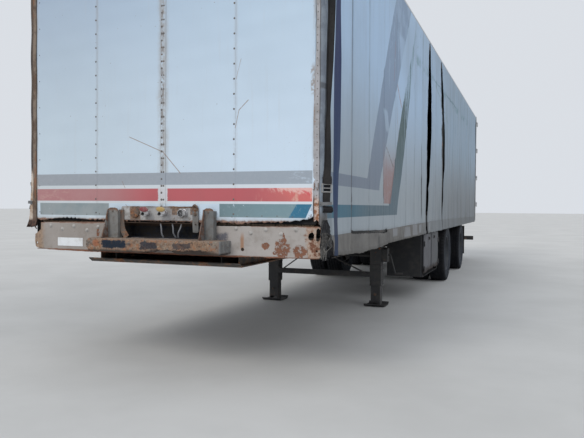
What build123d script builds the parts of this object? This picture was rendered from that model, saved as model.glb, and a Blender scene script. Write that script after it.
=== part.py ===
from build123d import *
import os
import math

# A box semi trailer with sliding side curtains, two spread axles on twin
# wheels, and landing legs. Millimetres. While it is drawn, the front wall is
# the plane y = 0, +y runs to the rear, +z is up from the ground, and x = 0 is
# the middle; +x is the trailer's left. put() then shifts every piece so that
# the origin is under the middle of the whole.

os.makedirs("parts", exist_ok=True)

# ---------------------------------------------------------------- sizes
HALF_W = 1250.0          # half of the width over curtains and posts
TOP_Z = 3530.0           # roof above the ground
SKIRT_Z = 920.0          # lower edge of the curtain's skirt
FLOOR_Z = 1160.0         # top of the load floor
FLOOR_T = 30.0
XM_Z = 1040.0            # underside of the floor crossmembers
XM_PITCH = 450.0
FRONT_XM_Z = (910.0, 1136.0)   # front crossmember, low and high
FRAME_REAR = 12080.0     # back of chassis, floor and side rails
REAR_POST_Y = (12080.0, 12170.0)
DOOR_Y = (12176.0, 12211.0)    # rear door leaf, inner and outer face
DOOR_Z = (1126.0, 3522.0)
HINGE_X, HINGE_Y, HINGE_R = 1262.0, 12258.0, 11.0
BEAM_Y = -160.0          # front of the coupling beam
CENTRE_Y = (BEAM_Y + HINGE_Y + HINGE_R) / 2

RAIL_X = 460.0           # middle of each main rail
RAIL_W, RAIL_FL, RAIL_WEB = 120.0, 12.0, 8.0
NOSE_Z = 842.0           # underside of the rail in the nose
DEEP_Z = 700.0           # underside of the rail behind the nose
STEP_Y = (1950.0, 2350.0)

SKID_T = 10.0
SKID_X = 650.0
KINGPIN_Y = 1000.0

LEG_X = (633.0, 778.0)
LEG_Y = (3800.0, 3945.0)

AXLE_Y = {"front": 7090.0, "rear": 9320.0}
WHEEL_R = 480.0
TYRE_W = 275.0
RIM_R = 286.0           # 22.5 inch rims
TWIN_X = 905.0           # middle of a pair of twin wheels
TWIN_HALF = 157.5        # from that middle to each tyre's own middle
AXLE_R = 65.0
SPINDLE_R = 45.0

LOCKER_X = (690.0, 1180.0)
LOCKER_Y = (4550.0, 5900.0)
LOCKER_Z = (315.0, 905.0)
SHEET = 4.0

CURTAIN_X = (1240.0, 1246.0)
CURTAIN_Y = (150.0, 12070.0)
CURTAIN_TOP = 3500.0

SIDES = {"left": 1, "right": -1}


# ---------------------------------------------------------------- helpers
def block(x0, x1, y0, y1, z0, z1):
    return Pos((x0 + x1) / 2, (y0 + y1) / 2, (z0 + z1) / 2) * Box(
        abs(x1 - x0), abs(y1 - y0), abs(z1 - z0))


def rod(a, b, r):
    """Straight round bar from point a to point b."""
    a, b = Vector(*a), Vector(*b)
    d = b - a
    return Plane(origin=a, z_dir=d) * Cylinder(
        r, d.length, align=(Align.CENTER, Align.CENTER, Align.MIN))


def bar(a, b, w, h, x_dir):
    """Straight rectangular bar from a to b; x_dir is the width's direction."""
    a, b = Vector(*a), Vector(*b)
    d = b - a
    return Plane(origin=a, x_dir=Vector(*x_dir), z_dir=d) * Box(
        w, h, d.length, align=(Align.CENTER, Align.CENTER, Align.MIN))


def plate_yz(x0, x1, pts):
    """Plate between x0 and x1 with an outline of (y, z) points."""
    face = make_face(Polyline(*[(y, z) for y, z in pts], close=True))
    return Plane(origin=(x0, 0, 0), x_dir=(0, 1, 0), z_dir=(1, 0, 0)) * extrude(
        face, x1 - x0)


def plate_xz(y0, y1, pts):
    """Plate between y0 and y1 with an outline of (x, z) points."""
    face = make_face(Polyline(*[(x, z) for x, z in pts], close=True))
    return Plane(origin=(0, y1, 0), x_dir=(1, 0, 0), z_dir=(0, -1, 0)) * extrude(
        face, y1 - y0)


def turned(pts, x_mid, y, z, out):
    """Solid of revolution about an x axis through (y, z). pts are (u, r):
    u runs outwards from x_mid on the side that out (+1 or -1) names."""
    face = make_face(Polyline(*[(u, r) for u, r in pts], close=True))
    body = revolve(Plane.XY * face, Axis.X, 360)
    if out < 0:
        body = mirror(body, Plane.YZ)
    return Pos(x_mid * out, y, z) * body


def flip(shape):
    return mirror(shape, Plane.YZ)


def put(node, *solids):
    """Write a node: its solids, shifted to the row's origin."""
    moved = [Pos(0, -CENTRE_Y, 0) * s for s in solids]
    shape = moved[0] if len(moved) == 1 else Compound(children=moved)
    export_step(shape, "parts/%s.step" % node)


# ---------------------------------------------------------------- chassis
rail_side = [(60, XM_Z), (60, NOSE_Z), (STEP_Y[0], NOSE_Z), (STEP_Y[1], DEEP_Z),
             (11500, DEEP_Z), (FRAME_REAR, 760), (FRAME_REAR, XM_Z)]
rail_pocket = [(0, XM_Z - RAIL_FL), (0, NOSE_Z + RAIL_FL),
               (STEP_Y[0] + 2, NOSE_Z + RAIL_FL), (STEP_Y[1] + 2, DEEP_Z + RAIL_FL),
               (11500, DEEP_Z + RAIL_FL), (FRAME_REAR + 50, 760 + RAIL_FL + 5),
               (FRAME_REAR + 50, XM_Z - RAIL_FL)]
rail = plate_yz(RAIL_X - RAIL_W / 2, RAIL_X + RAIL_W / 2, rail_side)
rail -= plate_yz(RAIL_X - RAIL_W / 2 - 5, RAIL_X - RAIL_WEB / 2, rail_pocket)
rail -= plate_yz(RAIL_X + RAIL_WEB / 2, RAIL_X + RAIL_W / 2 + 5, rail_pocket)
SPRING_HALF, SPRING_W = 480.0, 76.0     # leaf spring's half length and width
SPRING_END_Z = 640.0                    # top of a spring's ends
for ay in AXLE_Y.values():
    for e in (-1, 1):                   # a hanger at each end of each spring
        hy = ay + e * (SPRING_HALF - 25)
        h = block(RAIL_X - SPRING_W / 2 - 8, RAIL_X + SPRING_W / 2 + 8, hy - 55, hy + 55,
                  SPRING_END_Z - 50, DEEP_Z)
        h -= block(RAIL_X - SPRING_W / 2 - 1, RAIL_X + SPRING_W / 2 + 1, hy - 60, hy + 60,
                   SPRING_END_Z - 60, SPRING_END_Z + 1)
        rail += h
FLAP_Y = AXLE_Y["rear"] + 640
rail += rod((RAIL_X, FLAP_Y, 860), (1200, FLAP_Y, 860), 16)
put("chassis_rail_left", rail)
put("chassis_rail_right", flip(rail))

# floor crossmembers: I sections, one at each y of an even row
members = []
y = 260.0
while y < FRAME_REAR - 60:
    m = block(-1226, 1226, y - 30, y + 30, XM_Z, XM_Z + 90)
    m -= block(-1300, 1300, y - 40, y - 3, XM_Z + 6, XM_Z + 84)
    m -= block(-1300, 1300, y + 3, y + 40, XM_Z + 6, XM_Z + 84)
    members.append(m)
    y += XM_PITCH
put("floor_crossmembers", *members)

side_rail = block(1172, 1232, 50, FRAME_REAR, 1010, FLOOR_Z)
side_rail -= block(1100, 1226, 0, FRAME_REAR + 50, 1016, FLOOR_Z - 6)
put("side_rails", side_rail, flip(side_rail))

floor = block(-1171, 1171, 50, FRAME_REAR, FLOOR_Z - FLOOR_T, FLOOR_Z)
RECESS_X = (-360.0, 366.0)
floor -= block(RECESS_X[0] - 8, RECESS_X[1] + 8, 40, 158, 1000, 1200)
put("load_floor", floor)

# front crossmember: channel open to the rear, with the hose recess cut in it
fx = block(-1215, 1215, 0, 50, *FRONT_XM_Z)
fx -= block(-1209, 1209, 6, 60, FRONT_XM_Z[0] + 6, FRONT_XM_Z[1] - 6)
fx -= block(RECESS_X[0], RECESS_X[1], -10, 60, 1023, 1200)
# the recess behind the coupling panel: a tray open to the front
tray = block(RECESS_X[0], RECESS_X[1], 0, 150, 1023, 1141)
tray -= block(RECESS_X[0] + 4, RECESS_X[1] - 4, -10, 146, 1027, 1137)
put("front_crossmember", fx + tray)

# ---------------------------------------------------------------- nose and coupling
skid = block(-SKID_X, SKID_X, 10, 1900, NOSE_Z - SKID_T, NOSE_Z)
skid += plate_yz(-SKID_X, SKID_X, [(10, NOSE_Z - SKID_T), (10, NOSE_Z), (-20, NOSE_Z + 22),
                                   (-27, NOSE_Z + 15)])

for sx in (-1, 1):      # outer ribs between rubbing plate and crossmembers
    skid += block(sx * 600 - 5, sx * 600 + 5, 60, 1890, NOSE_Z, XM_Z)
for ny in (700.0, 1300.0):   # cross ribs each side of the kingpin
    skid += block(-399, 399, ny - 5, ny + 5, NOSE_Z, XM_Z)
put("rubbing_plate", skid)

# kingpin: (r, height) of its steps, down from the plate
pin_steps = [(45.0, 6.0), (36.5, 16.0), (25.4, 38.0), (35.75, 22.0)]
pin, pz = None, NOSE_Z - SKID_T
for r, h in pin_steps:
    step = Pos(0, KINGPIN_Y, pz - h / 2) * Cylinder(r, h)
    pin = step if pin is None else pin + step
    pz -= h
put("kingpin", pin)

# coupling beam: a channel in front of the nose, open to the rear
BEAM_X, BEAM_Z = 567.0, (925.0, 1023.0)
beam = block(-BEAM_X, BEAM_X, BEAM_Y, 0, *BEAM_Z)
beam -= block(-BEAM_X + 8, BEAM_X - 8, BEAM_Y + 8, 10, BEAM_Z[0] + 8, BEAM_Z[1] - 8)
beam -= plate_xz(BEAM_Y - 10, 10, [(-BEAM_X - 5, BEAM_Z[0] - 5), (-BEAM_X + 40, BEAM_Z[0] - 5),
                                   (-BEAM_X - 5, BEAM_Z[0] + 30)])
beam -= plate_xz(BEAM_Y - 10, 10, [(-BEAM_X - 5, BEAM_Z[1] + 5), (-BEAM_X + 25, BEAM_Z[1] + 5),
                                   (-BEAM_X - 5, BEAM_Z[1] - 22)])
put("coupling_beam", beam)

# uprights on the beam: x of each bar's edges; the gusset stands on its first edge
uprights = []
for x0, x1 in ((-453.0, -363.0), (374.0, 452.0)):
    u = block(x0, x1, -50, 0, BEAM_Z[1], 1250)
    u -= block(x0 + 6, x1 - 6, -44, 5, BEAM_Z[1] - 5, 1256)
    u += plate_yz(x0, x0 + 8, [(-50, BEAM_Z[1]), (-132, BEAM_Z[1]), (-58, 1236), (-50, 1236)])
    uprights.append(u)
put("coupling_uprights", *uprights)

PANEL = dict(x=(-361.0, 300.0), z=(1160.0, 1262.0), y=-8.0)
panel = block(*PANEL["x"], PANEL["y"], 0, *PANEL["z"])
panel += block(262, 312, -16, PANEL["y"], 1072, 1266)        # its narrow hanging strap
panel += Pos(-236, PANEL["y"] - 7, 1214) * Rot(90, 0, 0) * Cylinder(38, 14)  # blank cap
put("coupling_panel", panel)


def air_head(x, z):
    """Air coupling: a stub from the panel and a domed head on it."""
    stub = rod((x, PANEL["y"], z), (x, -62, z), 15)
    head = Pos(x, -62, z) * Box(72, 44, 40)
    head = fillet(head.edges().filter_by(Axis.Z), 16)
    cover = Pos(x + 4, -62, z + 27) * Box(56, 40, 14)
    cover = fillet(cover.edges().filter_by(Axis.Z), 12)
    return stub + head + cover


put("air_coupling_red", air_head(-120, 1216))
put("air_coupling_yellow", air_head(24, 1219))

sock = block(152, 222, PANEL["y"] - 8, PANEL["y"], 1182, 1246)
sock += rod((187, PANEL["y"] - 8, 1212), (187, -62, 1212), 26)
sock += Pos(187, -66, 1212) * Box(60, 8, 60)
put("electric_socket", sock)

# hoses inside the recess: (name, route); each falls from the panel's back
HOSES = [
    [(-30, 20, 1141 - 4), (-26, 26, 1100), (-34, 40, 1060), (-30, 60, 1027)],
    [(70, 24, 1137), (74, 30, 1098), (66, 44, 1062), (72, 70, 1027)],
    [(150, 22, 1137), (138, 28, 1102), (110, 40, 1066), (96, 66, 1027)],
]
hoses = []
for route in HOSES:
    runs = [Vector(*p) for p in route]
    radii = []
    for i in range(1, len(runs) - 1):
        a, b = runs[i] - runs[i - 1], runs[i + 1] - runs[i]
        turn = math.radians(a.get_angle(b))
        radii.append(0.45 * min(a.length, b.length) / math.tan(turn / 2))
    print("hose radii", [round(r) for r in radii])
    path = FilletPolyline(*runs, radius=radii)
    prof = Plane(origin=path @ 0, z_dir=path % 0) * Circle(5.5)
    hoses.append(sweep(prof, path=path))
# the ends stand square to the runs, so trim them to the tray's faces
room = block(-300, 300, 9, 145, 1027.5, 1136.5)
hoses = [h & room for h in hoses]
put("service_hoses", *hoses)

put("marker_plate", block(-974, -728, -3, 0, 943, 1009))

# ---------------------------------------------------------------- body
wall = block(-1195, 1195, 15, 40, 1142, 3470)
wall += block(-1195, 1195, 0, 15, 1166, 3470)
wall += block(-1195, 1195, 0, 60, 3470, TOP_Z)      # head rail
put("front_wall", wall)

fp = block(1195, HALF_W, 0, 100, FLOOR_Z, TOP_Z)
fp = fillet(fp.edges().filter_by(Axis.Z).sort_by(Axis.Y)[:2].sort_by(Axis.X)[-1:], 16)
fp -= block(1190, 1246, 4, 96, 1145, TOP_Z - 70)
fp += block(1195, 1248, 40, 46, FLOOR_Z, TOP_Z - 60)
put("front_posts", fp, flip(fp))

# rear frame: two posts, a header and a sill welded into a portal, with the
# lock rods' keepers on the sill
SILL_Z = (950.0, FLOOR_Z)
ROD_X = (300.0, 930.0)       # lock rods: distance of each from the middle
rf = block(-HALF_W, HALF_W, *REAR_POST_Y, SILL_Z[0], TOP_Z)
rf -= block(-1130, 1130, REAR_POST_Y[0] - 10, REAR_POST_Y[1] + 10, FLOOR_Z, 3440)
rf -= block(-HALF_W + 6, HALF_W - 6, REAR_POST_Y[0] - 10, REAR_POST_Y[1] - 6,
            SILL_Z[0] + 6, FLOOR_Z - 6)
for s in (-1, 1):
    rf -= block(s * 1136, s * 1244, REAR_POST_Y[0] - 5, REAR_POST_Y[1] - 6,
                FLOOR_Z + 6, TOP_Z - 60)
    for x in ROD_X:
        rf += block(s * x - 40, s * x + 40, REAR_POST_Y[1], 12240, 1085, 1112)
put("rear_frame", rf)

cr = block(1190, 1236, 100, FRAME_REAR, 3400, TOP_Z)
cr -= block(1185, 1230, 90, FRAME_REAR + 5, 3406, 3460)
put("cant_rails", cr, flip(cr))
posts = []
for py in (3060.0, 6120.0, 9160.0):
    post = block(1150, 1225, py - 40, py + 40, FLOOR_Z, 3400)
    post -= block(1145, 1205, py - 34, py + 34, FLOOR_Z - 5, 3405)
    posts += [post, flip(post)]
put("side_posts", *posts)

roof = block(-1190, 1190, 60, FRAME_REAR, 3518, TOP_Z)
y = 1200.0
while y < 11800:             # bows under the roof
    roof += block(-1189, 1189, y - 20, y + 20, 3478, 3518)
    y += 1320.0
put("roof_panel", roof)

# curtain tensioner poles: one at each end of each curtain
poles = []
for s in (-1, 1):
    for py in (126.0, 12040.0):
        poles.append(rod((s * 1212, py, FLOOR_Z), (s * 1212, py, 3400), 17))

# slits torn in the left curtain: y and z of the top, the widest place's two
# edges, and the bottom
SLITS = [dict(top=(4470.0, 3470.0), wide=(4236.0, 4707.0, 2300.0), low=(4380.0, 960.0)),
         dict(top=(5690.0, 3470.0), wide=(5660.0, 6050.0, 2450.0), low=(5945.0, 1010.0))]


def curtain(torn):
    c = block(*CURTAIN_X, *CURTAIN_Y, SKIRT_Z, CURTAIN_TOP)
    if torn:
        for t in SLITS:
            w0, w1, wz = t["wide"]
            edge = [ThreePointArc(t["low"], (w0, wz), t["top"]),
                    ThreePointArc(t["top"], (w1, wz), t["low"])]
            hole = extrude(make_face(edge), 30)
            c -= Plane(origin=(CURTAIN_X[0] - 10, 0, 0), x_dir=(0, 1, 0),
                       z_dir=(1, 0, 0)) * hole
    return c


put("curtain_left", curtain(True))
put("curtain_right", flip(curtain(False)))

# strap and buckle that pull each curtain's front edge to the front post
buckle = block(1250, 1262, 10, 96, 1372, 1412)
buckle -= block(1245, 1270, 22, 50, 1380, 1404)
buckle -= block(1245, 1270, 58, 84, 1380, 1404)
put("curtain_tensioners", *poles, buckle, flip(buckle))

# ---------------------------------------------------------------- rear doors
HINGE_Z = (1300.0, 1960.0, 2640.0, 3300.0)
post_hinges = []
for side, s in SIDES.items():
    leaf = block(4, 1243, *DOOR_Y, *DOOR_Z)
    put("rear_door_%s" % side, leaf if s > 0 else flip(leaf))
    rods = []
    for x in ROD_X:
        r = rod((x, 12233, DOOR_Z[0] + 4), (x, 12233, DOOR_Z[1] - 4), 13.5)
        for z in (DOOR_Z[0] + 10, 1500, 2320, 3100, DOOR_Z[1] - 60):
            r += block(x - 30, x + 30, DOOR_Y[1], 12246.5, z, z + 44)
        hx = x + (190 if x < 600 else -190)
        r += block(min(x, hx), max(x, hx), 12234, 12244, 1560, 1590)
        r += block(hx - 16, hx + 16, DOOR_Y[1], 12250, 1552, 1598)
        rods.append(r if s > 0 else flip(r))
    blades, brackets = [], []
    for z in HINGE_Z:
        # door side: blade on the leaf's face, an arm, and the lower knuckle
        knuckle = Pos(HINGE_X, HINGE_Y, z + 25) * Cylinder(HINGE_R, 50)
        arm = extrude(make_face(Polyline(
            (1120, DOOR_Y[1]), (1243, DOOR_Y[1]), (HINGE_X + 6, HINGE_Y - 4),
            (HINGE_X - 6, HINGE_Y + 4), (1236, DOOR_Y[1] + 8), (1120, DOOR_Y[1] + 8),
            close=True)), 50)
        blade = Pos(0, 0, z) * arm + knuckle
        blade -= Pos(HINGE_X, HINGE_Y, z + 25) * Cylinder(6.08, 60)
        blades.append(blade if s > 0 else flip(blade))
        # post side: plate on the post's outer face, upper knuckle and pin
        kn = Pos(HINGE_X, HINGE_Y, z + 55 + 25) * Cylinder(HINGE_R, 50)
        pl = block(HALF_W, HALF_W + 7, 12110, HINGE_Y, z + 55, z + 105)
        pn = Pos(HINGE_X, HINGE_Y, z + 28) * Cylinder(6.0, 66)
        br = kn + pl + pn
        brackets.append(br if s > 0 else flip(br))
    put("door_gear_%s" % side, *rods, *blades)
    post_hinges += brackets
put("post_hinges", *post_hinges)

# ---------------------------------------------------------------- running gear
tyre_pts = [(-TYRE_W / 2 + 26, RIM_R), (-TYRE_W / 2 + 4, RIM_R + 60), (-TYRE_W / 2, 400),
            (-TYRE_W / 2 + 8, 455), (-TYRE_W / 2 + 28, WHEEL_R - 12), (-TYRE_W / 2 + 44, WHEEL_R),
            (TYRE_W / 2 - 44, WHEEL_R), (TYRE_W / 2 - 28, WHEEL_R - 12), (TYRE_W / 2 - 8, 455),
            (TYRE_W / 2, 400), (TYRE_W / 2 - 4, RIM_R + 60), (TYRE_W / 2 - 26, RIM_R)]
# rims, discs, hub and drum: one turned outline, u outwards from the twins' middle
t = TWIN_HALF
RIM_IN = RIM_R - 14
hub_pts = [
    (t + 112, RIM_R), (t + 112, RIM_R - 14), (t + 95, RIM_IN - 12), (t - 60, RIM_IN - 18),
    (30, RIM_IN - 20), (14, 215), (14, 150), (60, 150), (60, 95), (150, 90), (150, 0),
    (95, 0), (95, SPINDLE_R + 0.1), (-280, SPINDLE_R + 0.1), (-280, 100), (-150, 120),
    (-150, 196), (-262, 196), (-262, 212), (-60, 212), (-60, 150), (-14, 150), (-14, 215),
    (-30, RIM_IN - 20), (-t + 60, RIM_IN - 18), (-t - 95, RIM_IN - 12), (-t - 112, RIM_R - 14),
    (-t - 112, RIM_R), (-t + 112, RIM_R), (-t + 100, RIM_IN), (-14, RIM_IN), (14, RIM_IN),
    (t - 100, RIM_IN), (t - 112, RIM_R)]
for which, ay in AXLE_Y.items():
    for side, s in SIDES.items():
        tyres = [turned([(u + off, r) for u, r in tyre_pts], TWIN_X, ay, WHEEL_R, s)
                 for off in (-t, t)]
        put("twin_tyres_%s_%s" % (which, side), *tyres)
        put("wheel_hub_%s_%s" % (which, side), turned(hub_pts, TWIN_X, ay, WHEEL_R, s))
    beam_half = TWIN_X - 280 - 5      # ends 5 mm short of the turning hubs
    ax = Pos(0, ay, WHEEL_R) * Rot(0, 90, 0) * Cylinder(AXLE_R, 2 * beam_half)
    ax += Pos(0, ay, WHEEL_R) * Rot(0, 90, 0) * Cylinder(SPINDLE_R, 2 * (TWIN_X + 88))
    for s in (-1, 1):
        ax += Pos(s * (beam_half - 10), ay, WHEEL_R) * Rot(0, 90, 0) * Cylinder(188, 10)
    put("axle_%s" % which, ax)

# leaf springs: a stack of arcs over each axle, on a seat that fits the axle
springs, chambers = [], []
for ay in AXLE_Y.values():
    for s in (-1, 1):
        x0, x1 = s * RAIL_X - SPRING_W / 2, s * RAIL_X + SPRING_W / 2
        k, zt = SPRING_HALF * 0.45, SPRING_END_Z
        face = make_face([
            ThreePointArc((ay - k, zt - 68), (ay, zt - 84), (ay + k, zt - 68)),
            Line((ay + k, zt - 68), (ay + SPRING_HALF, zt - 16)),
            Line((ay + SPRING_HALF, zt - 16), (ay + SPRING_HALF, zt)),
            ThreePointArc((ay + SPRING_HALF, zt), (ay, zt - 28), (ay - SPRING_HALF, zt)),
            Line((ay - SPRING_HALF, zt), (ay - SPRING_HALF, zt - 16)),
            Line((ay - SPRING_HALF, zt - 16), (ay - k, zt - 68))])
        sp = Plane(origin=(x0, 0, 0), x_dir=(0, 1, 0), z_dir=(1, 0, 0)) * extrude(face, SPRING_W)
        seat = block(x0, x1, ay - 60, ay + 60, WHEEL_R + 30, zt - 80)
        seat -= Pos(s * RAIL_X, ay, WHEEL_R) * Rot(0, 90, 0) * Cylinder(AXLE_R + 0.05, 200)
        springs.append(sp + seat)
        cy, cz = ay - 230, 540
        ch = rod((s * 340, cy, cz), (s * 190, cy, cz), 82)
        ch += rod((s * 264, cy, cz), (s * 256, cy, cz), 92)
        ch += bar((s * 260, cy + 60, cz), (s * 260, ay - 50, WHEEL_R + 20), 60, 12, (1, 0, 0))
        ch -= Pos(0, ay, WHEEL_R) * Rot(0, 90, 0) * Cylinder(AXLE_R + 0.05, 1400)
        chambers.append(ch)
put("leaf_springs", *springs)
put("brake_chambers", *chambers)

# air tank hung between the rails under a crossmember
TANK_Y = 260 + XM_PITCH * 23
tank = rod((-330, TANK_Y, 860), (330, TANK_Y, 860), 130)
tank = fillet(tank.edges(), 40)
for x in (-200, 200):
    tank += block(x - 20, x + 20, TANK_Y - 6, TANK_Y + 6, 980, XM_Z)
    tank += Pos(x, TANK_Y, 860) * Rot(0, 90, 0) * Cylinder(135, 36)
put("air_tank", tank)

flap = block(620, 1200, FLAP_Y - 4, FLAP_Y + 4, 270, 844)
put("mudflaps", flap, flip(flap))

under = block(-1205, 1205, 12060, 12160, 468, 560)
under -= block(-1215, 1215, 12065, 12155, 473, 555)
for s in (-1, 1):            # its stays go up to the main rails
    under += plate_yz(s * RAIL_X - 30, s * RAIL_X + 30,
                      [(11800, 731), (12070, 560), (12150, 560), (12150, 610), (12080, 760)])
put("underrun_bar", under)
lamps = []
for s in (-1, 1):
    lamp = block(s * 760, s * 1120, 12160, 12200, 471, 557)
    lamps.append(lamp)
put("rear_lamps", *lamps)

# ---------------------------------------------------------------- landing gear
MX, MY = (LEG_X[0] + LEG_X[1]) / 2, (LEG_Y[0] + LEG_Y[1]) / 2
leg = block(LEG_X[0], LEG_X[1], *LEG_Y, 260, 1030)
leg -= block(LEG_X[0] + 10, LEG_X[1] - 10, LEG_Y[0] + 10, LEG_Y[1] - 10, 250, 1020)
web = block(RAIL_X + RAIL_WEB / 2, LEG_X[0], MY - 8, MY + 8, DEEP_Z + RAIL_FL, XM_Z - RAIL_FL)
web -= block(RAIL_X + RAIL_W / 2 + 2, LEG_X[0] - 30, MY - 20, MY + 20, 780, 900)
leg += web
put("landing_legs", leg, flip(leg))

foot = block(MX - 130, MX + 130, MY - 110, MY + 110, 0, 12)
for e in (-1, 1):            # its two ends turn up
    foot += plate_yz(MX - 130, MX + 130, [(MY + e * 108, 0), (MY + e * 108, 12),
                                         (MY + e * 150, 38), (MY + e * 154, 28), (MY + e * 112, 0)])
foot += block(MX - 60, MX - 48, MY - 60, MY + 60, 12, 62)
foot += block(MX + 48, MX + 60, MY - 60, MY + 60, 12, 62)
foot += block(LEG_X[0] + 12, LEG_X[1] - 12, LEG_Y[0] + 12, LEG_Y[1] - 12, 50, 700)
put("landing_feet", foot, flip(foot))

# bracing: a cross angle, and two stays that meet at a bar between the rails
brace = block(-LEG_X[0], LEG_X[0], LEG_Y[0], LEG_Y[0] + 70, 370, 378)
brace += block(-LEG_X[0], LEG_X[0], LEG_Y[0], LEG_Y[0] + 8, 370, 440)
STAY_BAR_Y = 3440.0
brace += block(-456, 456, STAY_BAR_Y - 35, STAY_BAR_Y + 35, 716, 780)
for s in (-1, 1):
    brace += bar((s * 585, LEG_Y[0] + 2, 415), (s * 60, STAY_BAR_Y + 20, 726), 50, 8, (0, 1, 0))
put("landing_bracing", brace)

# drive: the cross shaft between the legs, the gearbox and its crank
SHAFT = (LEG_Y[0] + 72, 640)
shaft = rod((-LEG_X[0], *SHAFT), (LEG_X[0], *SHAFT), 18)
CRANK_Z, CRANK_Y = 656.0, LEG_Y[0] + 72
gear = block(LEG_X[1], LEG_X[1] + 75, LEG_Y[0] + 10, LEG_Y[1] - 10, 570, 740)
gear = fillet(gear.edges().filter_by(Axis.X), 20)
gear += rod((LEG_X[1] + 65, CRANK_Y, CRANK_Z), (LEG_X[1] + 106, CRANK_Y, CRANK_Z), 11)
gear += rod((LEG_X[1] + 99, CRANK_Y, CRANK_Z + 11), (LEG_X[1] + 167, CRANK_Y + 20, 414), 10)
gear += rod((LEG_X[1] + 161, CRANK_Y + 20, 421), (LEG_X[1] + 255, CRANK_Y + 21, 421), 12)
put("landing_drive", shaft, gear)

# ---------------------------------------------------------------- locker
lx, ly, lz = LOCKER_X, LOCKER_Y, LOCKER_Z
locker = block(*lx, *ly, *lz)
locker -= block(lx[0] + SHEET, lx[1] + 5, ly[0] + SHEET, ly[1] - SHEET, lz[0] + SHEET, lz[1] - SHEET)
for e in (ly[0] + SHEET, ly[1] - SHEET - 24):   # a lip each side of the doorway
    locker += block(lx[1] - 4, lx[1], e, e + 24, lz[0], lz[1])
for y in (ly[0] + 110, ly[1] - 40):
    yy = 260 + XM_PITCH * round((y - 260) / XM_PITCH)
    for x in (720, 1110):    # hangers up to the crossmembers
        locker += block(x, x + 40, yy - 25, yy + 25, lz[1], XM_Z)
put("locker", locker)
mid = (ly[0] + ly[1]) / 2
LOCKER_DOOR_X = (1182.0, 1200.0)
# locker doors: (name, y of the hinged edge, y of the free edge)
for name, y_hinge, y_free in (("front", ly[0] + 2, mid - 3), ("rear", ly[1] - 2, mid + 3)):
    d = block(*LOCKER_DOOR_X, y_hinge, y_free, lz[0] + 12, lz[1] - 8)
    e = 1 if y_free > y_hinge else -1
    # knuckles on the outer edge; the pivot line is x = 1206, 6 mm past the edge
    for z in (430.0, 770.0):
        d += Pos(1206, y_hinge - e * 6, z) * Cylinder(7, 70)
        d += block(1196, 1206, y_hinge - e * 6, y_hinge + e * 60, z - 35, z + 35)
    put("locker_door_%s" % name, d)
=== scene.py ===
import itertools
import math
import bpy
import bmesh
import numpy as np
import mathutils
import mathutils.geometry
from mathutils import Matrix, Vector


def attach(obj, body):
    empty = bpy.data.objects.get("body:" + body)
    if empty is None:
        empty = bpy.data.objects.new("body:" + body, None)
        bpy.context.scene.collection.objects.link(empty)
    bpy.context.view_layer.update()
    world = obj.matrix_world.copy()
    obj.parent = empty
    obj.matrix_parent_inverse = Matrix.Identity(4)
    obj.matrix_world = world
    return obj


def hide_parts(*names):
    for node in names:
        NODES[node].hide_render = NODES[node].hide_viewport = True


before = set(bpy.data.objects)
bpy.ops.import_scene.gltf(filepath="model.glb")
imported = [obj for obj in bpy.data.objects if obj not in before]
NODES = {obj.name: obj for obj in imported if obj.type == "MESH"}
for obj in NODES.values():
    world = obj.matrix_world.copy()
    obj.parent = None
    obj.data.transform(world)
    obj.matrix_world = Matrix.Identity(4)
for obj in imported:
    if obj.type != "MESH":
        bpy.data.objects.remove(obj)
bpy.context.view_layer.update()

# All places below are in metres: x to the trailer's left, y rearwards from the
# front wall's face, z up from the ground. CY moves them into the shared frame.
CY = 6.0545


# ------------------------------------------------------------------ numbers
def waves(seed, n, wl, *coords):
    """Smooth repeatable noise, about -1 to 1: n sine waves about wl long."""
    r = np.random.default_rng(seed)
    out = 0.0
    for _ in range(n):
        k = r.normal(size=len(coords))
        k *= 2 * np.pi / (wl * r.uniform(0.6, 1.7) * np.linalg.norm(k))
        out = out + np.sin(sum(a * b for a, b in zip(k, coords)) + r.uniform(0, 6.28))
    return out / math.sqrt(n)


def smooth01(x, a, b):
    t = np.clip((np.asarray(x, float) - a) / (b - a), 0, 1)
    return t * t * (3 - 2 * t)


def unit(v):
    v = np.asarray(v, float)
    return v / np.linalg.norm(v)


def curve_points(pts, n):
    """n points along a smooth line through pts (Catmull-Rom)."""
    p = np.asarray(pts, float)
    p = np.vstack([2 * p[0] - p[1], p, 2 * p[-1] - p[-2]])
    out = []
    seg = len(p) - 3
    for t in np.linspace(0, seg, n):
        i = min(int(t), seg - 1)
        u = t - i
        a, b, c, d = p[i:i + 4]
        out.append(0.5 * (2 * b + (c - a) * u + (2 * a - 5 * b + 4 * c - d) * u * u
                          + (3 * b - a - 3 * c + d) * u ** 3))
    return np.array(out)


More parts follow.
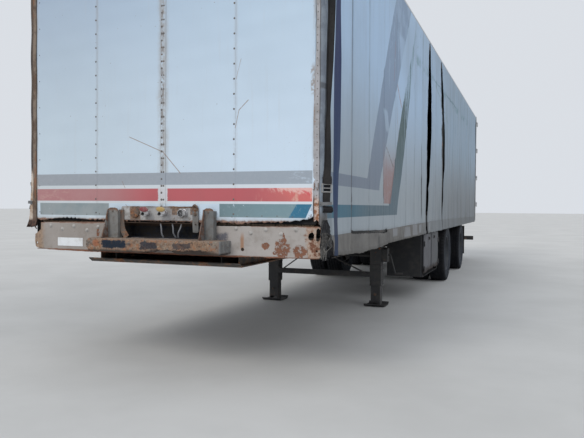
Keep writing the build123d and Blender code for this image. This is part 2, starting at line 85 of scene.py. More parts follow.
# ------------------------------------------------------------------ meshes
class Shape:
    """Gathers vertices and faces, then makes one piece of them."""

    def __init__(self):
        self.v, self.f, self.m, self.n = [], [], [], 0

    def add(self, verts, faces, mat=0):
        verts = np.asarray(verts, float).reshape(-1, 3)
        self.v.append(verts)
        self.f += [[i + self.n for i in f] for f in faces]
        self.m += [mat] * len(faces)
        self.n += len(verts)
        return self

    def make(self, name, mats, body="trailer", slot=None, replaces=(), sharp=38,
             weld=False, attrs=None, flip=False):
        v = np.vstack(self.v)
        if flip:
            v = v * np.array([-1, 1, 1])
        v = v - np.array([0, CY, 0])
        me = bpy.data.meshes.new(name)
        me.from_pydata(v.tolist(), [], self.f)
        for m in mats:
            me.materials.append(m)
        me.polygons.foreach_set("material_index", self.m)
        for an, av in (attrs or {}).items():
            a = me.attributes.new(an, "FLOAT_VECTOR", "POINT")
            a.data.foreach_set("vector", np.asarray(av, np.float32).ravel())
        bm = bmesh.new()
        bm.from_mesh(me)
        if weld:
            bmesh.ops.remove_doubles(bm, verts=bm.verts, dist=2e-5)
        bmesh.ops.recalc_face_normals(bm, faces=bm.faces)
        bm.to_mesh(me)
        bm.free()
        me.polygons.foreach_set("use_smooth", [True] * len(me.polygons))
        me.set_sharp_from_angle(angle=math.radians(sharp))
        me.update()
        o = bpy.data.objects.new(name, me)
        bpy.context.scene.collection.objects.link(o)
        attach(o, body)
        if replaces:
            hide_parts(*replaces)
        return o


def cbox(lo, hi, c=0.002):
    """A box with chamfered edges."""
    lo, hi = np.minimum(lo, hi).astype(float), np.maximum(lo, hi).astype(float)
    c = min(c, 0.45 * float((hi - lo).min()))
    vs, idx = [], {}
    for s in itertools.product((0, 1), repeat=3):
        for ax in range(3):
            p = [hi[i] if s[i] else lo[i] for i in range(3)]
            for i in range(3):
                if i != ax:
                    p[i] += -c if s[i] else c
            idx[s, ax] = len(vs)
            vs.append(p)
    fs = []
    for ax in range(3):
        o = [i for i in range(3) if i != ax]
        for e in (0, 1):
            q = []
            for a, b in ((0, 0), (1, 0), (1, 1), (0, 1)):
                s = [0, 0, 0]
                s[ax], s[o[0]], s[o[1]] = e, a, b
                q.append(idx[tuple(s), ax])
            fs.append(q)
        for a in (0, 1):
            for b in (0, 1):
                s0, s1 = [0] * 3, [0] * 3
                s1[ax] = 1
                s0[o[0]] = s1[o[0]] = a
                s0[o[1]] = s1[o[1]] = b
                s0, s1 = tuple(s0), tuple(s1)
                fs.append([idx[s0, o[0]], idx[s1, o[0]], idx[s1, o[1]], idx[s0, o[1]]])
    for s in itertools.product((0, 1), repeat=3):
        fs.append([idx[s, 0], idx[s, 1], idx[s, 2]])
    return vs, fs


def frame_of(d):
    d = unit(d)
    u = np.cross(d, (0, 0, 1) if abs(d[2]) < 0.9 else (1, 0, 0))
    u = unit(u)
    return d, u, np.cross(d, u)


def lathe(o, d, prof, n=32, closed=False):
    """Turned shape: prof is (distance along d, radius), r 0 closes an end."""
    o = np.asarray(o, float)
    d, u, w = frame_of(d)
    a = np.arange(n) * 2 * np.pi / n
    ring = np.outer(np.cos(a), u) + np.outer(np.sin(a), w)
    vs, rows = [], []
    for t, r in prof:
        if r < 1e-9:
            rows.append([len(vs)] * n)
            vs.append(o + d * t)
        else:
            rows.append(list(range(len(vs), len(vs) + n)))
            vs += list(o + d * t + ring * r)
    fs = []
    pairs = list(zip(rows, rows[1:])) + ([(rows[-1], rows[0])] if closed else [])
    for a_, b_ in pairs:
        for k in range(n):
            q = []
            for i in (a_[k], a_[(k + 1) % n], b_[(k + 1) % n], b_[k]):
                if i not in q:
                    q.append(i)
            if len(q) > 2:
                fs.append(q)
    return vs, fs


def rod(a, b, r, n=16, c=0.002):
    a, b = np.asarray(a, float), np.asarray(b, float)
    h = float(np.linalg.norm(b - a))
    c = min(c, 0.3 * r, 0.3 * h)
    return lathe(a, b - a, [(0, 0), (0, r - c), (c, r), (h - c, r), (h, r - c), (h, 0)], n)


def sweep(path, sec, up=None, caps=True):
    """A section (list of (u, v)) carried along the path."""
    p = np.asarray(path, float)
    t = np.gradient(p, axis=0)
    t /= np.linalg.norm(t, axis=1)[:, None]
    if up is None:
        _, u, _ = frame_of(t[0])
    else:
        u = unit(np.asarray(up, float) - t[0] * np.dot(up, t[0]))
    vs, k = [], len(sec)
    for i in range(len(p)):
        u = unit(u - t[i] * np.dot(u, t[i]))
        w = np.cross(t[i], u)
        vs += [p[i] + a * u + b * w for a, b in sec]
    fs = []
    for i in range(len(p) - 1):
        for j in range(k):
            a, b = i * k + j, i * k + (j + 1) % k
            fs.append([a, b, b + k, a + k])
    if caps:
        fs.append(list(range(k))[::-1])
        fs.append(list(range((len(p) - 1) * k, len(p) * k)))
    return vs, fs


def circle(r, n=8):
    return [(r * math.cos(2 * math.pi * i / n), r * math.sin(2 * math.pi * i / n)) for i in range(n)]


def strap_section(w, t):
    c = t * 0.35
    return [(-w / 2 + c, -t / 2), (w / 2 - c, -t / 2), (w / 2, -t / 2 + c), (w / 2, t / 2 - c),
            (w / 2 - c, t / 2), (-w / 2 + c, t / 2), (-w / 2, t / 2 - c), (-w / 2, -t / 2 + c)]


def offset_poly(pts, c):
    """The outline moved in by c; it runs anticlockwise."""
    p = np.asarray(pts, float)
    a, b = p - np.roll(p, 1, 0), np.roll(p, -1, 0) - p
    na = np.stack([-a[:, 1], a[:, 0]], 1) / np.linalg.norm(a, axis=1)[:, None]
    nb = np.stack([-b[:, 1], b[:, 0]], 1) / np.linalg.norm(b, axis=1)[:, None]
    m = na + nb
    m /= np.maximum((m * m).sum(1), 0.35)[:, None]
    return p + 2 * c * m / 1.0 * 1.0


def prism(outline, axis, lo, hi, c=0.0015):
    """A plate: the outline in the two other axes, from lo to hi, edges chamfered."""
    p = np.asarray(outline, float)
    area = 0.5 * float((p[:, 0] * np.roll(p[:, 1], -1) - np.roll(p[:, 0], -1) * p[:, 1]).sum())
    if area < 0:
        p = p[::-1]
    q = offset_poly(p, c)
    rings = [(lo, q), (lo + c, p), (hi - c, p), (hi, q)]
    vs, k = [], len(p)
    for h, ring in rings:
        for a, b in ring:
            vs.append({0: (h, a, b), 1: (a, h, b), 2: (a, b, h)}[axis])
    fs = [list(range(k)), list(range(3 * k, 4 * k))]
    for i in range(3):
        for j in range(k):
            a, b = i * k + j, i * k + (j + 1) % k
            fs.append([a, b, b + k, a + k])
    return vs, fs


def domes(shape, centres, normal, r, h, mat=0, n=8, skirt=0.001):
    """Rivet or bolt heads: low domes on a face."""
    d, u, w = frame_of(normal)
    a = np.arange(n) * 2 * np.pi / n
    ring = np.outer(np.cos(a), u) + np.outer(np.sin(a), w)
    prof = [(-skirt, 1.0), (0.0, 1.0), (0.55 * h, 0.82), (0.9 * h, 0.45)]
    base = np.vstack([ring * r * s + d * t for t, s in prof] + [(d * h)[None, :], (-d * skirt)[None, :]])
    fs = []
    for i in range(3):
        for k in range(n):
            fs.append([i * n + k, i * n + (k + 1) % n, (i + 1) * n + (k + 1) % n, (i + 1) * n + k])
    for k in range(n):
        fs.append([3 * n + k, 3 * n + (k + 1) % n, 4 * n])
        fs.append([(k + 1) % n, k, 4 * n + 1])
    for c in centres:
        shape.add(base + np.asarray(c, float), fs, mat)
    return shape


def nuts(shape, centres, normal, r, h, mat=0, washer=True, stud=True):
    """Hexagon heads with a washer under and a stud end on top."""
    d = unit(normal)
    for i, c in enumerate(centres):
        c = np.asarray(c, float)
        if washer:
            shape.add(*lathe(c - d * 0.001, d, [(0, 0), (0, r * 1.45), (0.003, r * 1.45), (0.003, 0)], 14), mat)
        shape.add(*lathe(c, d, [(0, 0), (0, r * 0.93), (0.002, r), (h - 0.002, r), (h, r * 0.88), (h, 0)], 6), mat)
        if stud:
            shape.add(*lathe(c, d, [(0, 0), (0, r * 0.5), (h * 1.5, r * 0.5), (h * 1.6, r * 0.4), (h * 1.6, 0)], 10), mat)
    return shape


def grid_faces(nu, nv, start=0, skip=None):
    """Quads of a grid whose vertices run v fastest."""
    fs = []
    for i in range(nu - 1):
        for j in range(nv - 1):
            if skip is not None and skip[i, j]:
                continue
            a = start + i * nv + j
            fs.append([a, a + 1, a + nv + 1, a + nv])
    return fs


# ------------------------------------------------------------------ materials
class V:
    """A value inside a material's node tree."""

    def __init__(self, g, sock):
        self.g, self.sock = g, sock

    def __add__(self, o): return self.g.math("ADD", self, o)
    def __radd__(self, o): return self.g.math("ADD", o, self)
    def __sub__(self, o): return self.g.math("SUBTRACT", self, o)
    def __rsub__(self, o): return self.g.math("SUBTRACT", o, self)
    def __mul__(self, o): return self.g.math("MULTIPLY", self, o)
    def __rmul__(self, o): return self.g.math("MULTIPLY", o, self)
    def __truediv__(self, o): return self.g.math("DIVIDE", self, o)
    def __neg__(self): return self.g.math("MULTIPLY", self, -1.0)


class G:
    """One material: nodes are added by the calls below."""

    def __init__(self, name):
        self.m = bpy.data.materials.new(name)
        self.m.use_nodes = True
        self.nt = self.m.node_tree
        self.b = self.nt.nodes["Principled BSDF"]
        tc = self.nt.nodes.new("ShaderNodeTexCoord")
        self.obj = V(self, tc.outputs["Object"])
        self.x, y, self.z = self.split(self.obj)
        self.y = y + CY
        self._rest = None

    def split(self, vec):
        n = self.nt.nodes.new("ShaderNodeSeparateXYZ")
        self.put(n.inputs[0], vec)
        return [V(self, s) for s in n.outputs]

    def join(self, x, y, z):
        n = self.nt.nodes.new("ShaderNodeCombineXYZ")
        for s, q in zip(n.inputs, (x, y, z)):
            self.put(s, q)
        return V(self, n.outputs[0])

    def attr(self, name):
        n = self.nt.nodes.new("ShaderNodeAttribute")
        n.attribute_name = name
        return V(self, n.outputs["Vector"])

    def put(self, sock, x):
        if isinstance(x, V):
            self.nt.links.new(x.sock, sock)
        else:
            if isinstance(x, (tuple, list)) and sock.type == "RGBA" and len(x) == 3:
                x = (*x, 1.0)
            sock.default_value = x

    def math(self, op, *a, clamp=False):
        n = self.nt.nodes.new("ShaderNodeMath")
        n.operation, n.use_clamp = op, clamp
        for i, x in enumerate(a):
            self.put(n.inputs[i], x)
        return V(self, n.outputs[0])

    def step(self, x, a, b):
        """0 where x is at a, 1 at b, smooth between; a may be over b."""
        n = self.nt.nodes.new("ShaderNodeMapRange")
        n.interpolation_type = "SMOOTHSTEP"
        for i, q in enumerate((x, a, b, 0.0, 1.0)):
            self.put(n.inputs[i], q)
        return V(self, n.outputs[0])

    def band(self, x, lo, hi, s=0.002):
        return self.step(x, lo - s, lo + s) * self.step(x, hi + s, hi - s)

    def inv(self, x): return 1.0 - x
    def mn(self, a, b): return self.math("MINIMUM", a, b)
    def mx(self, a, b): return self.math("MAXIMUM", a, b)
    def ab(self, a): return self.math("ABSOLUTE", a)
    def clamp(self, a): return self.math("ADD", a, 0.0, clamp=True)

    def noise(self, scale, detail=4.0, rough=0.55, stretch=None, off=None, at=None, dist=0.0):
        vec = at or self.obj
        if stretch is not None or off is not None:
            mp = self.nt.nodes.new("ShaderNodeMapping")
            self.put(mp.inputs["Vector"], vec)
            mp.inputs["Location"].default_value = off or (0, 0, 0)
            mp.inputs["Scale"].default_value = stretch or (1, 1, 1)
            vec = V(self, mp.outputs[0])
        n = self.nt.nodes.new("ShaderNodeTexNoise")
        self.put(n.inputs["Vector"], vec)
        n.inputs["Scale"].default_value = scale
        n.inputs["Detail"].default_value = detail
        n.inputs["Roughness"].default_value = rough
        n.inputs["Distortion"].default_value = dist
        return V(self, n.outputs[0])

    def cells(self, scale, stretch=None, off=None, at=None, feature="F1", random=1.0):
        vec = at or self.obj
        if stretch is not None or off is not None:
            mp = self.nt.nodes.new("ShaderNodeMapping")
            self.put(mp.inputs["Vector"], vec)
            mp.inputs["Location"].default_value = off or (0, 0, 0)
            mp.inputs["Scale"].default_value = stretch or (1, 1, 1)
            vec = V(self, mp.outputs[0])
        n = self.nt.nodes.new("ShaderNodeTexVoronoi")
        n.feature = feature
        self.put(n.inputs["Vector"], vec)
        n.inputs["Scale"].default_value = scale
        n.inputs["Randomness"].default_value = random
        return V(self, n.outputs["Distance"])

    def mix(self, f, a, b):
        n = self.nt.nodes.new("ShaderNodeMix")
        n.data_type = "RGBA"
        self.put(n.inputs[0], f)
        self.put(n.inputs[6], a)
        self.put(n.inputs[7], b)
        return V(self, n.outputs[2])

    def tone(self, f, *cols):
        """A colour along a row of colours as f goes from 0 to 1."""
        n = self.nt.nodes.new("ShaderNodeValToRGB")
        e = n.color_ramp.elements
        while len(e) < len(cols):
            e.new(0.5)
        for i, c in enumerate(cols):
            e[i].position = i / (len(cols) - 1)
            e[i].color = (*c, 1)
        self.put(n.inputs[0], f)
        return V(self, n.outputs[0])

    def line(self, a, b, w, u, v):
        """1 on the straight line a to b in the (u, v) plane, w half wide."""
        ax, ay = a
        dx, dy = b[0] - ax, b[1] - ay
        ll = dx * dx + dy * dy
        t = self.clamp(((u - ax) * dx + (v - ay) * dy) / ll)
        ex, ey = u - (t * dx + ax), v - (t * dy + ay)
        d = self.math("SQRT", ex * ex + ey * ey)
        return self.step(d, w, w * 0.35)

    def bump(self, height, dist=0.002, strength=1.0, normal=None):
        n = self.nt.nodes.new("ShaderNodeBump")
        n.inputs["Strength"].default_value = strength
        n.inputs["Distance"].default_value = dist
        self.put(n.inputs["Height"], height)
        if normal is not None:
            self.put(n.inputs["Normal"], normal)
        return V(self, n.outputs[0])

    def done(self, col, rough=0.6, metal=None, normal=None, spec=None, coat=None, sheen=None):
        b = self.b
        self.put(b.inputs["Base Color"], col)
        self.put(b.inputs["Roughness"], rough)
        if metal is not None:
            self.put(b.inputs["Metallic"], metal)
        if normal is not None:
            self.put(b.inputs["Normal"], normal)
        if spec is not None:
            b.inputs["Specular IOR Level"].default_value = spec
        if coat is not None:
            b.inputs["Coat Weight"].default_value = coat
            b.inputs["Coat Roughness"].default_value = 0.35
        if sheen is not None:
            b.inputs["Sheen Weight"].default_value = sheen
            b.inputs["Sheen Roughness"].default_value = 0.5
        return self.m


def shade(c, k):
    return tuple(min(1.0, x * k) for x in c)


RUST_DARK, RUST_MID, RUST_PALE = (0.055, 0.022, 0.014), (0.16, 0.062, 0.028), (0.33, 0.16, 0.075)
GRIME = (0.10, 0.088, 0.075)


def rust_colour(g, seed=0.0):
    f = g.noise(46, 6, 0.7, off=(seed, seed * 0.7, 3.0))
    return g.tone(g.step(f, 0.3, 0.7), RUST_DARK, RUST_MID, RUST_PALE)


def steel(name, paint, rust=0.4, dirt=0.4, seed=1.0, rough=0.5, scale=1.0, chips=0.5, streak=0.0, metal=None):
    """Painted steel with dirt, chips and rust; rust and dirt go from 0 to 1."""
    g = G(name)
    big = g.noise(1.1 * scale, 4, 0.55, off=(seed * 3.1, seed * 1.7, seed))
    mid = g.noise(6.5 * scale, 7, 0.66, off=(seed * 1.3, seed * 5.1, seed * 2))
    spots = g.noise(34 * scale, 6, 0.7, off=(seed, seed, seed * 4))
    fine = g.noise(180, 4, 0.65)
    col = g.mix(g.step(big, 0.35, 0.65), shade(paint, 0.84), shade(paint, 1.10))
    col = g.mix(g.step(mid, 0.42, 0.72) * dirt, col, GRIME)
    if streak:
        run = g.noise(1.0, 5, 0.6, stretch=(34, 34, 1.6), off=(seed, 0, 0))
        col = g.mix(g.step(run, 0.52, 0.75) * streak, col, shade(paint, 0.55))
    patch = mid * 0.62 + spots * 0.38
    th = 0.70 - 0.22 * rust
    rm = g.step(patch, th, th + 0.035)
    halo = g.step(patch, th - 0.05, th + 0.01)
    chip = g.step(spots, 0.71 - 0.06 * chips, 0.725 - 0.06 * chips)
    rm = g.mx(rm, chip)
    col = g.mix(halo * (0.55 * min(1, rust * 1.5)), col, (0.24, 0.13, 0.07))
    col = g.mix(rm, col, rust_colour(g, seed))
    h = rm * -0.6 + fine * 0.35 + spots * rm * 0.9 + mid * 0.4
    rr = g.clamp(rm * 0.35 + (rough + 0.12 * 0) + fine * 0.12)
    return g.done(col, rr, normal=g.bump(h, 0.0022, 0.8), metal=metal)


def rubber(name, col=(0.022, 0.022, 0.024), dust=0.5, rough=0.8):
    g = G(name)
    a, b = g.noise(3.0, 5, 0.6), g.noise(60, 5, 0.65)
    c = g.mix(g.step(a, 0.35, 0.7) * dust, col, (0.12, 0.11, 0.095))
    c = g.mix(g.step(b, 0.5, 0.75) * 0.4, c, shade(col, 0.5))
    return g.done(c, g.clamp(b * 0.2 + (rough - 0.1)), normal=g.bump(b, 0.0012, 0.7), spec=0.3)


def alloy(name, col=(0.55, 0.56, 0.57), rough=0.42, metal=0.85, dirt=0.4, brush=(1, 1, 1)):
    g = G(name)
    a = g.noise(2.2, 5, 0.6)
    s = g.noise(120, 4, 0.6, stretch=brush)
    c = g.mix(g.step(a, 0.4, 0.7) * dirt, col, (0.22, 0.21, 0.2))
    c = g.mix(g.step(s, 0.45, 0.7) * 0.25, c, shade(col, 0.7))
    return g.done(c, g.clamp(s * 0.22 + a * 0.2 + (rough - 0.2)), metal=metal, normal=g.bump(s, 0.0006, 0.5))


def plastic(name, col, rough=0.5, fade=0.5, scale=1.0):
    g = G(name)
    a, b = g.noise(24 * scale, 5, 0.6), g.noise(160, 4, 0.6)
    c = g.mix(g.step(a, 0.4, 0.68) * fade, col, tuple(0.55 * x + 0.16 for x in col))
    c = g.mix(g.step(b, 0.6, 0.75) * 0.5, c, shade(col, 0.35))
    return g.done(c, g.clamp(a * 0.25 + (rough - 0.1)), normal=g.bump(b, 0.0006, 0.6))

# ------------------------------------------------------------------ camera, light, floor
def set_camera():
    yaw, pitch, roll = math.radians(-21.161), math.radians(-1.160), math.radians(0.391)
    fwd = np.array([math.sin(yaw), math.cos(yaw), 0.0])
    right = np.array([math.cos(yaw), -math.sin(yaw), 0.0])
    up = np.array([0.0, 0.0, 1.0])
    f2 = fwd * math.cos(pitch) + up * math.sin(pitch)
    u2 = up * math.cos(pitch) - fwd * math.sin(pitch)
    r3 = right * math.cos(roll) + u2 * math.sin(roll)
    u3 = u2 * math.cos(roll) - right * math.sin(roll)
    cam = bpy.data.cameras.new("camera")
    cam.sensor_width = 36.0
    cam.lens = 617.246 / 584 * 36
    cam.clip_start, cam.clip_end = 0.05, 500
    o = bpy.data.objects.new("camera", cam)
    m = Matrix.Identity(4)
    for i, col in enumerate((r3, u3, -f2)):
        for k in range(3):
            m[k][i] = col[k]
    for k, v in enumerate((2.5485, -3.9222 - CY, 1.2672)):
        m[k][3] = v
    o.matrix_world = m
    bpy.context.scene.collection.objects.link(o)
    bpy.context.scene.camera = o


set_camera()
scene = bpy.context.scene
scene.view_settings.view_transform = "Standard"
scene.view_settings.look = "None"
scene.view_settings.exposure = 0.0

world = bpy.data.worlds.new("studio")
scene.world = world
world.use_nodes = True
bg = world.node_tree.nodes["Background"]
bg.inputs["Color"].default_value = (0.90, 0.94, 1.0, 1)
bg.inputs["Strength"].default_value = 0.78


def sun(name, direction, energy, angle, colour=(1, 1, 1)):
    l = bpy.data.lights.new(name, "SUN")
    l.energy, l.angle, l.color = energy, math.radians(angle), colour
    o = bpy.data.objects.new(name, l)
    o.rotation_mode = "QUATERNION"
    o.rotation_quaternion = Vector(direction).to_track_quat("-Z", "Y")
    scene.collection.objects.link(o)


sun("key", (0.25, 0.85, -0.75), 1.15, 24, (1.0, 0.97, 0.92))
sun("side", (-0.9, 0.45, -0.65), 0.55, 40, (0.93, 0.96, 1.0))

floor_me = bpy.data.meshes.new("studio_floor")
floor_me.from_pydata([(-150, -150, 0), (150, -150, 0), (150, 150, 0), (-150, 150, 0)], [], [(0, 1, 2, 3)])
floor = bpy.data.objects.new("studio_floor", floor_me)
scene.collection.objects.link(floor)
g = G("floor_pale")
floor_me.materials.append(g.done(g.mix(g.step(g.noise(0.6, 5, 0.6), 0.3, 0.7), (0.50, 0.50, 0.49), (0.56, 0.56, 0.55)), 0.85,
                                 normal=g.bump(g.noise(30, 4, 0.6), 0.001, 0.3)))

# ------------------------------------------------------------------ finishes of the CAD pieces
M = {}
M["frame"] = steel("frame_paint", (0.032, 0.032, 0.033), rust=0.42, dirt=0.45, seed=1.0, rough=0.6)
M["rail"] = steel("rail_paint", (0.035, 0.033, 0.032), rust=0.55, dirt=0.5, seed=2.2, rough=0.62)
M["leg"] = steel("leg_paint", (0.034, 0.034, 0.036), rust=0.30, dirt=0.45, seed=3.1, rough=0.6)
M["spring"] = steel("spring_steel", (0.05, 0.045, 0.04), rust=0.8, dirt=0.6, seed=4.0, rough=0.65)
M["cream"] = steel("cream_paint", (0.40, 0.37, 0.34), rust=0.35, dirt=0.4, seed=5.3, rough=0.55)
M["grey"] = steel("grey_paint", (0.42, 0.43, 0.43), rust=0.28, dirt=0.4, seed=6.1, rough=0.5, streak=0.3)
M["door"] = steel("door_paint", (0.60, 0.65, 0.69), rust=0.12, dirt=0.3, seed=7.4, rough=0.42, scale=0.6, chips=0.2, streak=0.4)


def roof_sheet():
    """Pale roof sheet: dirt dried along the bows below it and towards its sides."""
    g = G("roof_sheet")
    x, y = g.x, g.y
    cloud, mid = g.noise(0.5, 5, 0.6, off=(2, 6, 1)), g.noise(2.2, 7, 0.68, off=(1, 3, 2))
    spots, fine = g.noise(22, 6, 0.72, off=(5, 1, 2)), g.noise(170, 4, 0.65)
    run = g.noise(1.0, 6, 0.7, stretch=(1.2, 12, 1), off=(3, 1, 0))
    col = g.mix(g.step(cloud, 0.35, 0.65), (0.43, 0.45, 0.46), (0.50, 0.52, 0.53))
    col = g.mix(g.step(run, 0.46, 0.72) * 0.35, col, (0.27, 0.265, 0.25))
    pool = g.step(mid * 0.7 + spots * 0.3, 0.50, 0.66)
    col = g.mix(pool * 0.55, col, (0.19, 0.18, 0.155))
    for k in range(9):
        d = g.ab(y - (1.2 + 1.32 * k) + (mid - 0.5) * 0.03)
        col = g.mix(g.step(d, 0.055, 0.015) * g.step(spots, 0.30, 0.52) * 0.42, col, (0.17, 0.165, 0.15))
        col = g.mix(g.step(d, 0.24, 0.04) * g.step(mid, 0.40, 0.62) * 0.28, col, (0.22, 0.21, 0.185))
    side = g.step(g.ab(x) + (mid - 0.5) * 0.22, 1.02, 1.19)
    col = g.mix(side * 0.55, col, (0.15, 0.145, 0.125))
    col = g.mix(g.step(spots, 0.60, 0.68) * 0.5, col, (0.10, 0.10, 0.08))
    return g.done(col, g.clamp(0.55 + fine * 0.15 + pool * 0.2), normal=g.bump(pool * 0.5 + spots * 0.5 + fine * 0.3, 0.0015, 0.7), spec=0.3)


M["roof"] = roof_sheet()


DOOR_IN = 12.176


def door_skins():
    """Rear doors: painted skin outside, dark bare board inside."""
    g = G("rear_door_skins")
    y, z = g.y, g.z
    cloud, mid = g.noise(0.8, 5, 0.6, off=(5, 2, 1)), g.noise(5.0, 7, 0.68, off=(2, 2, 7))
    spots, fine = g.noise(32, 6, 0.72, off=(1, 8, 2)), g.noise(190, 4, 0.65)
    runs = g.noise(1.0, 6, 0.7, stretch=(22, 22, 1.3), off=(3, 3, 3))
    col = g.mix(g.step(cloud, 0.36, 0.66), (0.50, 0.54, 0.575), (0.57, 0.615, 0.65))
    col = g.mix(g.step(runs, 0.50, 0.74) * 0.40, col, (0.33, 0.33, 0.32))
    col = g.mix(g.step(mid, 0.46, 0.72) * 0.32, col, (0.30, 0.30, 0.29))
    low = g.step(z + (mid - 0.5) * 0.8, 1.95, 1.15)
    col = g.mix(low * 0.50, col, (0.235, 0.225, 0.205))
    rust = g.step(spots * 0.6 + mid * 0.4, 0.645, 0.665)
    col = g.mix(rust, col, g.mix(g.step(fine, 0.4, 0.6), (0.20, 0.075, 0.030), (0.10, 0.040, 0.020)))
    grain = g.noise(1.0, 6, 0.7, stretch=(60, 60, 2.4), off=(7, 1, 1))
    board = g.mix(g.step(grain, 0.38, 0.64), (0.045, 0.036, 0.028), (0.024, 0.019, 0.015))
    board = g.mix(g.step(mid, 0.50, 0.70) * 0.5, board, (0.070, 0.062, 0.052))
    inner = g.step(y, DOOR_IN + 0.0020, DOOR_IN + 0.0010)
    col = g.mix(inner, col, board)
    return g.done(col, g.clamp(0.44 + fine * 0.14 + rust * 0.3 + inner * 0.3), normal=g.bump(rust * -0.4 + fine * 0.3 + grain * 0.25, 0.0018, 0.7), spec=0.3)



M["rear_door"] = door_skins()


def rail_alloy():
    """Roof rails, with painted shade in black where the cloth below is torn open."""
    g = G("cant_rail_alloy")
    x, y, z = g.x, g.y, g.z
    a, s, b = g.noise(2.4, 6, 0.65, off=(4, 4, 1)), g.noise(120, 4, 0.6, stretch=(1, 0.05, 1)), g.noise(28, 6, 0.7)
    col = g.mix(g.step(a, 0.35, 0.68), (0.52, 0.53, 0.54), (0.36, 0.365, 0.37))
    col = g.mix(g.step(b, 0.54, 0.70) * 0.45, col, (0.16, 0.155, 0.145))
    # painted shade: black on the rails' lower edge above the two slits
    for y0, y1 in ((4.44, 4.74), (5.62, 5.90)):
        col = g.mix(g.band(y, y0, y1, 0.03) * g.step(z, 3.505, 3.495) * g.step(x, 1.0, 1.1), col, (0.012, 0.012, 0.013))
    return g.done(col, g.clamp(0.42 + a * 0.15 + s * 0.12), normal=g.bump(s * 0.4 + b * 0.3, 0.001, 0.6), metal=0.35)


M["cant"] = rail_alloy()
# painted shade: the locker body is drawn near black, far darker than its doors, as its front face lies in shade
M["locker"] = steel("locker_paint", (0.015, 0.016, 0.018), rust=0.15, dirt=0.25, seed=9.0, rough=0.6)
M["locker_door"] = steel("locker_door_paint", (0.22, 0.225, 0.225), rust=0.3, dirt=0.5, seed=10.3, rough=0.6, streak=0.5)
M["galv"] = alloy("galvanised", (0.42, 0.43, 0.44), 0.5, 0.7, 0.5)
M["alu"] = alloy("cant_rail_aluminium", (0.50, 0.51, 0.52), 0.45, 0.8, 0.45, (1, 0.05, 1))
M["bright"] = alloy("bright_steel", (0.60, 0.60, 0.60), 0.3, 0.95, 0.35)
M["pin"] = alloy("pin_steel", (0.30, 0.29, 0.28), 0.35, 0.9, 0.5)
M["tyre"] = rubber("tyre_rubber", (0.020, 0.022, 0.026), dust=0.55, rough=0.85)
M["flap"] = rubber("flap_rubber", (0.018, 0.018, 0.019), dust=0.7, rough=0.8)
M["seal"] = rubber("seal_rubber", (0.016, 0.016, 0.017), dust=0.35, rough=0.7)
M["hose"] = rubber("hose_rubber", (0.020, 0.024, 0.034), dust=0.3, rough=0.5)
M["web"] = None
M["wheel"] = steel("wheel_steel", (0.17, 0.17, 0.17), rust=0.5, dirt=0.5, seed=11.0, rough=0.6)
M["drum"] = steel("drum_iron", (0.06, 0.05, 0.045), rust=0.8, dirt=0.5, seed=12.0, rough=0.7)
M["lamp_red"] = plastic("lamp_red", (0.42, 0.016, 0.012), 0.3, 0.3)
M["lamp_amber"] = plastic("lamp_amber", (0.70, 0.24, 0.02), 0.3, 0.3)
M["lamp_black"] = plastic("lamp_black", (0.03, 0.03, 0.03), 0.5, 0.3)
M["red"] = plastic("coupling_red", (0.25, 0.055, 0.060), 0.6, 0.75)
M["yellow"] = plastic("coupling_yellow", (0.50, 0.335, 0.115), 0.6, 0.75)
M["black"] = plastic("black_plastic", (0.02, 0.02, 0.022), 0.5, 0.4)
M["cast"] = alloy("cast_alloy", (0.46, 0.46, 0.47), 0.45, 0.75, 0.6)


def beam_material():
    """Coupling beam: orange-brown rust with islands of dark blue paint."""
    g = G("beam_rusty")
    big = g.noise(5.0, 6, 0.62, off=(2.0, 0.3, 1.0))
    mid = g.noise(22, 7, 0.68, off=(1.0, 4.0, 0.5))
    fine = g.noise(150, 4, 0.7)
    rust = g.tone(g.step(mid, 0.28, 0.72), (0.10, 0.045, 0.026), (0.24, 0.125, 0.07), (0.36, 0.23, 0.14))
    grey = g.mix(g.step(fine, 0.35, 0.7), (0.20, 0.18, 0.16), (0.34, 0.31, 0.27))
    col = g.mix(g.step(big, 0.47, 0.6) * 0.75, rust, grey)
    paint = g.mx(g.band(g.x, -0.545, -0.305, 0.02), g.band(g.x, -0.20, 0.02, 0.03) * 0.85)
    where = g.step(paint + (mid - 0.5) * 1.5 + (big - 0.5) * 0.7, 0.52, 0.60)
    face = g.step(g.z, 0.935, 0.95) * g.step(g.z, 1.019, 1.008)
    pm = where * face
    col = g.mix(pm, col, g.mix(g.step(fine, 0.4, 0.7), (0.020, 0.026, 0.040), (0.05, 0.06, 0.075)))
    low = g.step(g.z, 0.952, 0.925)
    col = g.mix(low * 0.7, col, (0.035, 0.022, 0.016))
    h = pm * 0.8 + mid * 0.6 + fine * 0.3
    return g.done(col, g.clamp(0.55 + mid * 0.4 + 0.0 * low), normal=g.bump(h, 0.003, 0.9))


M["beam"] = beam_material()


def wood_material():
    g = G("floor_boards")
    plank = g.math("FRACT", (g.x + 5.0) * (1 / 0.19))
    gap = g.mx(g.step(plank, 0.03, 0.0), g.step(plank, 0.97, 1.0))
    idn = g.noise(1.0, 0, 0.5, stretch=(5.26, 0.0, 0.0))
    grain = g.noise(3.0, 7, 0.65, stretch=(26, 1.2, 8), dist=0.6)
    col = g.tone(g.step(grain, 0.25, 0.75), (0.085, 0.055, 0.035), (0.20, 0.135, 0.085), (0.29, 0.21, 0.14))
    col = g.mix(g.step(g.noise(1.6, 5, 0.6), 0.45, 0.7) * 0.6, col, (0.10, 0.09, 0.08))
    col = g.mix(g.step(idn, 0.4, 0.6) * 0.25, col, (0.30, 0.23, 0.17))
    col = g.mix(gap, col, (0.015, 0.012, 0.01))
    return g.done(col, 0.8, normal=g.bump(grain * 0.5 - gap, 0.003, 0.8))


M["wood"] = wood_material()


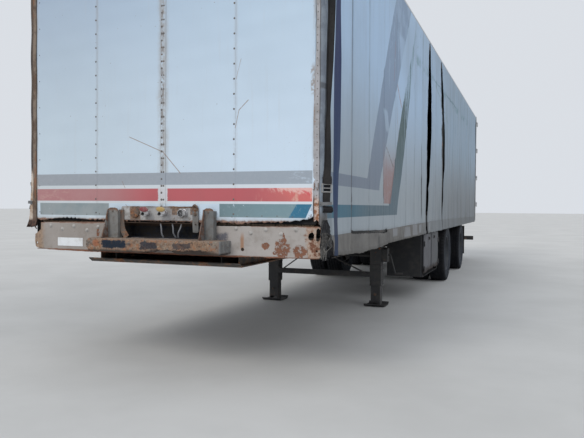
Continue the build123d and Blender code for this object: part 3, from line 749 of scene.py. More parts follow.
def plate_material():
    g = G("marker_plate_white")
    a, f = g.noise(14, 6, 0.65), g.noise(120, 4, 0.6)
    col = g.mix(g.step(a, 0.45, 0.7) * 0.5, (0.70, 0.72, 0.74), (0.45, 0.44, 0.42))
    col = g.mix(g.step(f, 0.62, 0.72) * 0.6, col, (0.2, 0.17, 0.14))
    return g.done(col, g.clamp(a * 0.3 + 0.3), normal=g.bump(a + f * 0.3, 0.0015, 0.6))


M["plate"] = plate_material()

CAD_FINISH = {
    "air_coupling_red": "red", "air_coupling_yellow": "yellow", "air_tank": "frame",
    "axle_front": "rail", "axle_rear": "rail", "brake_chambers": "frame",
    "cant_rails": "cant", "chassis_rail_left": "rail", "chassis_rail_right": "rail",
    "coupling_beam": "beam", "coupling_panel": "cream", "coupling_uprights": "cream",
    "curtain_left": "door", "curtain_right": "door", "curtain_tensioners": "galv",
    "door_gear_left": "grey", "door_gear_right": "grey", "electric_socket": "cast",
    "floor_crossmembers": "frame", "front_crossmember": "cream", "front_posts": "grey",
    "front_wall": "door", "kingpin": "pin", "landing_bracing": "leg", "landing_drive": "frame",
    "landing_feet": "leg", "landing_legs": "leg", "leaf_springs": "spring", "load_floor": "wood",
    "locker": "locker", "locker_door_front": "locker_door", "locker_door_rear": "locker_door",
    "marker_plate": "plate", "mudflaps": "flap", "post_hinges": "galv", "rear_door_left": "rear_door",
    "rear_door_right": "rear_door", "rear_frame": "grey", "rear_lamps": "lamp_black", "roof_panel": "roof",
    # side_posts take the near-black frame paint as painted shade, so the posts seen through the slits stay as dark as
    # the inside
    "rubbing_plate": "spring", "service_hoses": "hose", "side_posts": "frame", "side_rails": "frame",
    "underrun_bar": "frame",
}
EDGE = {"kingpin": 0, "service_hoses": 0, "load_floor": 0, "air_tank": 0, "axle_front": 0.0015, "axle_rear": 0.0015,
        "locker": 0.0015, "rear_door_left": 0.003, "rear_door_right": 0.003, "landing_legs": 0.006,
        "coupling_beam": 0.006, "coupling_uprights": 0.003, "coupling_panel": 0.002, "chassis_rail_left": 0.003,
        "chassis_rail_right": 0.003, "floor_crossmembers": 0.002, "underrun_bar": 0.006}


def shade_faces(me):
    """Flat planes, smooth curved faces and sharp corners."""
    co = np.empty(len(me.vertices) * 3)
    me.vertices.foreach_get("co", co)
    ids = np.unique(np.round(co.reshape(-1, 3) / 2e-5).astype(np.int64), axis=0, return_inverse=True)[1].ravel()
    vi = np.empty(len(me.loops), np.int64)
    me.loops.foreach_get("vertex_index", vi)
    n = len(me.polygons)
    if len(vi) != 3 * n:
        return
    tri = ids[vi.reshape(-1, 3)]
    nor = np.empty(n * 3)
    me.polygons.foreach_get("normal", nor)
    nor = nor.reshape(-1, 3)
    big = int(ids.max()) + 1
    a, b = tri.ravel(), np.roll(tri, -1, axis=1).ravel()
    key = np.minimum(a, b) * big + np.maximum(a, b)
    face = np.repeat(np.arange(n), 3)
    order = np.argsort(key, kind="stable")
    k, f = key[order], face[order]
    same = k[1:] == k[:-1]
    f0, f1, kk = f[:-1][same], f[1:][same], k[:-1][same]
    ang = np.degrees(np.arccos(np.clip(np.einsum("ij,ij->i", nor[f0], nor[f1]), -1, 1)))
    curved = (ang > 0.4) & (ang < 33)
    smooth = np.zeros(n, bool)
    smooth[f0[curved]] = True
    smooth[f1[curved]] = True
    me.polygons.foreach_set("use_smooth", smooth)
    ev = np.empty(len(me.edges) * 2, np.int64)
    me.edges.foreach_get("vertices", ev)
    ev = ids[ev].reshape(-1, 2)
    ek = ev.min(1) * big + ev.max(1)
    me.edges.foreach_set("use_edge_sharp", np.isin(ek, kk[ang > 33]))


def finish_cad():
    for n, o in NODES.items():
        if n.startswith("twin_tyres"):
            mat = M["tyre"]
        elif n.startswith("wheel_hub"):
            mat = M["wheel"]
        else:
            mat = M[CAD_FINISH[n]]
        o.data.materials.clear()
        o.data.materials.append(mat)
        shade_faces(o.data)
        w = EDGE.get(n, 0.002)
        if n.startswith(("twin_tyres", "wheel_hub")):
            w = 0
        if o.hide_render or not w:
            continue
        wd = o.modifiers.new("weld", "WELD")
        wd.merge_threshold = 1e-5
        bv = o.modifiers.new("edges", "BEVEL")
        bv.width, bv.segments, bv.limit_method = w, 2, "ANGLE"
        bv.angle_limit = math.radians(38)
        bv.harden_normals = False
        bv.use_clamp_overlap = True

# ------------------------------------------------------------------ paint of the front wall
def front_paint():
    g = G("front_wall_paint")
    x, z = g.x, g.z
    cloud = g.noise(0.9, 6, 0.6, off=(3, 1, 2))
    mott = g.noise(5.0, 6, 0.62, off=(1, 0, 7))
    fine = g.noise(42, 6, 0.7)
    grain = g.noise(230, 3, 0.6)
    runs = g.noise(1.0, 6, 0.62, stretch=(30, 30, 1.5), off=(2, 0, 0))
    # painted light: the sheet is drawn darker and bluer towards its top and towards x negative, and paler low down
    # towards x positive, as the light falls across it
    up = g.step(z, 1.5, 3.5)
    side = g.step(x, -1.2, 1.1)
    col = g.mix(up, (0.525, 0.615, 0.690), (0.308, 0.395, 0.520))
    col = g.mix(side * 0.75, col, g.mix(up, (0.585, 0.705, 0.835), (0.435, 0.575, 0.715)))
    col = g.mix(g.step(cloud, 0.40, 0.72) * 0.22, col, (0.42, 0.50, 0.57))
    col = g.mix(g.step(runs, 0.54, 0.80) * 0.20, col, (0.46, 0.47, 0.47))
    # grey film that gathers beside the seams, widest at the middle seam
    for sx, w, a in ((0.0, 0.060, 0.62), (-0.594, 0.022, 0.24), (0.598, 0.022, 0.24)):
        d = g.ab(x - sx)
        col = g.mix(g.step(d + (mott - 0.5) * w, w, w * 0.15) * a * g.step(fine * 0.5 + runs * 0.5, 0.34, 0.58), col, (0.33, 0.30, 0.27))
    for sx, a in ((-0.594, 0.18), (0.598, 0.18), (0.026, 0.35), (-0.018, 0.35)):
        col = g.mix(g.step(g.ab(x - sx), 0.0035, 0.0012) * a, col, (0.20, 0.19, 0.18))
    core = g.step(g.ab(x + 0.002), 0.020, 0.008) * g.step(g.noise(30, 6, 0.72, stretch=(1, 1, 0.5)), 0.42, 0.60)
    col = g.mix(core * g.step(z, 1.45, 1.62) * 0.75, col, (0.17, 0.135, 0.11))
    # stripes, on a warmer strip of cleaner paint; like the sheet, they are painted paler towards x positive as painted
    # light
    col = g.mix(g.band(z, 1.283, 1.421, 0.002) * 0.65, col, g.mix(side, (0.56, 0.575, 0.58), (0.66, 0.68, 0.70)))
    nick = g.step(fine * 0.55 + mott * 0.45, 0.60, 0.66)
    inside = g.step(x, -1.188, -1.182) * g.step(x, 1.178, 1.172)
    grey = g.band(z, 1.421, 1.511, 0.0016) * inside
    # painted light: the grey stripe too is drawn paler and bluer towards x positive
    gcol = g.mix(side, (0.30, 0.325, 0.36), (0.31, 0.355, 0.41))
    gcol = g.mix(g.step(fine, 0.4, 0.7) * 0.2, gcol, (0.40, 0.42, 0.46))
    scuff = g.step(x, 0.93, 1.15) * g.step(g.noise(13, 6, 0.7, stretch=(1, 1, 2.2)), 0.53, 0.62)
    col = g.mix(grey * g.inv(scuff * 0.45) * g.inv(nick * 0.35), col, gcol)
    red = g.band(z, 1.301, 1.394, 0.0016) * inside
    seam_off = g.step(g.ab(x - 0.002 + (fine - 0.5) * 0.02), 0.046, 0.036)
    rcol = g.mix(g.step(x, -0.55, -0.05), (0.40, 0.20, 0.205), (0.455, 0.108, 0.122))
    rcol = g.mix(g.step(x, 0.70, 1.1), rcol, (0.58, 0.16, 0.15))
    rcol = g.mix(g.step(mott, 0.35, 0.7) * 0.25, rcol, shade((0.40, 0.13, 0.14), 0.9))
    leftw = g.step(x, -0.62, -1.05) * g.step(g.noise(22, 7, 0.72, stretch=(0.7, 1, 1.9)), 0.50, 0.62)
    rcol = g.mix(leftw * 0.45, rcol, (0.50, 0.33, 0.29))
    diag = x + (z - 1.35) * 1.6
    rightw = g.step(diag, 0.78, 1.16) * 0.30 + g.noise(17, 7, 0.72, stretch=(1, 1, 0.6)) * 0.85
    rcol = g.mix(g.step(diag, 0.90, 1.05) * 0.6, rcol, (0.62, 0.145, 0.135))
    streak = g.noise(1.0, 7, 0.72, stretch=(34, 1, 15), off=(2, 1, 6), at=g.join(x * 0.78 + z * 0.63, 0.0, z * 0.78 - x * 0.63))
    pale = g.step(streak * 0.75 + g.step(z, 1.318, 1.392) * 0.17 + g.step(diag, 0.9, 1.2) * 0.05, 0.485, 0.585)
    rcol = g.mix(g.step(diag, 0.80, 1.05) * pale * 0.80, rcol, (0.74, 0.49, 0.45))
    rcol = g.mix(g.band(diag, 1.140, 1.165, 0.004) * g.step(z, 1.385, 1.37) * 0.8, rcol, (0.60, 0.10, 0.11))
    rcol = g.mix(g.step(x, 0.6, 1.1) * g.step(g.noise(1.0, 6, 0.7, stretch=(26, 26, 9), off=(3, 3, 1)), 0.56, 0.66) * 0.55, rcol, (0.68, 0.47, 0.38))
    col = g.mix(red * g.inv(seam_off * 0.9) * g.inv(nick * 0.3), col, rcol)
    tb = g.band(z, 1.188, 1.283, 0.0018)
    tl = tb * g.step(x, -1.16, -1.152) * g.step(x, -0.478, -0.486)
    tr = tb * g.step(x, 0.470, 0.476) * g.step(x - (z - 1.204) * 0.486 + (fine - 0.5) * 0.008, 1.138, 1.132)
    tcl = g.mix(g.step(mott, 0.35, 0.68), (0.22, 0.27, 0.29), (0.28, 0.31, 0.32))
    tcr = g.mix(g.step(x, 0.50, 0.9), (0.16, 0.235, 0.26), (0.18, 0.275, 0.31))
    blue = g.step(x - (z - 1.19) * 0.62, 1.003, 1.011)
    tcr = g.mix(blue, tcr, (0.034, 0.158, 0.262))
    tcr = g.mix(g.step(fine, 0.55, 0.7) * 0.35, tcr, (0.30, 0.38, 0.42))
    peel = g.step(x, 0.50, 0.56) * g.step(x, 0.72, 0.66) * g.step(g.noise(26, 6, 0.7), 0.58, 0.62) * g.step(z, 1.25, 1.275)
    col = g.mix(tl * g.inv(nick * 0.3), col, tcl)
    col = g.mix(tr * g.inv(nick * 0.3) * g.inv(peel), col, tcr)
    # dirt and rust creeping up from the torn lower edge
    low = g.step(z + (mott - 0.5) * 0.05, 1.205, 1.160)
    col = g.mix(low * 0.55, col, (0.34, 0.31, 0.28))
    rusty = g.step(z + (fine - 0.5) * 0.03 + (mott - 0.5) * 0.03, 1.172, 1.158)
    col = g.mix(rusty * 0.85, col, rust_colour(g, 2.0))
    corner = g.step(x, 1.135, 1.17) * g.step(z, 1.30, 1.20) * g.step(fine + mott, 0.9, 1.1)
    col = g.mix(corner * 0.8, col, rust_colour(g, 5.0))
    edge_dirt = g.step(g.ab(x), 1.165, 1.19) * g.step(g.noise(14, 6, 0.7, stretch=(1, 1, 0.4)), 0.42, 0.62)
    col = g.mix(edge_dirt * 0.55, col, (0.27, 0.22, 0.18))
    # scratches: brown lines, one bent, with a few short ones
    lines = (((-0.298, 1.785), (0.003, 1.664), 0.0045), ((0.003, 1.664), (0.149, 1.507), 0.0050),
             ((0.695, 2.009), (0.625, 1.943), 0.0045), ((0.625, 1.943), (0.595, 1.818), 0.0035),
             ((0.64, 2.30), (0.60, 2.16), 0.0022), ((-0.36, 1.45), (-0.335, 1.40), 0.003),
             ((-0.33, 1.275), (-0.30, 1.25), 0.003))
    patch = g.step(g.ab(x - 1.174 + (mott - 0.5) * 0.02), 0.020, 0.008) * g.band(z + (mott - 0.5) * 0.1, 2.02, 2.22, 0.03) * g.step(fine, 0.42, 0.56)
    col = g.mix(patch * 0.75, col, (0.24, 0.17, 0.12))
    for a, b, w in lines:
        ln = g.line(a, b, w, x + (fine - 0.5) * 0.008, z)
        col = g.mix(ln * g.step(fine, 0.30, 0.45) * 0.75, col, (0.25, 0.17, 0.12))
    specks = g.cells(17, off=(1, 0, 2))
    col = g.mix(g.step(specks, 0.060, 0.040) * g.step(mott, 0.48, 0.6) * 0.85, col, (0.20, 0.15, 0.12))
    specks = g.cells(60, off=(5, 0, 1))
    near = g.step(x, 0.75, 1.05) * g.step(z, 2.35, 1.75) * g.step(z, 1.45, 1.55) + 0.15
    col = g.mix(g.step(specks, 0.10, 0.06) * g.step(mott, 0.47, 0.56) * g.clamp(near), col, (0.24, 0.22, 0.21))
    h = grain * 0.25 + nick * -0.3 + fine * 0.2
    return g.done(col, g.clamp(0.34 + fine * 0.2 + low * 0.2), normal=g.bump(h, 0.0008, 0.7), spec=0.35)


M["front"] = front_paint()
M["rivet"] = steel("rivet_steel", (0.13, 0.12, 0.115), rust=0.5, dirt=0.5, seed=13.0, rough=0.55)
# painted shade: a near-black finish for pieces put into gaps and openings where only shade shows
M["void"] = steel("painted_gap_shade", (0.005, 0.006, 0.009), rust=0.1, dirt=0.2, seed=19.0, rough=0.9, chips=0)
M["ply"] = steel("inner_ply", (0.36, 0.27, 0.18), rust=0.0, dirt=0.5, seed=14.0, rough=0.75, scale=0.6, chips=0)

SEAMS = (-0.594, 0.004, 0.598)
BOTTOM = ((-1.20, 1.160), (-1.157, 1.144), (-1.055, 1.153), (-0.954, 1.159), (-0.806, 1.165), (-0.66, 1.155),
          (-0.499, 1.150), (0.0, 1.150), (0.479, 1.148), (0.638, 1.143), (0.882, 1.156), (1.016, 1.165),
          (1.089, 1.169), (1.137, 1.177), (1.167, 1.187), (1.2, 1.200))


def wall_y(x, z):
    """How the sheets of the front wall dish in and out, and their laps."""
    x, z = np.broadcast_arrays(np.asarray(x, float), np.asarray(z, float))
    dist = np.min([np.abs(x - s) for s in (-1.195, *SEAMS, 1.195)], axis=0)
    env = smooth01(dist, 0.0, 0.22) * smooth01(1.16 - np.abs(x), 0.0, 0.15)
    y = 0.0015 + 0.0032 * env * waves(11, 5, 1.1, x, z) + 0.0008 * waves(12, 6, 0.25, x, z)
    y += 0.004 * smooth01(-z, -1.34, -1.16) * waves(13, 6, 0.22, x)      # the bent foot of the sheets
    lap = np.where(x < SEAMS[0], 0.0, np.where(x < SEAMS[1], -0.0014, np.where(x < SEAMS[2], -0.0014, 0.0)))
    return np.where(np.abs(x) > 1.155, 0.0012, y) + lap


def front_skin():
    xs = [-1.195]
    edges = [-1.195, SEAMS[0] - 0.0006, SEAMS[0] + 0.0006, SEAMS[2] - 0.0006, SEAMS[2] + 0.0006, 1.195]
    for a, b in zip(edges, edges[1:]):
        n = max(1, int(round((b - a) / 0.014)))
        xs += list(np.linspace(a, b, n + 1)[1:])
    xs = np.array(xs)
    zb = np.interp(xs, *zip(*BOTTOM))
    r = np.random.default_rng(5)
    jag = r.uniform(-1, 1, len(xs))
    zb = zb + 0.004 * jag + 0.004 * waves(21, 6, 0.05, xs) + 0.004 * np.maximum(0, waves(22, 4, 0.35, xs)) * (np.abs(xs) > 0.5)
    low = np.linspace(0, 1, 14)
    high = np.linspace(1.30, 3.47, 120)
    cols = []
    for i, x in enumerate(xs):
        z = np.concatenate([zb[i] + (1.30 - zb[i]) * low, high[1:]])
        cols.append(z)
    Z = np.array(cols)
    X = np.repeat(xs[:, None], Z.shape[1], 1)
    Y = wall_y(X, Z)
    # the foot curls outwards a little where it has come loose
    Y = Y - 0.006 * np.exp(-((Z - zb[:, None]) / 0.020) ** 2) * np.clip(waves(23, 5, 0.3, X), 0, 1)
    s = Shape()
    nv = Z.shape[1]
    V0 = np.stack([X, Y, Z], -1).reshape(-1, 3)
    s.add(V0, grid_faces(len(xs), nv))
    o = s.make("front_wall_sheets", [M["front"]], slot="white_panel", replaces=("front_wall",), sharp=50)
    so = o.modifiers.new("sheet", "SOLIDIFY")
    so.thickness, so.offset = 0.0025, -1.0
    return o


front_skin()

wall = Shape()
wall.add(*cbox((-1.195, 0.012, 1.20), (1.195, 0.040, 3.47), 0.002), 0)
wall.add(*cbox((-0.018, wall_y(-0.018, 2.0) - 0.0016, 1.165), (0.026, 0.006, 3.468), 0.0008), 1)
# painted shade: a black band behind the torn foot of the sheets, for the gap below them
wall.add(*cbox((-1.195, 0.028, 1.143), (1.195, 0.045, 1.20), 0.003), 2)
wall.make("front_wall_liner_and_strip", [M["ply"], M["front"], M["void"]], slot="white_panel")

# rivets: (x, pitch)
riv = Shape()
for sx, pitch, r in ((-0.008, 0.051, 0.0085), (0.009, 0.102, 0.0075), (-0.606, 0.106, 0.0070), (0.586, 0.106, 0.0075),
                     (-1.160, 0.21, 0.004)):
    zz = np.arange(1.21, 3.45, pitch)
    pts = [(sx, float(wall_y(sx, z)) - (0.0016 if abs(sx) < 0.05 else 0.0), z) for z in zz]
    domes(riv, pts, (0, -1, 0), r, 0.0028, 0, 10)
pts = [(x, float(wall_y(x, 1.195)), 1.195 + 0.006 * math.sin(9 * x)) for x in np.arange(-1.15, 1.16, 0.115) if abs(x) > 0.47]
domes(riv, pts, (0, -1, 0), 0.0045, 0.002, 0, 8)
riv.make("front_wall_rivets", [M["rivet"]], slot="white_panel")

head = Shape()
sec = [(-0.003, 3.462), (0.0, 3.512), (0.006, 3.524), (0.016, 3.530), (0.060, 3.530), (0.060, 3.505), (0.008, 3.505), (0.008, 3.462)]
n = len(sec)
for x0, x1 in ((-1.195, -0.002), (0.002, 1.195)):
    vs = [(x, y, z) for x in (x0, x1) for y, z in sec]
    head.add(vs, [[i, (i + 1) % n, n + (i + 1) % n, n + i] for i in range(n)] + [list(range(n)), list(range(n, 2 * n))])
domes(head, [(x, -0.0025, 3.487) for x in np.arange(-1.17, 1.18, 0.09)], (0, -1, 0), 0.0045, 0.002, 1)
head.make("head_rail", [M["alu"], M["rivet"]], slot="aluminium", sharp=30)

# ------------------------------------------------------------------ flat sheets with cut outlines
def inside(poly, pts):
    poly = np.asarray(poly, float)
    x, y = pts[:, 0], pts[:, 1]
    res = np.zeros(len(pts), bool)
    j = len(poly) - 1
    for i in range(len(poly)):
        xi, yi, xj, yj = poly[i][0], poly[i][1], poly[j][0], poly[j][1]
        if yi != yj:
            c = ((yi > y) != (yj > y)) & (x < (xj - xi) * (y - yi) / (yj - yi) + xi)
            res ^= c
        j = i
    return res


def dense(poly, pitch, rag=0.0, seed=1):
    poly = np.asarray(poly, float)
    out = []
    r = np.random.default_rng(seed)
    for a, b in zip(poly, np.roll(poly, -1, 0)):
        n = max(1, int(math.ceil(np.linalg.norm(b - a) / pitch)))
        for k in range(n):
            p = a + (b - a) * k / n
            if rag:
                p = p + r.uniform(-1, 1, 2) * rag
            out.append(p)
    return np.array(out)


def cut_sheet(outline, holes=(), pitch=0.02, edge=None, rag=0.0, seed=1):
    """Triangles over an outline with holes: points (n, 2) and faces."""
    edge = edge or pitch
    loops = [dense(outline, edge, rag, seed)] + [dense(h, min(edge, 0.006), rag, seed + 3 + i) for i, h in enumerate(holes)]
    lo, hi = loops[0].min(0), loops[0].max(0)
    gx, gy = np.meshgrid(np.arange(lo[0], hi[0], pitch), np.arange(lo[1], hi[1], pitch), indexing="ij")
    r = np.random.default_rng(seed)
    g = np.stack([gx.ravel(), gy.ravel()], -1)
    g += r.uniform(-0.22, 0.22, g.shape) * pitch
    keep = inside(loops[0], g)
    for h in loops[1:]:
        keep &= ~inside(h, g)
    g = g[keep]
    b = np.concatenate(loops)
    if len(g):
        d = np.full(len(g), 1e9)
        for p in b:
            d = np.minimum(d, (g[:, 0] - p[0]) ** 2 + (g[:, 1] - p[1]) ** 2)
        g = g[d > (0.42 * min(pitch, edge)) ** 2]
    edges, n = [], 0
    for lp in loops:
        edges += [(n + i, n + (i + 1) % len(lp)) for i in range(len(lp))]
        n += len(lp)
    pts = [Vector((float(p[0]), float(p[1]))) for p in np.concatenate([b, g])]
    vs, _, fs, *_ = mathutils.geometry.delaunay_2d_cdt(pts, edges, [], 0, 1e-7)
    vs = np.array([(v[0], v[1]) for v in vs])
    fs = np.array([f for f in fs if len(f) == 3])
    c = vs[fs].mean(1)
    keep = inside(loops[0], c)
    for h in loops[1:]:
        keep &= ~inside(h, c)
    return vs, fs[keep]


def slab(shape, uv, tris, front, back, mat=0):
    """A closed plate: front(u, v) and back(u, v) give its two faces in space."""
    f, b = np.asarray(front(uv[:, 0], uv[:, 1])), np.asarray(back(uv[:, 0], uv[:, 1]))
    n = len(uv)
    count = {}
    for t in tris:
        for i in range(3):
            e = (int(t[i]), int(t[(i + 1) % 3]))
            count[e] = 1
    faces = [tuple(int(v) for v in t) for t in tris] + [tuple(int(v) + n for v in t[::-1]) for t in tris]
    for a, c in list(count):
        if (c, a) not in count:
            faces.append((c, a, a + n, c + n))
    shape.add(np.concatenate([f, b]), faces, mat)


# ------------------------------------------------------------------ front crossmember
XM_TOP = ((-1.147, 1.128), (-0.954, 1.133), (-0.565, 1.138), (-0.361, 1.136))
XM_TOP_R = ((0.367, 1.130), (0.463, 1.124), (0.792, 1.127), (1.118, 1.132), (1.175, 1.131), (1.205, 1.135))
XM_BOT = ((1.236, 0.930), (1.222, 0.915), (1.146, 0.914), (1.1445, 0.985), (1.1425, 0.985), (1.142, 0.915), (1.09, 0.917),
          (1.0, 0.912), (0.854, 0.908), (0.808, 0.916), (0.56, 0.905), (0.2, 0.906), (-0.3, 0.905), (-0.699, 0.904),
          (-1.055, 0.909), (-1.189, 0.924))
XM_LEFT = ((-1.205, 0.935), (-1.214, 0.980), (-1.209, 1.030), (-1.175, 1.050), (-1.149, 1.070))
XM_TORN = ((1.150, 1.045), (1.147, 1.062), (1.152, 1.080), (1.166, 1.092), (1.180, 1.093), (1.190, 1.080), (1.189, 1.055),
           (1.182, 1.043), (1.165, 1.038))
XM_GAP = ((1.204, 1.038), (1.203, 1.075), (1.206, 1.112), (1.216, 1.122), (1.231, 1.110), (1.233, 1.070), (1.228, 1.040), (1.215, 1.030))


def ring2(c, r, n=14):
    return [(c[0] + r * math.cos(2 * math.pi * i / n), c[1] + r * math.sin(2 * math.pi * i / n)) for i in range(n)]


def xm_y(x, z):
    y = 0.0025 * waves(31, 6, 0.35, x, z) + 0.0007 * waves(32, 6, 0.07, x, z)
    y = y + 0.006 * np.exp(-(((x - 0.83) / 0.10) ** 2 + ((z - 0.985) / 0.05) ** 2))     # a dent right of the middle
    y = y + 0.010 * np.clip((np.abs(x) - 1.14) / 0.09, 0, 1) ** 2
    flat = np.exp(-(((x + 0.851) / 0.16) ** 4 + ((z - 0.976) / 0.055) ** 4))
    return np.where(flat > 0.02, y * (1 - flat), y) - 0.0005 * (1 - flat)


def xm_paint():
    g = G("crossmember_paint")
    x, z = g.x, g.z
    big, mid = g.noise(1.6, 5, 0.6, off=(2, 3, 9)), g.noise(9, 7, 0.68, off=(5, 1, 2))
    spots, fine = g.noise(38, 6, 0.72, off=(1, 2, 3)), g.noise(170, 4, 0.65)
    col = g.mix(g.step(big, 0.35, 0.65), (0.275, 0.245, 0.222), (0.335, 0.305, 0.285))
    col = g.mix(g.step(x, 0.2, 0.7) * 0.6, col, (0.42, 0.395, 0.38))
    col = g.mix(g.step(mid, 0.46, 0.72) * 0.45, col, (0.20, 0.17, 0.145))
    col = g.mix(g.step(spots, 0.60, 0.68) * 0.5, col, (0.18, 0.14, 0.11))
    end = g.step(x + (mid - 0.5) * 0.10, -1.095, -1.150)
    col = g.mix(end * 0.8, col, g.mix(g.step(spots, 0.4, 0.6), (0.33, 0.22, 0.14), (0.20, 0.125, 0.08)))
    rust = g.step(z + (mid - 0.5) * 0.02 + (spots - 0.5) * 0.012, 0.922, 0.914)
    rust = g.mx(rust, g.step(z + (mid - 0.5) * 0.03, 1.121, 1.131) * 0.8)
    for cx, cz, rx, rz in ((0.832, 0.990, 0.026, 0.022), (0.966, 0.978, 0.052, 0.058), (1.085, 0.962, 0.050, 0.036),
                           (0.973, 1.030, 0.022, 0.020), (0.968, 1.062, 0.010, 0.022), (1.095, 0.93, 0.03, 0.02),
                           (0.905, 0.945, 0.016, 0.012), (-0.585, 1.06, 0.012, 0.03)):
        d = ((x - cx) / rx) * ((x - cx) / rx) + ((z - cz) / rz) * ((z - cz) / rz)
        rust = g.mx(rust, g.step(d + (mid - 0.5) * 3.4 + (spots - 0.5) * 3.6, 1.35, 0.75) * g.step(spots, 0.62, 0.50))
    run = g.step(g.ab(x - 0.656 + (fine - 0.5) * 0.008), 0.020, 0.005) * g.step(z, 0.955, 0.975) * g.step(z, 1.10, 1.03)
    rr = g.step(x + (mid - 0.5) * 0.08 + (spots - 0.5) * 0.05, 1.120, 1.150)
    col = g.mix(run * 0.75, col, (0.30, 0.14, 0.06))
    col = g.mix(rr * 0.75, col, g.mix(g.step(spots * 0.5 + mid * 0.5, 0.44, 0.56), (0.40, 0.32, 0.26), (0.30, 0.145, 0.075)))
    rust = g.mx(rust, rr * g.step(mid * 0.6 + spots * 0.4, 0.53, 0.57))
    halo = g.step(rust + mid * 0.35, 0.30, 0.62) * 0.5
    col = g.mix(halo * g.inv(rust), col, (0.36, 0.26, 0.19))
    col = g.mix(rust, col, g.mix(g.step(spots, 0.35, 0.65), (0.225, 0.105, 0.065), (0.14, 0.06, 0.038)))
    blue = g.step(g.ab(x - 0.47), 0.085, 0.06) * g.step(g.ab(z - 1.04 + (mid - 0.5) * 0.08), 0.045, 0.02)
    col = g.mix(blue * g.step(spots, 0.35, 0.5) * 0.85, col, (0.075, 0.080, 0.105))
    h = rust * -0.7 + spots * 0.6 + fine * 0.3
    return g.done(col, g.clamp(rust * 0.3 + 0.5 + fine * 0.15), normal=g.bump(h, 0.0025, 0.8), spec=0.3)


def beam_paint():
    g = G("beam_paint")
    x, y, z = g.x, g.y, g.z
    big, mid = g.noise(4, 6, 0.65, off=(2, 3, 9)), g.noise(16, 7, 0.7, off=(5, 1, 2))
    spots, fine = g.noise(55, 6, 0.72, off=(1, 2, 3)), g.noise(210, 4, 0.65)
    col = g.mix(g.step(big, 0.38, 0.62), (0.228, 0.156, 0.108), (0.198, 0.178, 0.156))
    col = g.mix(g.step(mid, 0.42, 0.60) * 0.65, col, (0.27, 0.145, 0.08))
    col = g.mix(g.step(spots, 0.48, 0.62) * 0.7, col, (0.075, 0.04, 0.028))
    col = g.mix(g.step(g.noise(30, 6, 0.7, off=(9, 9, 9)), 0.56, 0.64) * 0.7, col, (0.32, 0.27, 0.20))
    d = ((x + 0.475) / 0.04) * ((x + 0.475) / 0.04) + ((z - 0.985) / 0.035) * ((z - 0.985) / 0.035)
    col = g.mix(g.step(d + mid * 1.5, 1.7, 1.0) * 0.6, col, (0.33, 0.10, 0.04))
    rag = (mid - 0.5) * 0.085 + (spots - 0.5) * 0.055
    kept = None
    for x0, x1, z0, z1, a in ((-0.418, -0.212, 0.955, 1.011, 1.0), (-0.080, 0.058, 0.957, 1.008, 0.85),
                              (-0.20, -0.16, 0.965, 0.99, 0.6), (0.185, 0.325, 0.962, 1.000, 0.7)):
        m = g.band(x + rag * 1.3, x0, x1, 0.006) * g.band(z + rag * 0.75, z0, z1, 0.004) * g.step(y, -0.150, -0.156)
        kept = m * a if kept is None else g.mx(kept, m * a)
        col = g.mix(m * a * g.step(spots, 0.70, 0.62), col, g.mix(g.step(fine, 0.4, 0.7), (0.006, 0.013, 0.026), (0.015, 0.025, 0.042)))
    worn = g.step(g.noise(24, 7, 0.74, off=(3, 8, 4)), 0.52, 0.58) * g.step(y, -0.150, -0.156)
    col = g.mix(worn * 0.55 * g.inv(kept * 0.97), col, (0.300, 0.120, 0.052))
    col = g.mix(g.step(g.noise(38, 7, 0.75, off=(6, 2, 8)), 0.56, 0.60) * 0.65, col, (0.045, 0.030, 0.026))
    # painted shadow: near black just above the lower edge where the face has rusted away, right of the middle
    eroded_edge_shadow = g.step(z + (mid - 0.5) * 0.050 + (spots - 0.5) * 0.030, 0.957, 0.949) * g.band(x, 0.00, 0.50, 0.07)
    col = g.mix(eroded_edge_shadow * 0.92, col, (0.016, 0.013, 0.012))
    # painted highlight: the rounded top edge and the top face are drawn paler
    top = g.step(z, 1.0185, 1.0215)
    col = g.mix(top * 0.55, col, (0.26, 0.20, 0.16))
    endf = g.step(x + (mid - 0.5) * 0.02, 0.552, 0.561) + g.step(x + (mid - 0.5) * 0.10, 0.52, 0.56) * 0.4
    col = g.mix(g.clamp(endf) * g.step(spots, 0.66, 0.56), col, g.mix(g.step(mid, 0.4, 0.6), (0.20, 0.20, 0.195), (0.13, 0.13, 0.13)))
    under = g.step(z + (mid - 0.5) * 0.03 + (spots - 0.5) * 0.02, 0.948, 0.932)
    col = g.mix(under * 0.85, col, (0.035, 0.026, 0.022))
    return g.done(col, g.clamp(0.62 + fine * 0.2), normal=g.bump(spots * 0.9 + mid * 0.5 + fine * 0.3, 0.003, 0.9), spec=0.25)


def bracket_paint():
    """Grey paint of the uprights and the panel, worn to rust on edges and tops."""
    g = G("bracket_paint")
    x, y, z = g.x, g.y, g.z
    big, mid = g.noise(5, 6, 0.65, off=(7, 3, 9)), g.noise(18, 7, 0.7, off=(4, 1, 2))
    spots, fine = g.noise(60, 6, 0.72, off=(1, 8, 3)), g.noise(210, 4, 0.65)
    col = g.mix(g.step(big, 0.36, 0.64), (0.135, 0.140, 0.142), (0.20, 0.195, 0.185))
    col = g.mix(g.step(mid, 0.48, 0.62) * 0.5, col, (0.115, 0.095, 0.08))
    edge = g.mx(g.step(z + (mid - 0.5) * 0.03, 1.222, 1.238), g.step(spots * 0.5 + mid * 0.5, 0.585, 0.62))
    col = g.mix(edge * 0.85, col, g.mix(g.step(spots, 0.4, 0.6), (0.19, 0.095, 0.05), (0.085, 0.045, 0.03)))
    front = g.step(y, -0.053, -0.060)
    col = g.mix(front * g.step(mid, 0.36, 0.5) * 0.85, col, g.mix(g.step(spots, 0.4, 0.6), (0.16, 0.075, 0.04), (0.07, 0.036, 0.025)))
    return g.done(col, g.clamp(0.58 + fine * 0.2), normal=g.bump(spots * 0.8 + fine * 0.3, 0.002, 0.8), spec=0.3)


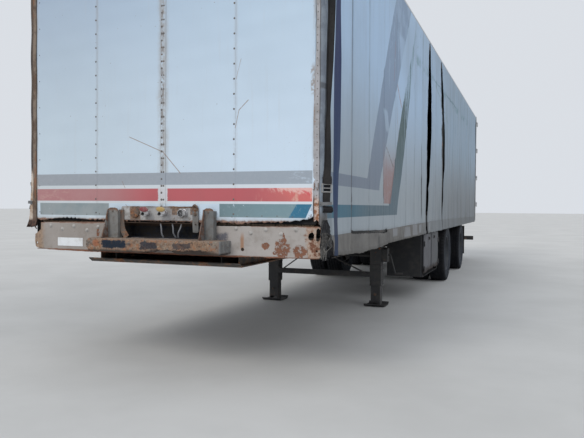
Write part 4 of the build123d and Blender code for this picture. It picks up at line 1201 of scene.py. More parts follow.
def panel_paint():
    g = G("coupling_panel_paint")
    x, z = g.x, g.z
    big, mid = g.noise(5, 6, 0.65, off=(7, 3, 9)), g.noise(20, 7, 0.7, off=(4, 1, 2))
    spots, fine = g.noise(60, 6, 0.72, off=(1, 8, 3)), g.noise(210, 4, 0.65)
    col = g.mix(g.step(big, 0.36, 0.64), (0.33, 0.325, 0.325), (0.415, 0.410, 0.405))
    col = g.mix(g.step(x + (mid - 0.5) * 0.2, -0.02, 0.08) * g.step(x, 0.20, 0.12) * 0.4, col, (0.20, 0.195, 0.22))
    col = g.mix(g.step(mid, 0.46, 0.66) * 0.55, col, (0.17, 0.145, 0.12))
    rust = g.step(z + (mid - 0.5) * 0.035, 1.243, 1.256) * (g.step(x, 0.02, 0.12) * 0.9 + 0.25)
    rust = g.mx(rust, g.step(spots * 0.5 + mid * 0.5, 0.60, 0.63))
    for cx, cz, r in ((0.116, 1.236, 0.035), (-0.236, 1.214, 0.052), (0.270, 1.235, 0.030), (-0.35, 1.21, 0.022)):
        d = g.mx(g.ab(x - cx), g.ab(z - cz) * 0.85)
        rust = g.mx(rust, g.step(d + (mid - 0.5) * 0.03, r, r * 0.8) * 0.85)
    col = g.mix(rust, col, g.mix(g.step(spots, 0.4, 0.6), (0.22, 0.13, 0.075), (0.10, 0.06, 0.04)))
    return g.done(col, g.clamp(0.5 + fine * 0.2), normal=g.bump(spots * 0.7 + fine * 0.3, 0.0018, 0.8), spec=0.3)


# painted shade: the recess is drawn near black, the shade inside it; the brown band at its top is rust
def recess_shade_paint():
    g = G("recess_shade_paint")
    a, b = g.noise(7, 6, 0.65), g.noise(26, 6, 0.7)
    col = g.mix(g.step(a, 0.42, 0.58), (0.018, 0.019, 0.026), (0.045, 0.040, 0.036))
    col = g.mix(g.step(b, 0.48, 0.62) * 0.5, col, (0.030, 0.042, 0.068))
    col = g.mix(g.step(g.z + (a - 0.5) * 0.03, 1.103, 1.118) * 0.7, col, (0.095, 0.06, 0.04))
    return g.done(col, g.clamp(0.7 + b * 0.2), normal=g.bump(b, 0.002, 0.7), spec=0.2)


M["hose"] = plastic("hose_covers", (0.30, 0.31, 0.34), 0.5, 0.7)
M["xm"], M["beam"], M["bracket"], M["panel"], M["recess"] = xm_paint(), beam_paint(), bracket_paint(), panel_paint(), recess_shade_paint()
M["cap_rust"] = steel("rusty_cap", (0.11, 0.085, 0.07), rust=0.75, dirt=0.5, seed=15.0, rough=0.65, scale=3)
M["cable"] = plastic("pale_cable", (0.34, 0.35, 0.38), 0.5, 0.7)
M["bolt"] = steel("bolt_heads", (0.42, 0.40, 0.38), rust=0.35, dirt=0.5, seed=16.0, rough=0.5, scale=5)

outline = list(XM_TOP) + [(-0.360, 1.024), (0.366, 1.024)] + list(XM_TOP_R) + [(1.232, 1.128), (1.2345, 1.02)] + list(XM_BOT) + list(XM_LEFT)
uv, tris = cut_sheet(outline, [XM_TORN, XM_GAP, ring2((0.658, 0.962), 0.0125), ring2((1.208, 0.966), 0.008, 10),
                               ring2((-1.187, 0.962), 0.009, 10)], pitch=0.020, edge=0.016, rag=0.0011, seed=4)
xm = Shape()
slab(xm, uv, tris, lambda u, v: np.stack([u, xm_y(u, v), v], -1), lambda u, v: np.stack([u, xm_y(u, v) + 0.006, v], -1))
for lo, hi in (((-1.145, 0.004, 1.120), (-0.36, 0.048, 1.126)), ((0.366, 0.004, 1.112), (1.2, 0.048, 1.118)),
               ((-1.19, 0.004, 0.912), (1.20, 0.048, 0.918))):
    xm.add(*cbox(lo, hi, 0.002), 0)
# the recess box behind the crossmember, closed at its back by a plate, all in the near-black recess finish as painted
# shade for the dark space behind
RX0, RX1 = -0.360, 0.366
for lo, hi in (((RX0, 0.0, 1.023), (RX1, 0.150, 1.0285)), ((RX0, 0.004, 1.1345), (RX1, 0.150, 1.140)),
               ((RX0 - 0.001, 0.003, 1.023), (RX0 + 0.0045, 0.150, 1.140)), ((RX1 - 0.0045, 0.003, 1.023), (RX1 + 0.001, 0.150, 1.140)),
               ((RX0, 0.145, 1.023), (RX1, 0.150, 1.140))):
    xm.add(*cbox(lo, hi, 0.0012), 1)
XM_BOLTS = ((-1.045, 1.101), (-0.929, 1.076), (-0.815, 1.101), (-0.689, 1.072), (-0.584, 1.098), (0.606, 1.109), (0.723, 1.080),
            (0.834, 1.106), (0.950, 1.078), (1.060, 1.108))
for bx, bz in XM_BOLTS:
    by = float(xm_y(np.array(bx), np.array(bz)))
    v, f = lathe((bx, by + 0.001, bz), (0, -1, 0), [(0, 0), (0, 0.016), (0.0025, 0.016), (0.0032, 0.0125), (0.007, 0.0105), (0.0095, 0.006), (0.0102, 0)], 16)
    xm.add(v, f, 3)
xm.make("front_crossmember_sheet", [M["xm"], M["recess"], M["spring"], M["bolt"]], slot="cream_steel", replaces=("front_crossmember",), sharp=35)

# ------------------------------------------------------------------ coupling beam
BX, BY, BT = 0.567, -0.160, 0.007


def beam_low(x):
    """Lower edge of the beam's face: rusted away right of the middle."""
    x = np.asarray(x, float)
    z = 0.9265 + 0.0022 * waves(41, 6, 0.12, x) + 0.0018 * waves(42, 5, 0.03, x)
    return z + 0.021 * np.exp(-((x - 0.115) / 0.085) ** 4) + 0.006 * np.exp(-((x + 0.03) / 0.05) ** 2)


xs = np.linspace(0.555, -0.50, 90)
face = [(-0.533, 0.926), (-0.565, 0.957), (-0.567, 1.000), (-0.545, 1.0215), (0.560, 1.0215), (0.567, 1.015), (0.567, 0.935)]
face += [(float(x), float(beam_low(x))) for x in xs]
uv, tris = cut_sheet(face, pitch=0.016, edge=0.012, rag=0.0004, seed=8)
bm = Shape()


def beam_y(u, v):
    return BY + 0.0018 * waves(43, 5, 0.22, u, v) + 0.0006 * waves(44, 6, 0.05, u, v) + 0.006 * np.clip((v - 1.012) / 0.010, 0, 1) ** 2


slab(bm, uv, tris, lambda u, v: np.stack([u, beam_y(u, v), v], -1), lambda u, v: np.stack([u, beam_y(u, v) + BT, v], -1))
topo = [(-0.548, BY + 0.010), (0.562, BY + 0.010), (0.566, -0.001), (-0.567, -0.001), (-0.567, -0.12)]
uv, tris = cut_sheet(topo, pitch=0.022, edge=0.02, seed=9)
tz = lambda u, v: 1.0225 + 0.0010 * waves(45, 5, 0.2, u, v) - 0.004 * np.clip((BY + 0.016 - v) / 0.008, 0, 1)
slab(bm, uv, tris, lambda u, v: np.stack([u, v, tz(u, v)], -1), lambda u, v: np.stack([u, v, tz(u, v) - 0.007], -1))
for sx in (-1, 1):
    e = [(BY + 0.004, 0.936 if sx > 0 else 0.957), (BY + 0.004, 1.016 if sx > 0 else 1.0), (-0.001, 1.020 if sx > 0 else 1.0), (-0.001, 0.93 if sx > 0 else 0.955)]
    uv, tris = cut_sheet(e, pitch=0.02, edge=0.016, rag=0.0004, seed=10)
    slab(bm, uv, tris, lambda u, v: np.stack([np.full(len(u), sx * BX), u, v], -1), lambda u, v: np.stack([np.full(len(u), sx * (BX - 0.007)), u, v], -1))
for x0, x1 in ((-0.555, -0.03), (0.21, 0.560)):
    bm.add(*cbox((x0, BY + 0.006, 0.926), (x1, -0.03, 0.933), 0.002), 0)
bm.make("coupling_beam_channel", [M["beam"]], slot="rusty_steel", replaces=("coupling_beam",), sharp=40)

# ------------------------------------------------------------------ uprights with gussets
up = Shape()
for k, (x0, x1) in enumerate(((-0.453, -0.363), (0.374, 0.452))):
    z0, z1, yf = 1.0225, 1.250, -0.050
    o = [(x0, z0), (x1, z0), (x1, z1 - 0.022), (x1 - 0.010, z1 - 0.006), (x1 - 0.028, z1), (x0 + 0.022, z1), (x0 + 0.008, z1 - 0.006), (x0, z1 - 0.024)]
    uv, tris = cut_sheet(o, pitch=0.012, edge=0.008, rag=0.0005, seed=20 + k)
    fy = lambda u, v: yf + 0.004 * (((u - x0) / (x1 - x0) * 2 - 1) ** 8) + 0.0008 * waves(51 + k, 5, 0.05, u, v)
    slab(up, uv, tris, lambda u, v: np.stack([u, fy(u, v), v], -1), lambda u, v: np.stack([u, fy(u, v) + 0.006, v], -1))
    for xs_ in (x0, x1 - 0.006):
        uv, tris = cut_sheet([(yf + 0.003, z0), (-0.001, z0), (-0.001, z1 - 0.02), (yf + 0.003, z1 - 0.02)], pitch=0.015, rag=0.0003, seed=23)
        slab(up, uv, tris, lambda u, v: np.stack([np.full(len(u), xs_), u, v], -1), lambda u, v: np.stack([np.full(len(u), xs_ + 0.006), u, v], -1))
    g0 = x0 + 0.001
    o = [(yf, z0), (-0.131, z0), (-0.128, z0 + 0.012), (-0.090, 1.130), (-0.062, 1.226), (-0.055, 1.238), (yf, 1.240)]
    uv, tris = cut_sheet(o, pitch=0.012, edge=0.008, rag=0.0006, seed=26 + k)
    slab(up, uv, tris, lambda u, v: np.stack([np.full(len(u), g0) + 0.0015 * waves(55 + k, 4, 0.1, u, v), u, v], -1),
         lambda u, v: np.stack([np.full(len(u), g0 + 0.008) + 0.0015 * waves(55 + k, 4, 0.1, u, v), u, v], -1))
    for p, q in (((x0 + 0.002, yf - 0.001, z0 + 0.003), (x1 - 0.002, yf - 0.001, z0 + 0.003)), ((g0 - 0.002, -0.128, z0 + 0.002), (g0 - 0.002, yf, z0 + 0.002)),
                 ((g0 - 0.001, yf - 0.002, z0 + 0.01), (g0 - 0.001, yf - 0.002, 1.236))):
        v, f = sweep(curve_points([p, tuple((a + b) / 2 for a, b in zip(p, q)), q], 18), circle(0.0042, 6))
        v = np.asarray(v) + 0.0008 * np.stack([waves(57, 5, 0.012, *np.asarray(v).T)] * 3, -1)
        up.add(v, f, 0)
# a bent plate inside the left upright that runs down to the beam
pts = [(-0.356, -0.012, 1.235), (-0.352, -0.014, 1.150), (-0.338, -0.020, 1.085), (-0.300, -0.034, 1.040), (-0.285, -0.040, 1.028)]
v, f = sweep(curve_points(pts, 26), [(-0.003, -0.022), (0.003, -0.022), (0.003, 0.022), (-0.003, 0.022)], up=(0, 1, 0))
up.add(v, f, 1)
domes(up, [(-0.408, -0.051, 1.225), (0.413, -0.051, 1.222)], (0, -1, 0), 0.009, 0.005, 1, 10)
up.make("coupling_upright_channels", [M["bracket"], M["cap_rust"]], slot="rusty_steel", replaces=("coupling_uprights",), sharp=38)

# ------------------------------------------------------------------ coupling panel, strap, cap
pn = Shape()
o = [(-0.361, 1.160), (0.262, 1.158), (0.262, 1.262), (0.15, 1.260), (0.10, 1.263), (-0.02, 1.260), (-0.10, 1.262), (-0.35, 1.261), (-0.361, 1.25)]
hol = [ring2((-0.120, 1.214), 0.020, 12), ring2((0.024, 1.216), 0.020, 12), ring2((0.187, 1.212), 0.027, 14)]
uv, tris = cut_sheet(o, hol, pitch=0.016, edge=0.010, rag=0.0006, seed=31)
py = lambda u, v: -0.008 + 0.0012 * waves(61, 5, 0.15, u, v) - 0.006 * np.clip((v - 1.252) / 0.01, 0, 1) ** 2 * np.clip(waves(62, 4, 0.3, u) + 0.4, 0, 1)
slab(pn, uv, tris, lambda u, v: np.stack([u, py(u, v), v], -1), lambda u, v: np.stack([u, py(u, v) + 0.004, v], -1))
pn.add(*cbox((-0.360, -0.005, 1.1605), (0.262, 0.000, 1.168), 0.001), 0)
o = [(0.264, 1.074), (0.300, 1.072), (0.311, 1.080), (0.3115, 1.245), (0.300, 1.262), (0.275, 1.265), (0.262, 1.252)]
uv, tris = cut_sheet(o, [ring2((0.290, 1.13), 0.006, 8)], pitch=0.012, edge=0.008, rag=0.0006, seed=33)
sy = lambda u, v: -0.015 + 0.0015 * waves(63, 5, 0.1, u, v) + 0.010 * np.clip((1.13 - v) / 0.06, 0, 1) * 0.6
slab(pn, uv, tris, lambda u, v: np.stack([u, sy(u, v), v], -1), lambda u, v: np.stack([u, sy(u, v) + 0.005, v], -1), 1)
pn.add(*lathe((-0.236, -0.007, 1.214), (0, -1, 0), [(0, 0.040), (0.003, 0.0405), (0.010, 0.038), (0.013, 0.033), (0.0145, 0.020), (0.0150, 0)], 28), 2)
nuts(pn, [(-0.236 + 0.030 * math.cos(a), -0.0165, 1.214 + 0.030 * math.sin(a)) for a in (0.6, 2.7, 4.8)], (0, -1, 0), 0.005, 0.003, 2)
nuts(pn, [(0.286, -0.016, 1.238), (0.286, -0.016, 1.205)], (0, -1, 0), 0.0095, 0.006, 2, washer=0.014)
nuts(pn, [(-0.345, -0.0095, 1.178), (-0.345, -0.0095, 1.248), (0.235, -0.0095, 1.175), (0.10, -0.0095, 1.175)], (0, -1, 0), 0.006, 0.004, 3, washer=0.010)
v, f = sweep(curve_points([(0.268, -0.016, 1.262), (0.285, -0.022, 1.272), (0.304, -0.016, 1.258)], 14), circle(0.0075, 8))
pn.add(v, f, 2)
pn.make("coupling_panel_sheet", [M["panel"], M["bracket"], M["cap_rust"], M["bolt"]], slot="grey_paint", replaces=("coupling_panel",), sharp=36)


# ------------------------------------------------------------------ palm couplings and socket
def air_palm(name, x, z, mat, slot, node):
    s = Shape()
    s.add(*lathe((x, -0.006, z), (0, -1, 0), [(0, 0.021), (0.004, 0.021), (0.005, 0.015), (0.018, 0.015), (0.019, 0.018), (0.030, 0.018),
                                             (0.032, 0.0145), (0.040, 0.0145)], 18), 0)
    # cast body: an oval pad standing on the stub, its claw to the right
    o = [(x + 0.039 * math.cos(t) + 0.004, z - 0.006 + 0.024 * math.sin(t)) for t in np.linspace(0, 2 * math.pi, 26, endpoint=False)]
    for y0, y1, k in ((-0.040, -0.052, 1.0), (-0.052, -0.062, 0.88)):
        pts = [((px - x) * k + x, (pz - z) * k + z) for px, pz in o]
        n = len(pts)
        vs = [(px, y0, pz) for px, pz in pts] + [((px - x) * 0.94 + x, y1, (pz - z) * 0.94 + z) for px, pz in pts]
        s.add(vs, [[i, (i + 1) % n, n + (i + 1) % n, n + i] for i in range(n)] + [list(range(n)), list(range(n, 2 * n))], 0)
    s.add(*lathe((x - 0.012, -0.060, z - 0.008), (0, -1, 0), [(0, 0.013), (0.003, 0.013), (0.004, 0.009), (0.002, 0.006), (0.002, 0)], 14), 2)
    s.add(*cbox((x + 0.020, -0.068, z - 0.018), (x + 0.038, -0.044, z + 0.010), 0.003), 0)
    s.add(*cbox((x + 0.010, -0.072, z - 0.014), (x + 0.034, -0.066, z - 0.002), 0.002), 0)
    # coloured dust flap, hinged at the top and tilted forwards
    lid, n = [], 22
    for t in np.linspace(0, 2 * math.pi, n, endpoint=False):
        lid.append((0.037 * math.cos(t), 0.021 * math.sin(t)))
    tilt = math.radians(28)
    rows = []
    for k, h in ((0.92, 0.0), (1.0, 0.003), (1.0, 0.008), (0.86, 0.012), (0.5, 0.014)):
        for a, b in lid:
            px, q = a * k + x + 0.002, b * k
            rows.append((px, -0.058 - h * math.cos(tilt) - (q + 0.017) * math.sin(tilt) * 0.55, z + 0.021 + q * math.cos(tilt) + h * math.sin(tilt)))
    fs = []
    for j in range(4):
        fs += [[j * n + i, j * n + (i + 1) % n, (j + 1) * n + (i + 1) % n, (j + 1) * n + i] for i in range(n)]
    fs += [list(range(n)), list(range(4 * n, 5 * n))]
    s.add(rows, fs, 1)
    s.add(*rod((x - 0.018, -0.052, z + 0.030), (x + 0.024, -0.052, z + 0.030), 0.0038, 8), 0)
    s.add(*cbox((x - 0.006, -0.052, z + 0.012), (x + 0.008, -0.046, z + 0.034), 0.0015), 0)
    s.add(*rod((x - 0.030, -0.047, z - 0.010), (x - 0.030, -0.070, z - 0.014), 0.0045, 8), 0)
    s.make(name, [M["cast"], mat, M["seal"]], slot=slot, replaces=(node,), sharp=40)


air_palm("red_palm_coupling", -0.120, 1.214, M["red"], "red_plastic", "air_coupling_red")
air_palm("yellow_palm_coupling", 0.024, 1.216, M["yellow"], "yellow_plastic", "air_coupling_yellow")

so = Shape()
so.add(*cbox((0.152, -0.013, 1.182), (0.222, -0.008, 1.246), 0.002), 0)
so.add(*lathe((0.187, -0.012, 1.212), (0, -1, 0), [(0, 0.031), (0.006, 0.031), (0.008, 0.027), (0.034, 0.026), (0.036, 0.0285), (0.044, 0.0285),
                                                  (0.0445, 0.0245), (0.030, 0.0235), (0.028, 0)], 26), 0)
so.add(*lathe((0.187, -0.039, 1.212), (0, -1, 0), [(0, 0.0225), (0.006, 0.0225), (0.007, 0.020), (0.007, 0)], 22), 1)
for k in range(6):
    a = 2 * math.pi * k / 6 + 0.3
    so.add(*rod((0.187 + 0.013 * math.cos(a), -0.044, 1.212 + 0.013 * math.sin(a)), (0.187 + 0.013 * math.cos(a), -0.052, 1.212 + 0.013 * math.sin(a)), 0.0022, 6), 2)
so.add(*rod((0.187, -0.044, 1.212), (0.187, -0.052, 1.212), 0.003, 6), 2)
# cover hinged at the right, half open
lid = lathe((0, 0, 0), (0, -1, 0), [(-0.003, 0.026), (0.0, 0.0305), (0.004, 0.0305), (0.0075, 0.026), (0.0085, 0)], 24)
lv = np.array(lid[0])
an = math.radians(-38)
lx, ly = lv[:, 0] - 0.032, lv[:, 1]
lv = np.stack([0.187 + 0.033 + lx * math.cos(an) - ly * math.sin(an), -0.054 + lx * math.sin(an) * -1 * -1 + ly * math.cos(an), lv[:, 2] + 1.212], -1)
so.add(lv, lid[1], 0)
so.add(*rod((0.2215, -0.054, 1.197), (0.2215, -0.054, 1.228), 0.004, 8), 2)
nuts(so, [(0.158, -0.0135, 1.188), (0.216, -0.0135, 1.188), (0.158, -0.0135, 1.240), (0.216, -0.0135, 1.240)], (0, -1, 0), 0.0038, 0.003, 2)
so.make("lighting_socket", [M["cast"], M["black"], M["bright"]], slot="socket_metal", replaces=("electric_socket",), sharp=38)

# ------------------------------------------------------------------ corner posts
def post_material(name, left):
    g = G(name)
    x, y, z = g.x, g.y, g.z
    mid, spots, fine = g.noise(9, 7, 0.7, off=(3, 2, 5)), g.noise(40, 6, 0.72, off=(1, 4, 3)), g.noise(200, 4, 0.65)
    if left:
        face = g.mix(g.step(mid, 0.4, 0.62), (0.21, 0.165, 0.13), (0.105, 0.07, 0.05))
        face = g.mix(g.step(g.noise(12, 6, 0.7, stretch=(1, 1, 0.25), off=(8, 1, 1)), 0.56, 0.64) * 0.7, face, (0.20, 0.085, 0.04))
        pale = g.mix(g.step(mid, 0.45, 0.65), (0.55, 0.48, 0.41), (0.36, 0.27, 0.20))
        pale = g.mix(g.step(spots, 0.56, 0.62) * 0.8, pale, (0.30, 0.12, 0.05))
        # painted shadow: above its flared foot the outer lip is drawn near black; below, the cream paint shows
        dark = g.mix(g.step(mid, 0.4, 0.6), (0.05, 0.04, 0.035), (0.10, 0.075, 0.055))
        low = g.step(z + (mid - 0.5) * 0.1, 1.56, 1.50)
        lip = g.step(x + (spots - 0.5) * 0.01, -1.222, -1.232)
        col = g.mix(lip, face, g.mix(low, dark, pale))
        col = g.mix(g.step(x, -1.197, -1.189) * 0.7, col, (0.03, 0.025, 0.02))
        col = g.mix(g.step(z + (mid - 0.5) * 0.05, 1.165, 1.135), col, g.mix(g.step(spots, 0.4, 0.6), (0.09, 0.045, 0.03), (0.03, 0.018, 0.014)))
    else:
        face = g.mix(g.step(mid, 0.40, 0.65), (0.385, 0.382, 0.40), (0.285, 0.275, 0.275))
        near = g.step(x + (spots - 0.5) * 0.02, 1.198, 1.184)
        brown = near * g.mx(g.step(mid + g.noise(3, 4, 0.6) * 0.6, 0.76, 0.92) * 0.6, g.band(z + (mid - 0.5) * 0.12, 1.98, 2.20, 0.03) * g.step(spots, 0.36, 0.5))
        col = g.mix(brown * 0.8, face, (0.20, 0.12, 0.08))
        sp = g.cells(55, off=(2, 2, 2))
        col = g.mix(g.step(sp, 0.24, 0.16) * g.step(mid, 0.47, 0.55) * g.step(z, 2.5, 1.9) * 0.85, col, (0.30, 0.13, 0.06))
        low = g.step(z + (mid - 0.5) * 0.12 + (spots - 0.5) * 0.05, 1.345, 1.285)
        flake = g.mix(g.step(spots, 0.44, 0.56), (0.52, 0.41, 0.355), (0.26, 0.115, 0.060))
        flake = g.mix(g.step(spots * 0.5 + mid * 0.5, 0.54, 0.60), flake, (0.13, 0.06, 0.035))
        col = g.mix(low, col, flake)
        col = g.mix(g.step(x, 1.1935, 1.1900) * g.step(z + (mid - 0.5) * 0.1, 1.36, 1.30) * 0.9, col, (0.055, 0.028, 0.020))
        pole = g.step(x, 1.2245, 1.2285)
        pc = g.mix(g.step(mid, 0.4, 0.6), (0.200, 0.232, 0.270), (0.138, 0.160, 0.196))
        pc = g.mix(g.step(g.noise(14, 6, 0.7, stretch=(1, 1, 0.2), off=(1, 1, 6)), 0.52, 0.66) * 0.5, pc, (0.10, 0.12, 0.155))
        pc = g.mix(g.step(g.ab(z - 2.075 + (mid - 0.5) * 0.05), 0.028, 0.012) * 0.75, pc, (0.06, 0.065, 0.075))
        pc = g.mix(g.step(z, 1.26, 1.18) * 0.8, pc, (0.10, 0.09, 0.08))
        col = g.mix(pole, col, pc)
        col = g.mix(g.step(g.ab(x - 1.2249), 0.0024, 0.0010) * 0.75, col, (0.05, 0.05, 0.055))
    return g.done(col, g.clamp(0.5 + fine * 0.2), normal=g.bump(spots * 0.7 + fine * 0.3, 0.002, 0.8), spec=0.3)


M["post_right"], M["post_left"] = post_material("post_paint_near", False), post_material("post_paint_far", True)
po = Shape()


def post_sheet(sec, zlo, zhi, bend, mat, rows=90, seed=1):
    """Skin of a post: section points (x, y), closed by its inside 3 mm behind it."""
    sec = np.asarray(sec, float)
    n = len(sec)
    d = np.gradient(sec, axis=0)
    nrm = np.stack([-d[:, 1], d[:, 0]], -1)
    nrm /= np.linalg.norm(nrm, axis=1)[:, None]
    zs = np.linspace(0, 1, rows)
    out = []
    for layer in (0, 1):
        p = sec + (nrm * 0.003 if layer else 0)
        for k in zs:
            for i in range(n):
                z = zlo[i] + (zhi - zlo[i]) * k
                dx, dy = bend(p[i, 0], p[i, 1], z)
                out.append((p[i, 0] + dx, p[i, 1] + dy, z))
    m = rows * n
    faces = []
    for j in range(rows - 1):
        for i in range(n - 1):
            a = j * n + i
            faces.append((a, a + 1, a + n + 1, a + n))
            faces.append((m + a + n, m + a + n + 1, m + a + 1, m + a))
    for i in range(n - 1):
        faces.append((i + 1, i, m + i, m + i + 1))
        t = (rows - 1) * n + i
        faces.append((t, t + 1, m + t + 1, m + t))
    for j in range(rows - 1):
        a = j * n
        faces.append((a, a + n, m + a + n, m + a))
        b = j * n + n - 1
        faces.append((b + n, b, m + b, m + b + n))
    po.add(out, faces, mat)


sec = [(1.182, -0.0030), (1.190, -0.0042), (1.206, -0.0042), (1.2215, -0.0036), (1.2235, 0.0015), (1.2262, 0.0020), (1.2280, -0.0022),
       (1.2340, -0.0042), (1.2400, -0.0022), (1.2455, 0.0040), (1.2502, 0.0130), (1.2505, 0.0260), (1.2465, 0.0310), (1.2465, 0.0420), (1.2490, 0.0460),
       (1.2485, 0.0980)]
zl = [1.176, 1.170, 1.174, 1.165, 1.150, 1.150, 1.160, 1.140, 1.132, 1.118, 1.100, 1.095, 1.098, 1.090, 1.092, 1.100]
r = np.random.default_rng(3)
zl = [z + r.uniform(-0.008, 0.008) for z in zl]


def bend_r(x, y, z):
    dy = 0.0015 * float(waves(71, 5, 0.4, x, z)) + 0.004 * max(0.0, float(waves(72, 4, 0.2, z))) * (z < 1.8)
    low = max(0.0, min(1.0, (1.26 - z) / 0.16)) ** 2
    nar = max(0.0, min(1.0, (z - 1.98) / 0.34)) * max(0.0, min(1.0, (1.206 - x) / 0.020))
    return 0.001 * float(waves(73, 5, 0.3, z)) + 0.005 * low + 0.016 * nar, dy + 0.012 * low * (x < 1.22)


post_sheet(sec, zl, 3.530, bend_r, 0, rows=110)
domes(po, [(1.2075 + bend_r(1.22, 0, z)[0], -0.0042 + bend_r(1.2, 0, z)[1], z) for z in np.arange(1.29, 3.5, 0.051)], (0, -1, 0), 0.0042, 0.002, 2, 8)

sec = [(-1.186, -0.0020), (-1.196, -0.0036), (-1.208, -0.0040), (-1.220, -0.0036), (-1.2245, 0.0010), (-1.2275, -0.0020), (-1.2400, -0.0045),
       (-1.2470, 0.0010), (-1.2500, 0.0100), (-1.2500, 0.0500), (-1.2500, 0.0980)][::-1]
r = np.random.default_rng(6)
zl = [1.09 + r.uniform(-0.022, 0.025) for _ in sec]


def bend_l(x, y, z):
    s = max(0.0, min(1.0, (1.53 - z) / 0.42))
    out = -0.022 * s ** 1.3 * max(0.0, min(1.0, (-x - 1.196) / 0.045))
    low = max(0.0, min(1.0, (1.185 - z) / 0.10))
    return (out + 0.0012 * float(waves(74, 5, 0.3, z)) + low * 0.010 * float(waves(75, 5, 0.06, x, z)),
            0.0015 * float(waves(76, 5, 0.4, x, z)) - 0.020 * low ** 2 * (y < 0.02) + low * 0.008 * float(waves(77, 5, 0.05, x, z)))


post_sheet(sec, zl, 3.530, bend_l, 1, rows=110)
domes(po, [(-1.200 + bend_l(-1.2, 0, z)[0], -0.0040 + bend_l(-1.2, 0, z)[1], z) for z in np.arange(1.29, 3.5, 0.105)], (0, -1, 0), 0.0042, 0.002, 2, 8)
for sx in (-1, 1):                       # closing bar and back lip inside each post, cap on its top
    po.add(*cbox((min(sx * 1.197, sx * 1.246), 0.040, 1.20), (max(sx * 1.197, sx * 1.246), 0.046, 3.47), 0.002), 3)
    po.add(*cbox((min(sx * 1.195, sx * 1.250), 0.000, 3.5305 - 0.006), (max(sx * 1.195, sx * 1.250), 0.100, 3.5305), 0.002), 3)
for hx in (1.1925, 1.2185):
    v, f = sweep(curve_points([(hx, -0.0045, 1.426), (hx + 0.001, -0.008, 1.402), (hx, -0.0085, 1.386), (hx - 0.005, -0.009, 1.378), (hx - 0.010, -0.0085, 1.382)], 16), circle(0.0024, 6))
    po.add(v, f, 4)
po.make("corner_post_skins", [M["post_right"], M["post_left"], M["rivet"], M["grey"], M["cap_rust"]], slot="grey_paint", replaces=("front_posts",), sharp=40)

# ------------------------------------------------------------------ curtains
SEAM_Y = (0.72, 1.27, 1.85, 2.39, 2.98, 3.50, 4.05, 4.62, 5.20, 6.34, 7.45, 8.56, 9.20, 10.25, 11.15)
RIB_Y = (6.83, 7.33, 8.13, 8.75, 9.76, 10.69, 11.61)
HEM = ((0.16, 0.925), (0.255, 0.918), (0.32, 0.920), (0.554, 0.910), (0.96, 0.892), (1.206, 0.897), (1.567, 0.893), (2.053, 0.914),
       (2.718, 0.916), (3.922, 0.916), (5.757, 0.915), (9.0, 0.920), (12.07, 0.925))
SKIRT = ((0.16, 1.066), (0.729, 1.068), (2.004, 1.050), (3.0, 1.062), (4.26, 1.069), (5.74, 1.078), (9.0, 1.064), (12.07, 1.050))
TEAR_TOP = ((0.729, 1.058), (0.80, 1.070), (0.986, 1.068), (1.20, 1.060), (1.395, 1.055), (1.55, 1.060), (1.704, 1.048), (1.90, 1.053), (2.004, 1.044))
TEAR_LOW = ((0.729, 1.066), (0.80, 1.058), (0.987, 1.054), (1.20, 1.048), (1.508, 1.039), (1.70, 1.032), (1.90, 1.022), (2.004, 1.030))
SLIT_A = (((0.95, 4.470), (1.13, 4.451), (1.31, 4.485), (1.675, 4.569), (2.04, 4.639), (2.30, 4.662), (2.96, 4.647), (3.31, 4.614), (3.47, 4.596)),
          ((0.88, 0.040), (0.95, 0.044), (1.13, 0.058), (1.31, 0.072), (1.49, 0.090), (1.675, 0.114), (1.86, 0.152), (2.04, 0.176), (2.30, 0.184),
           (2.60, 0.156), (2.96, 0.118), (3.31, 0.086), (3.44, 0.066), (3.482, 0.045), (3.492, 0.002), (3.6, 0.0)))
SLIT_B = (((0.96, 6.018), (1.32, 6.018), (1.744, 6.069), (2.167, 6.066), (2.585, 6.019), (2.788, 5.969), (3.181, 5.840), (3.374, 5.777), (3.47, 5.750)),
          ((0.88, 0.034), (0.96, 0.040), (1.11, 0.052), (1.32, 0.068), (1.53, 0.096), (1.744, 0.125), (1.957, 0.164), (2.167, 0.188), (2.376, 0.180),
           (2.585, 0.150), (2.788, 0.120), (3.181, 0.100), (3.374, 0.084), (3.44, 0.066), (3.482, 0.043), (3.492, 0.002), (3.6, 0.0)))


def ragged(z, h, seed):
    """Half of the gap between a slit's two edges, with the small unevenness of a torn edge."""
    w = lerp_table(z, h)
    return w * (1 + 0.055 * waves(seed, 6, 0.33, z)) + np.minimum(w, 0.02) * 0.22 * waves(seed + 1, 7, 0.07, z)


def lerp_table(t, table):
    a = np.asarray(table, float)
    return np.interp(t, a[:, 0], a[:, 1])


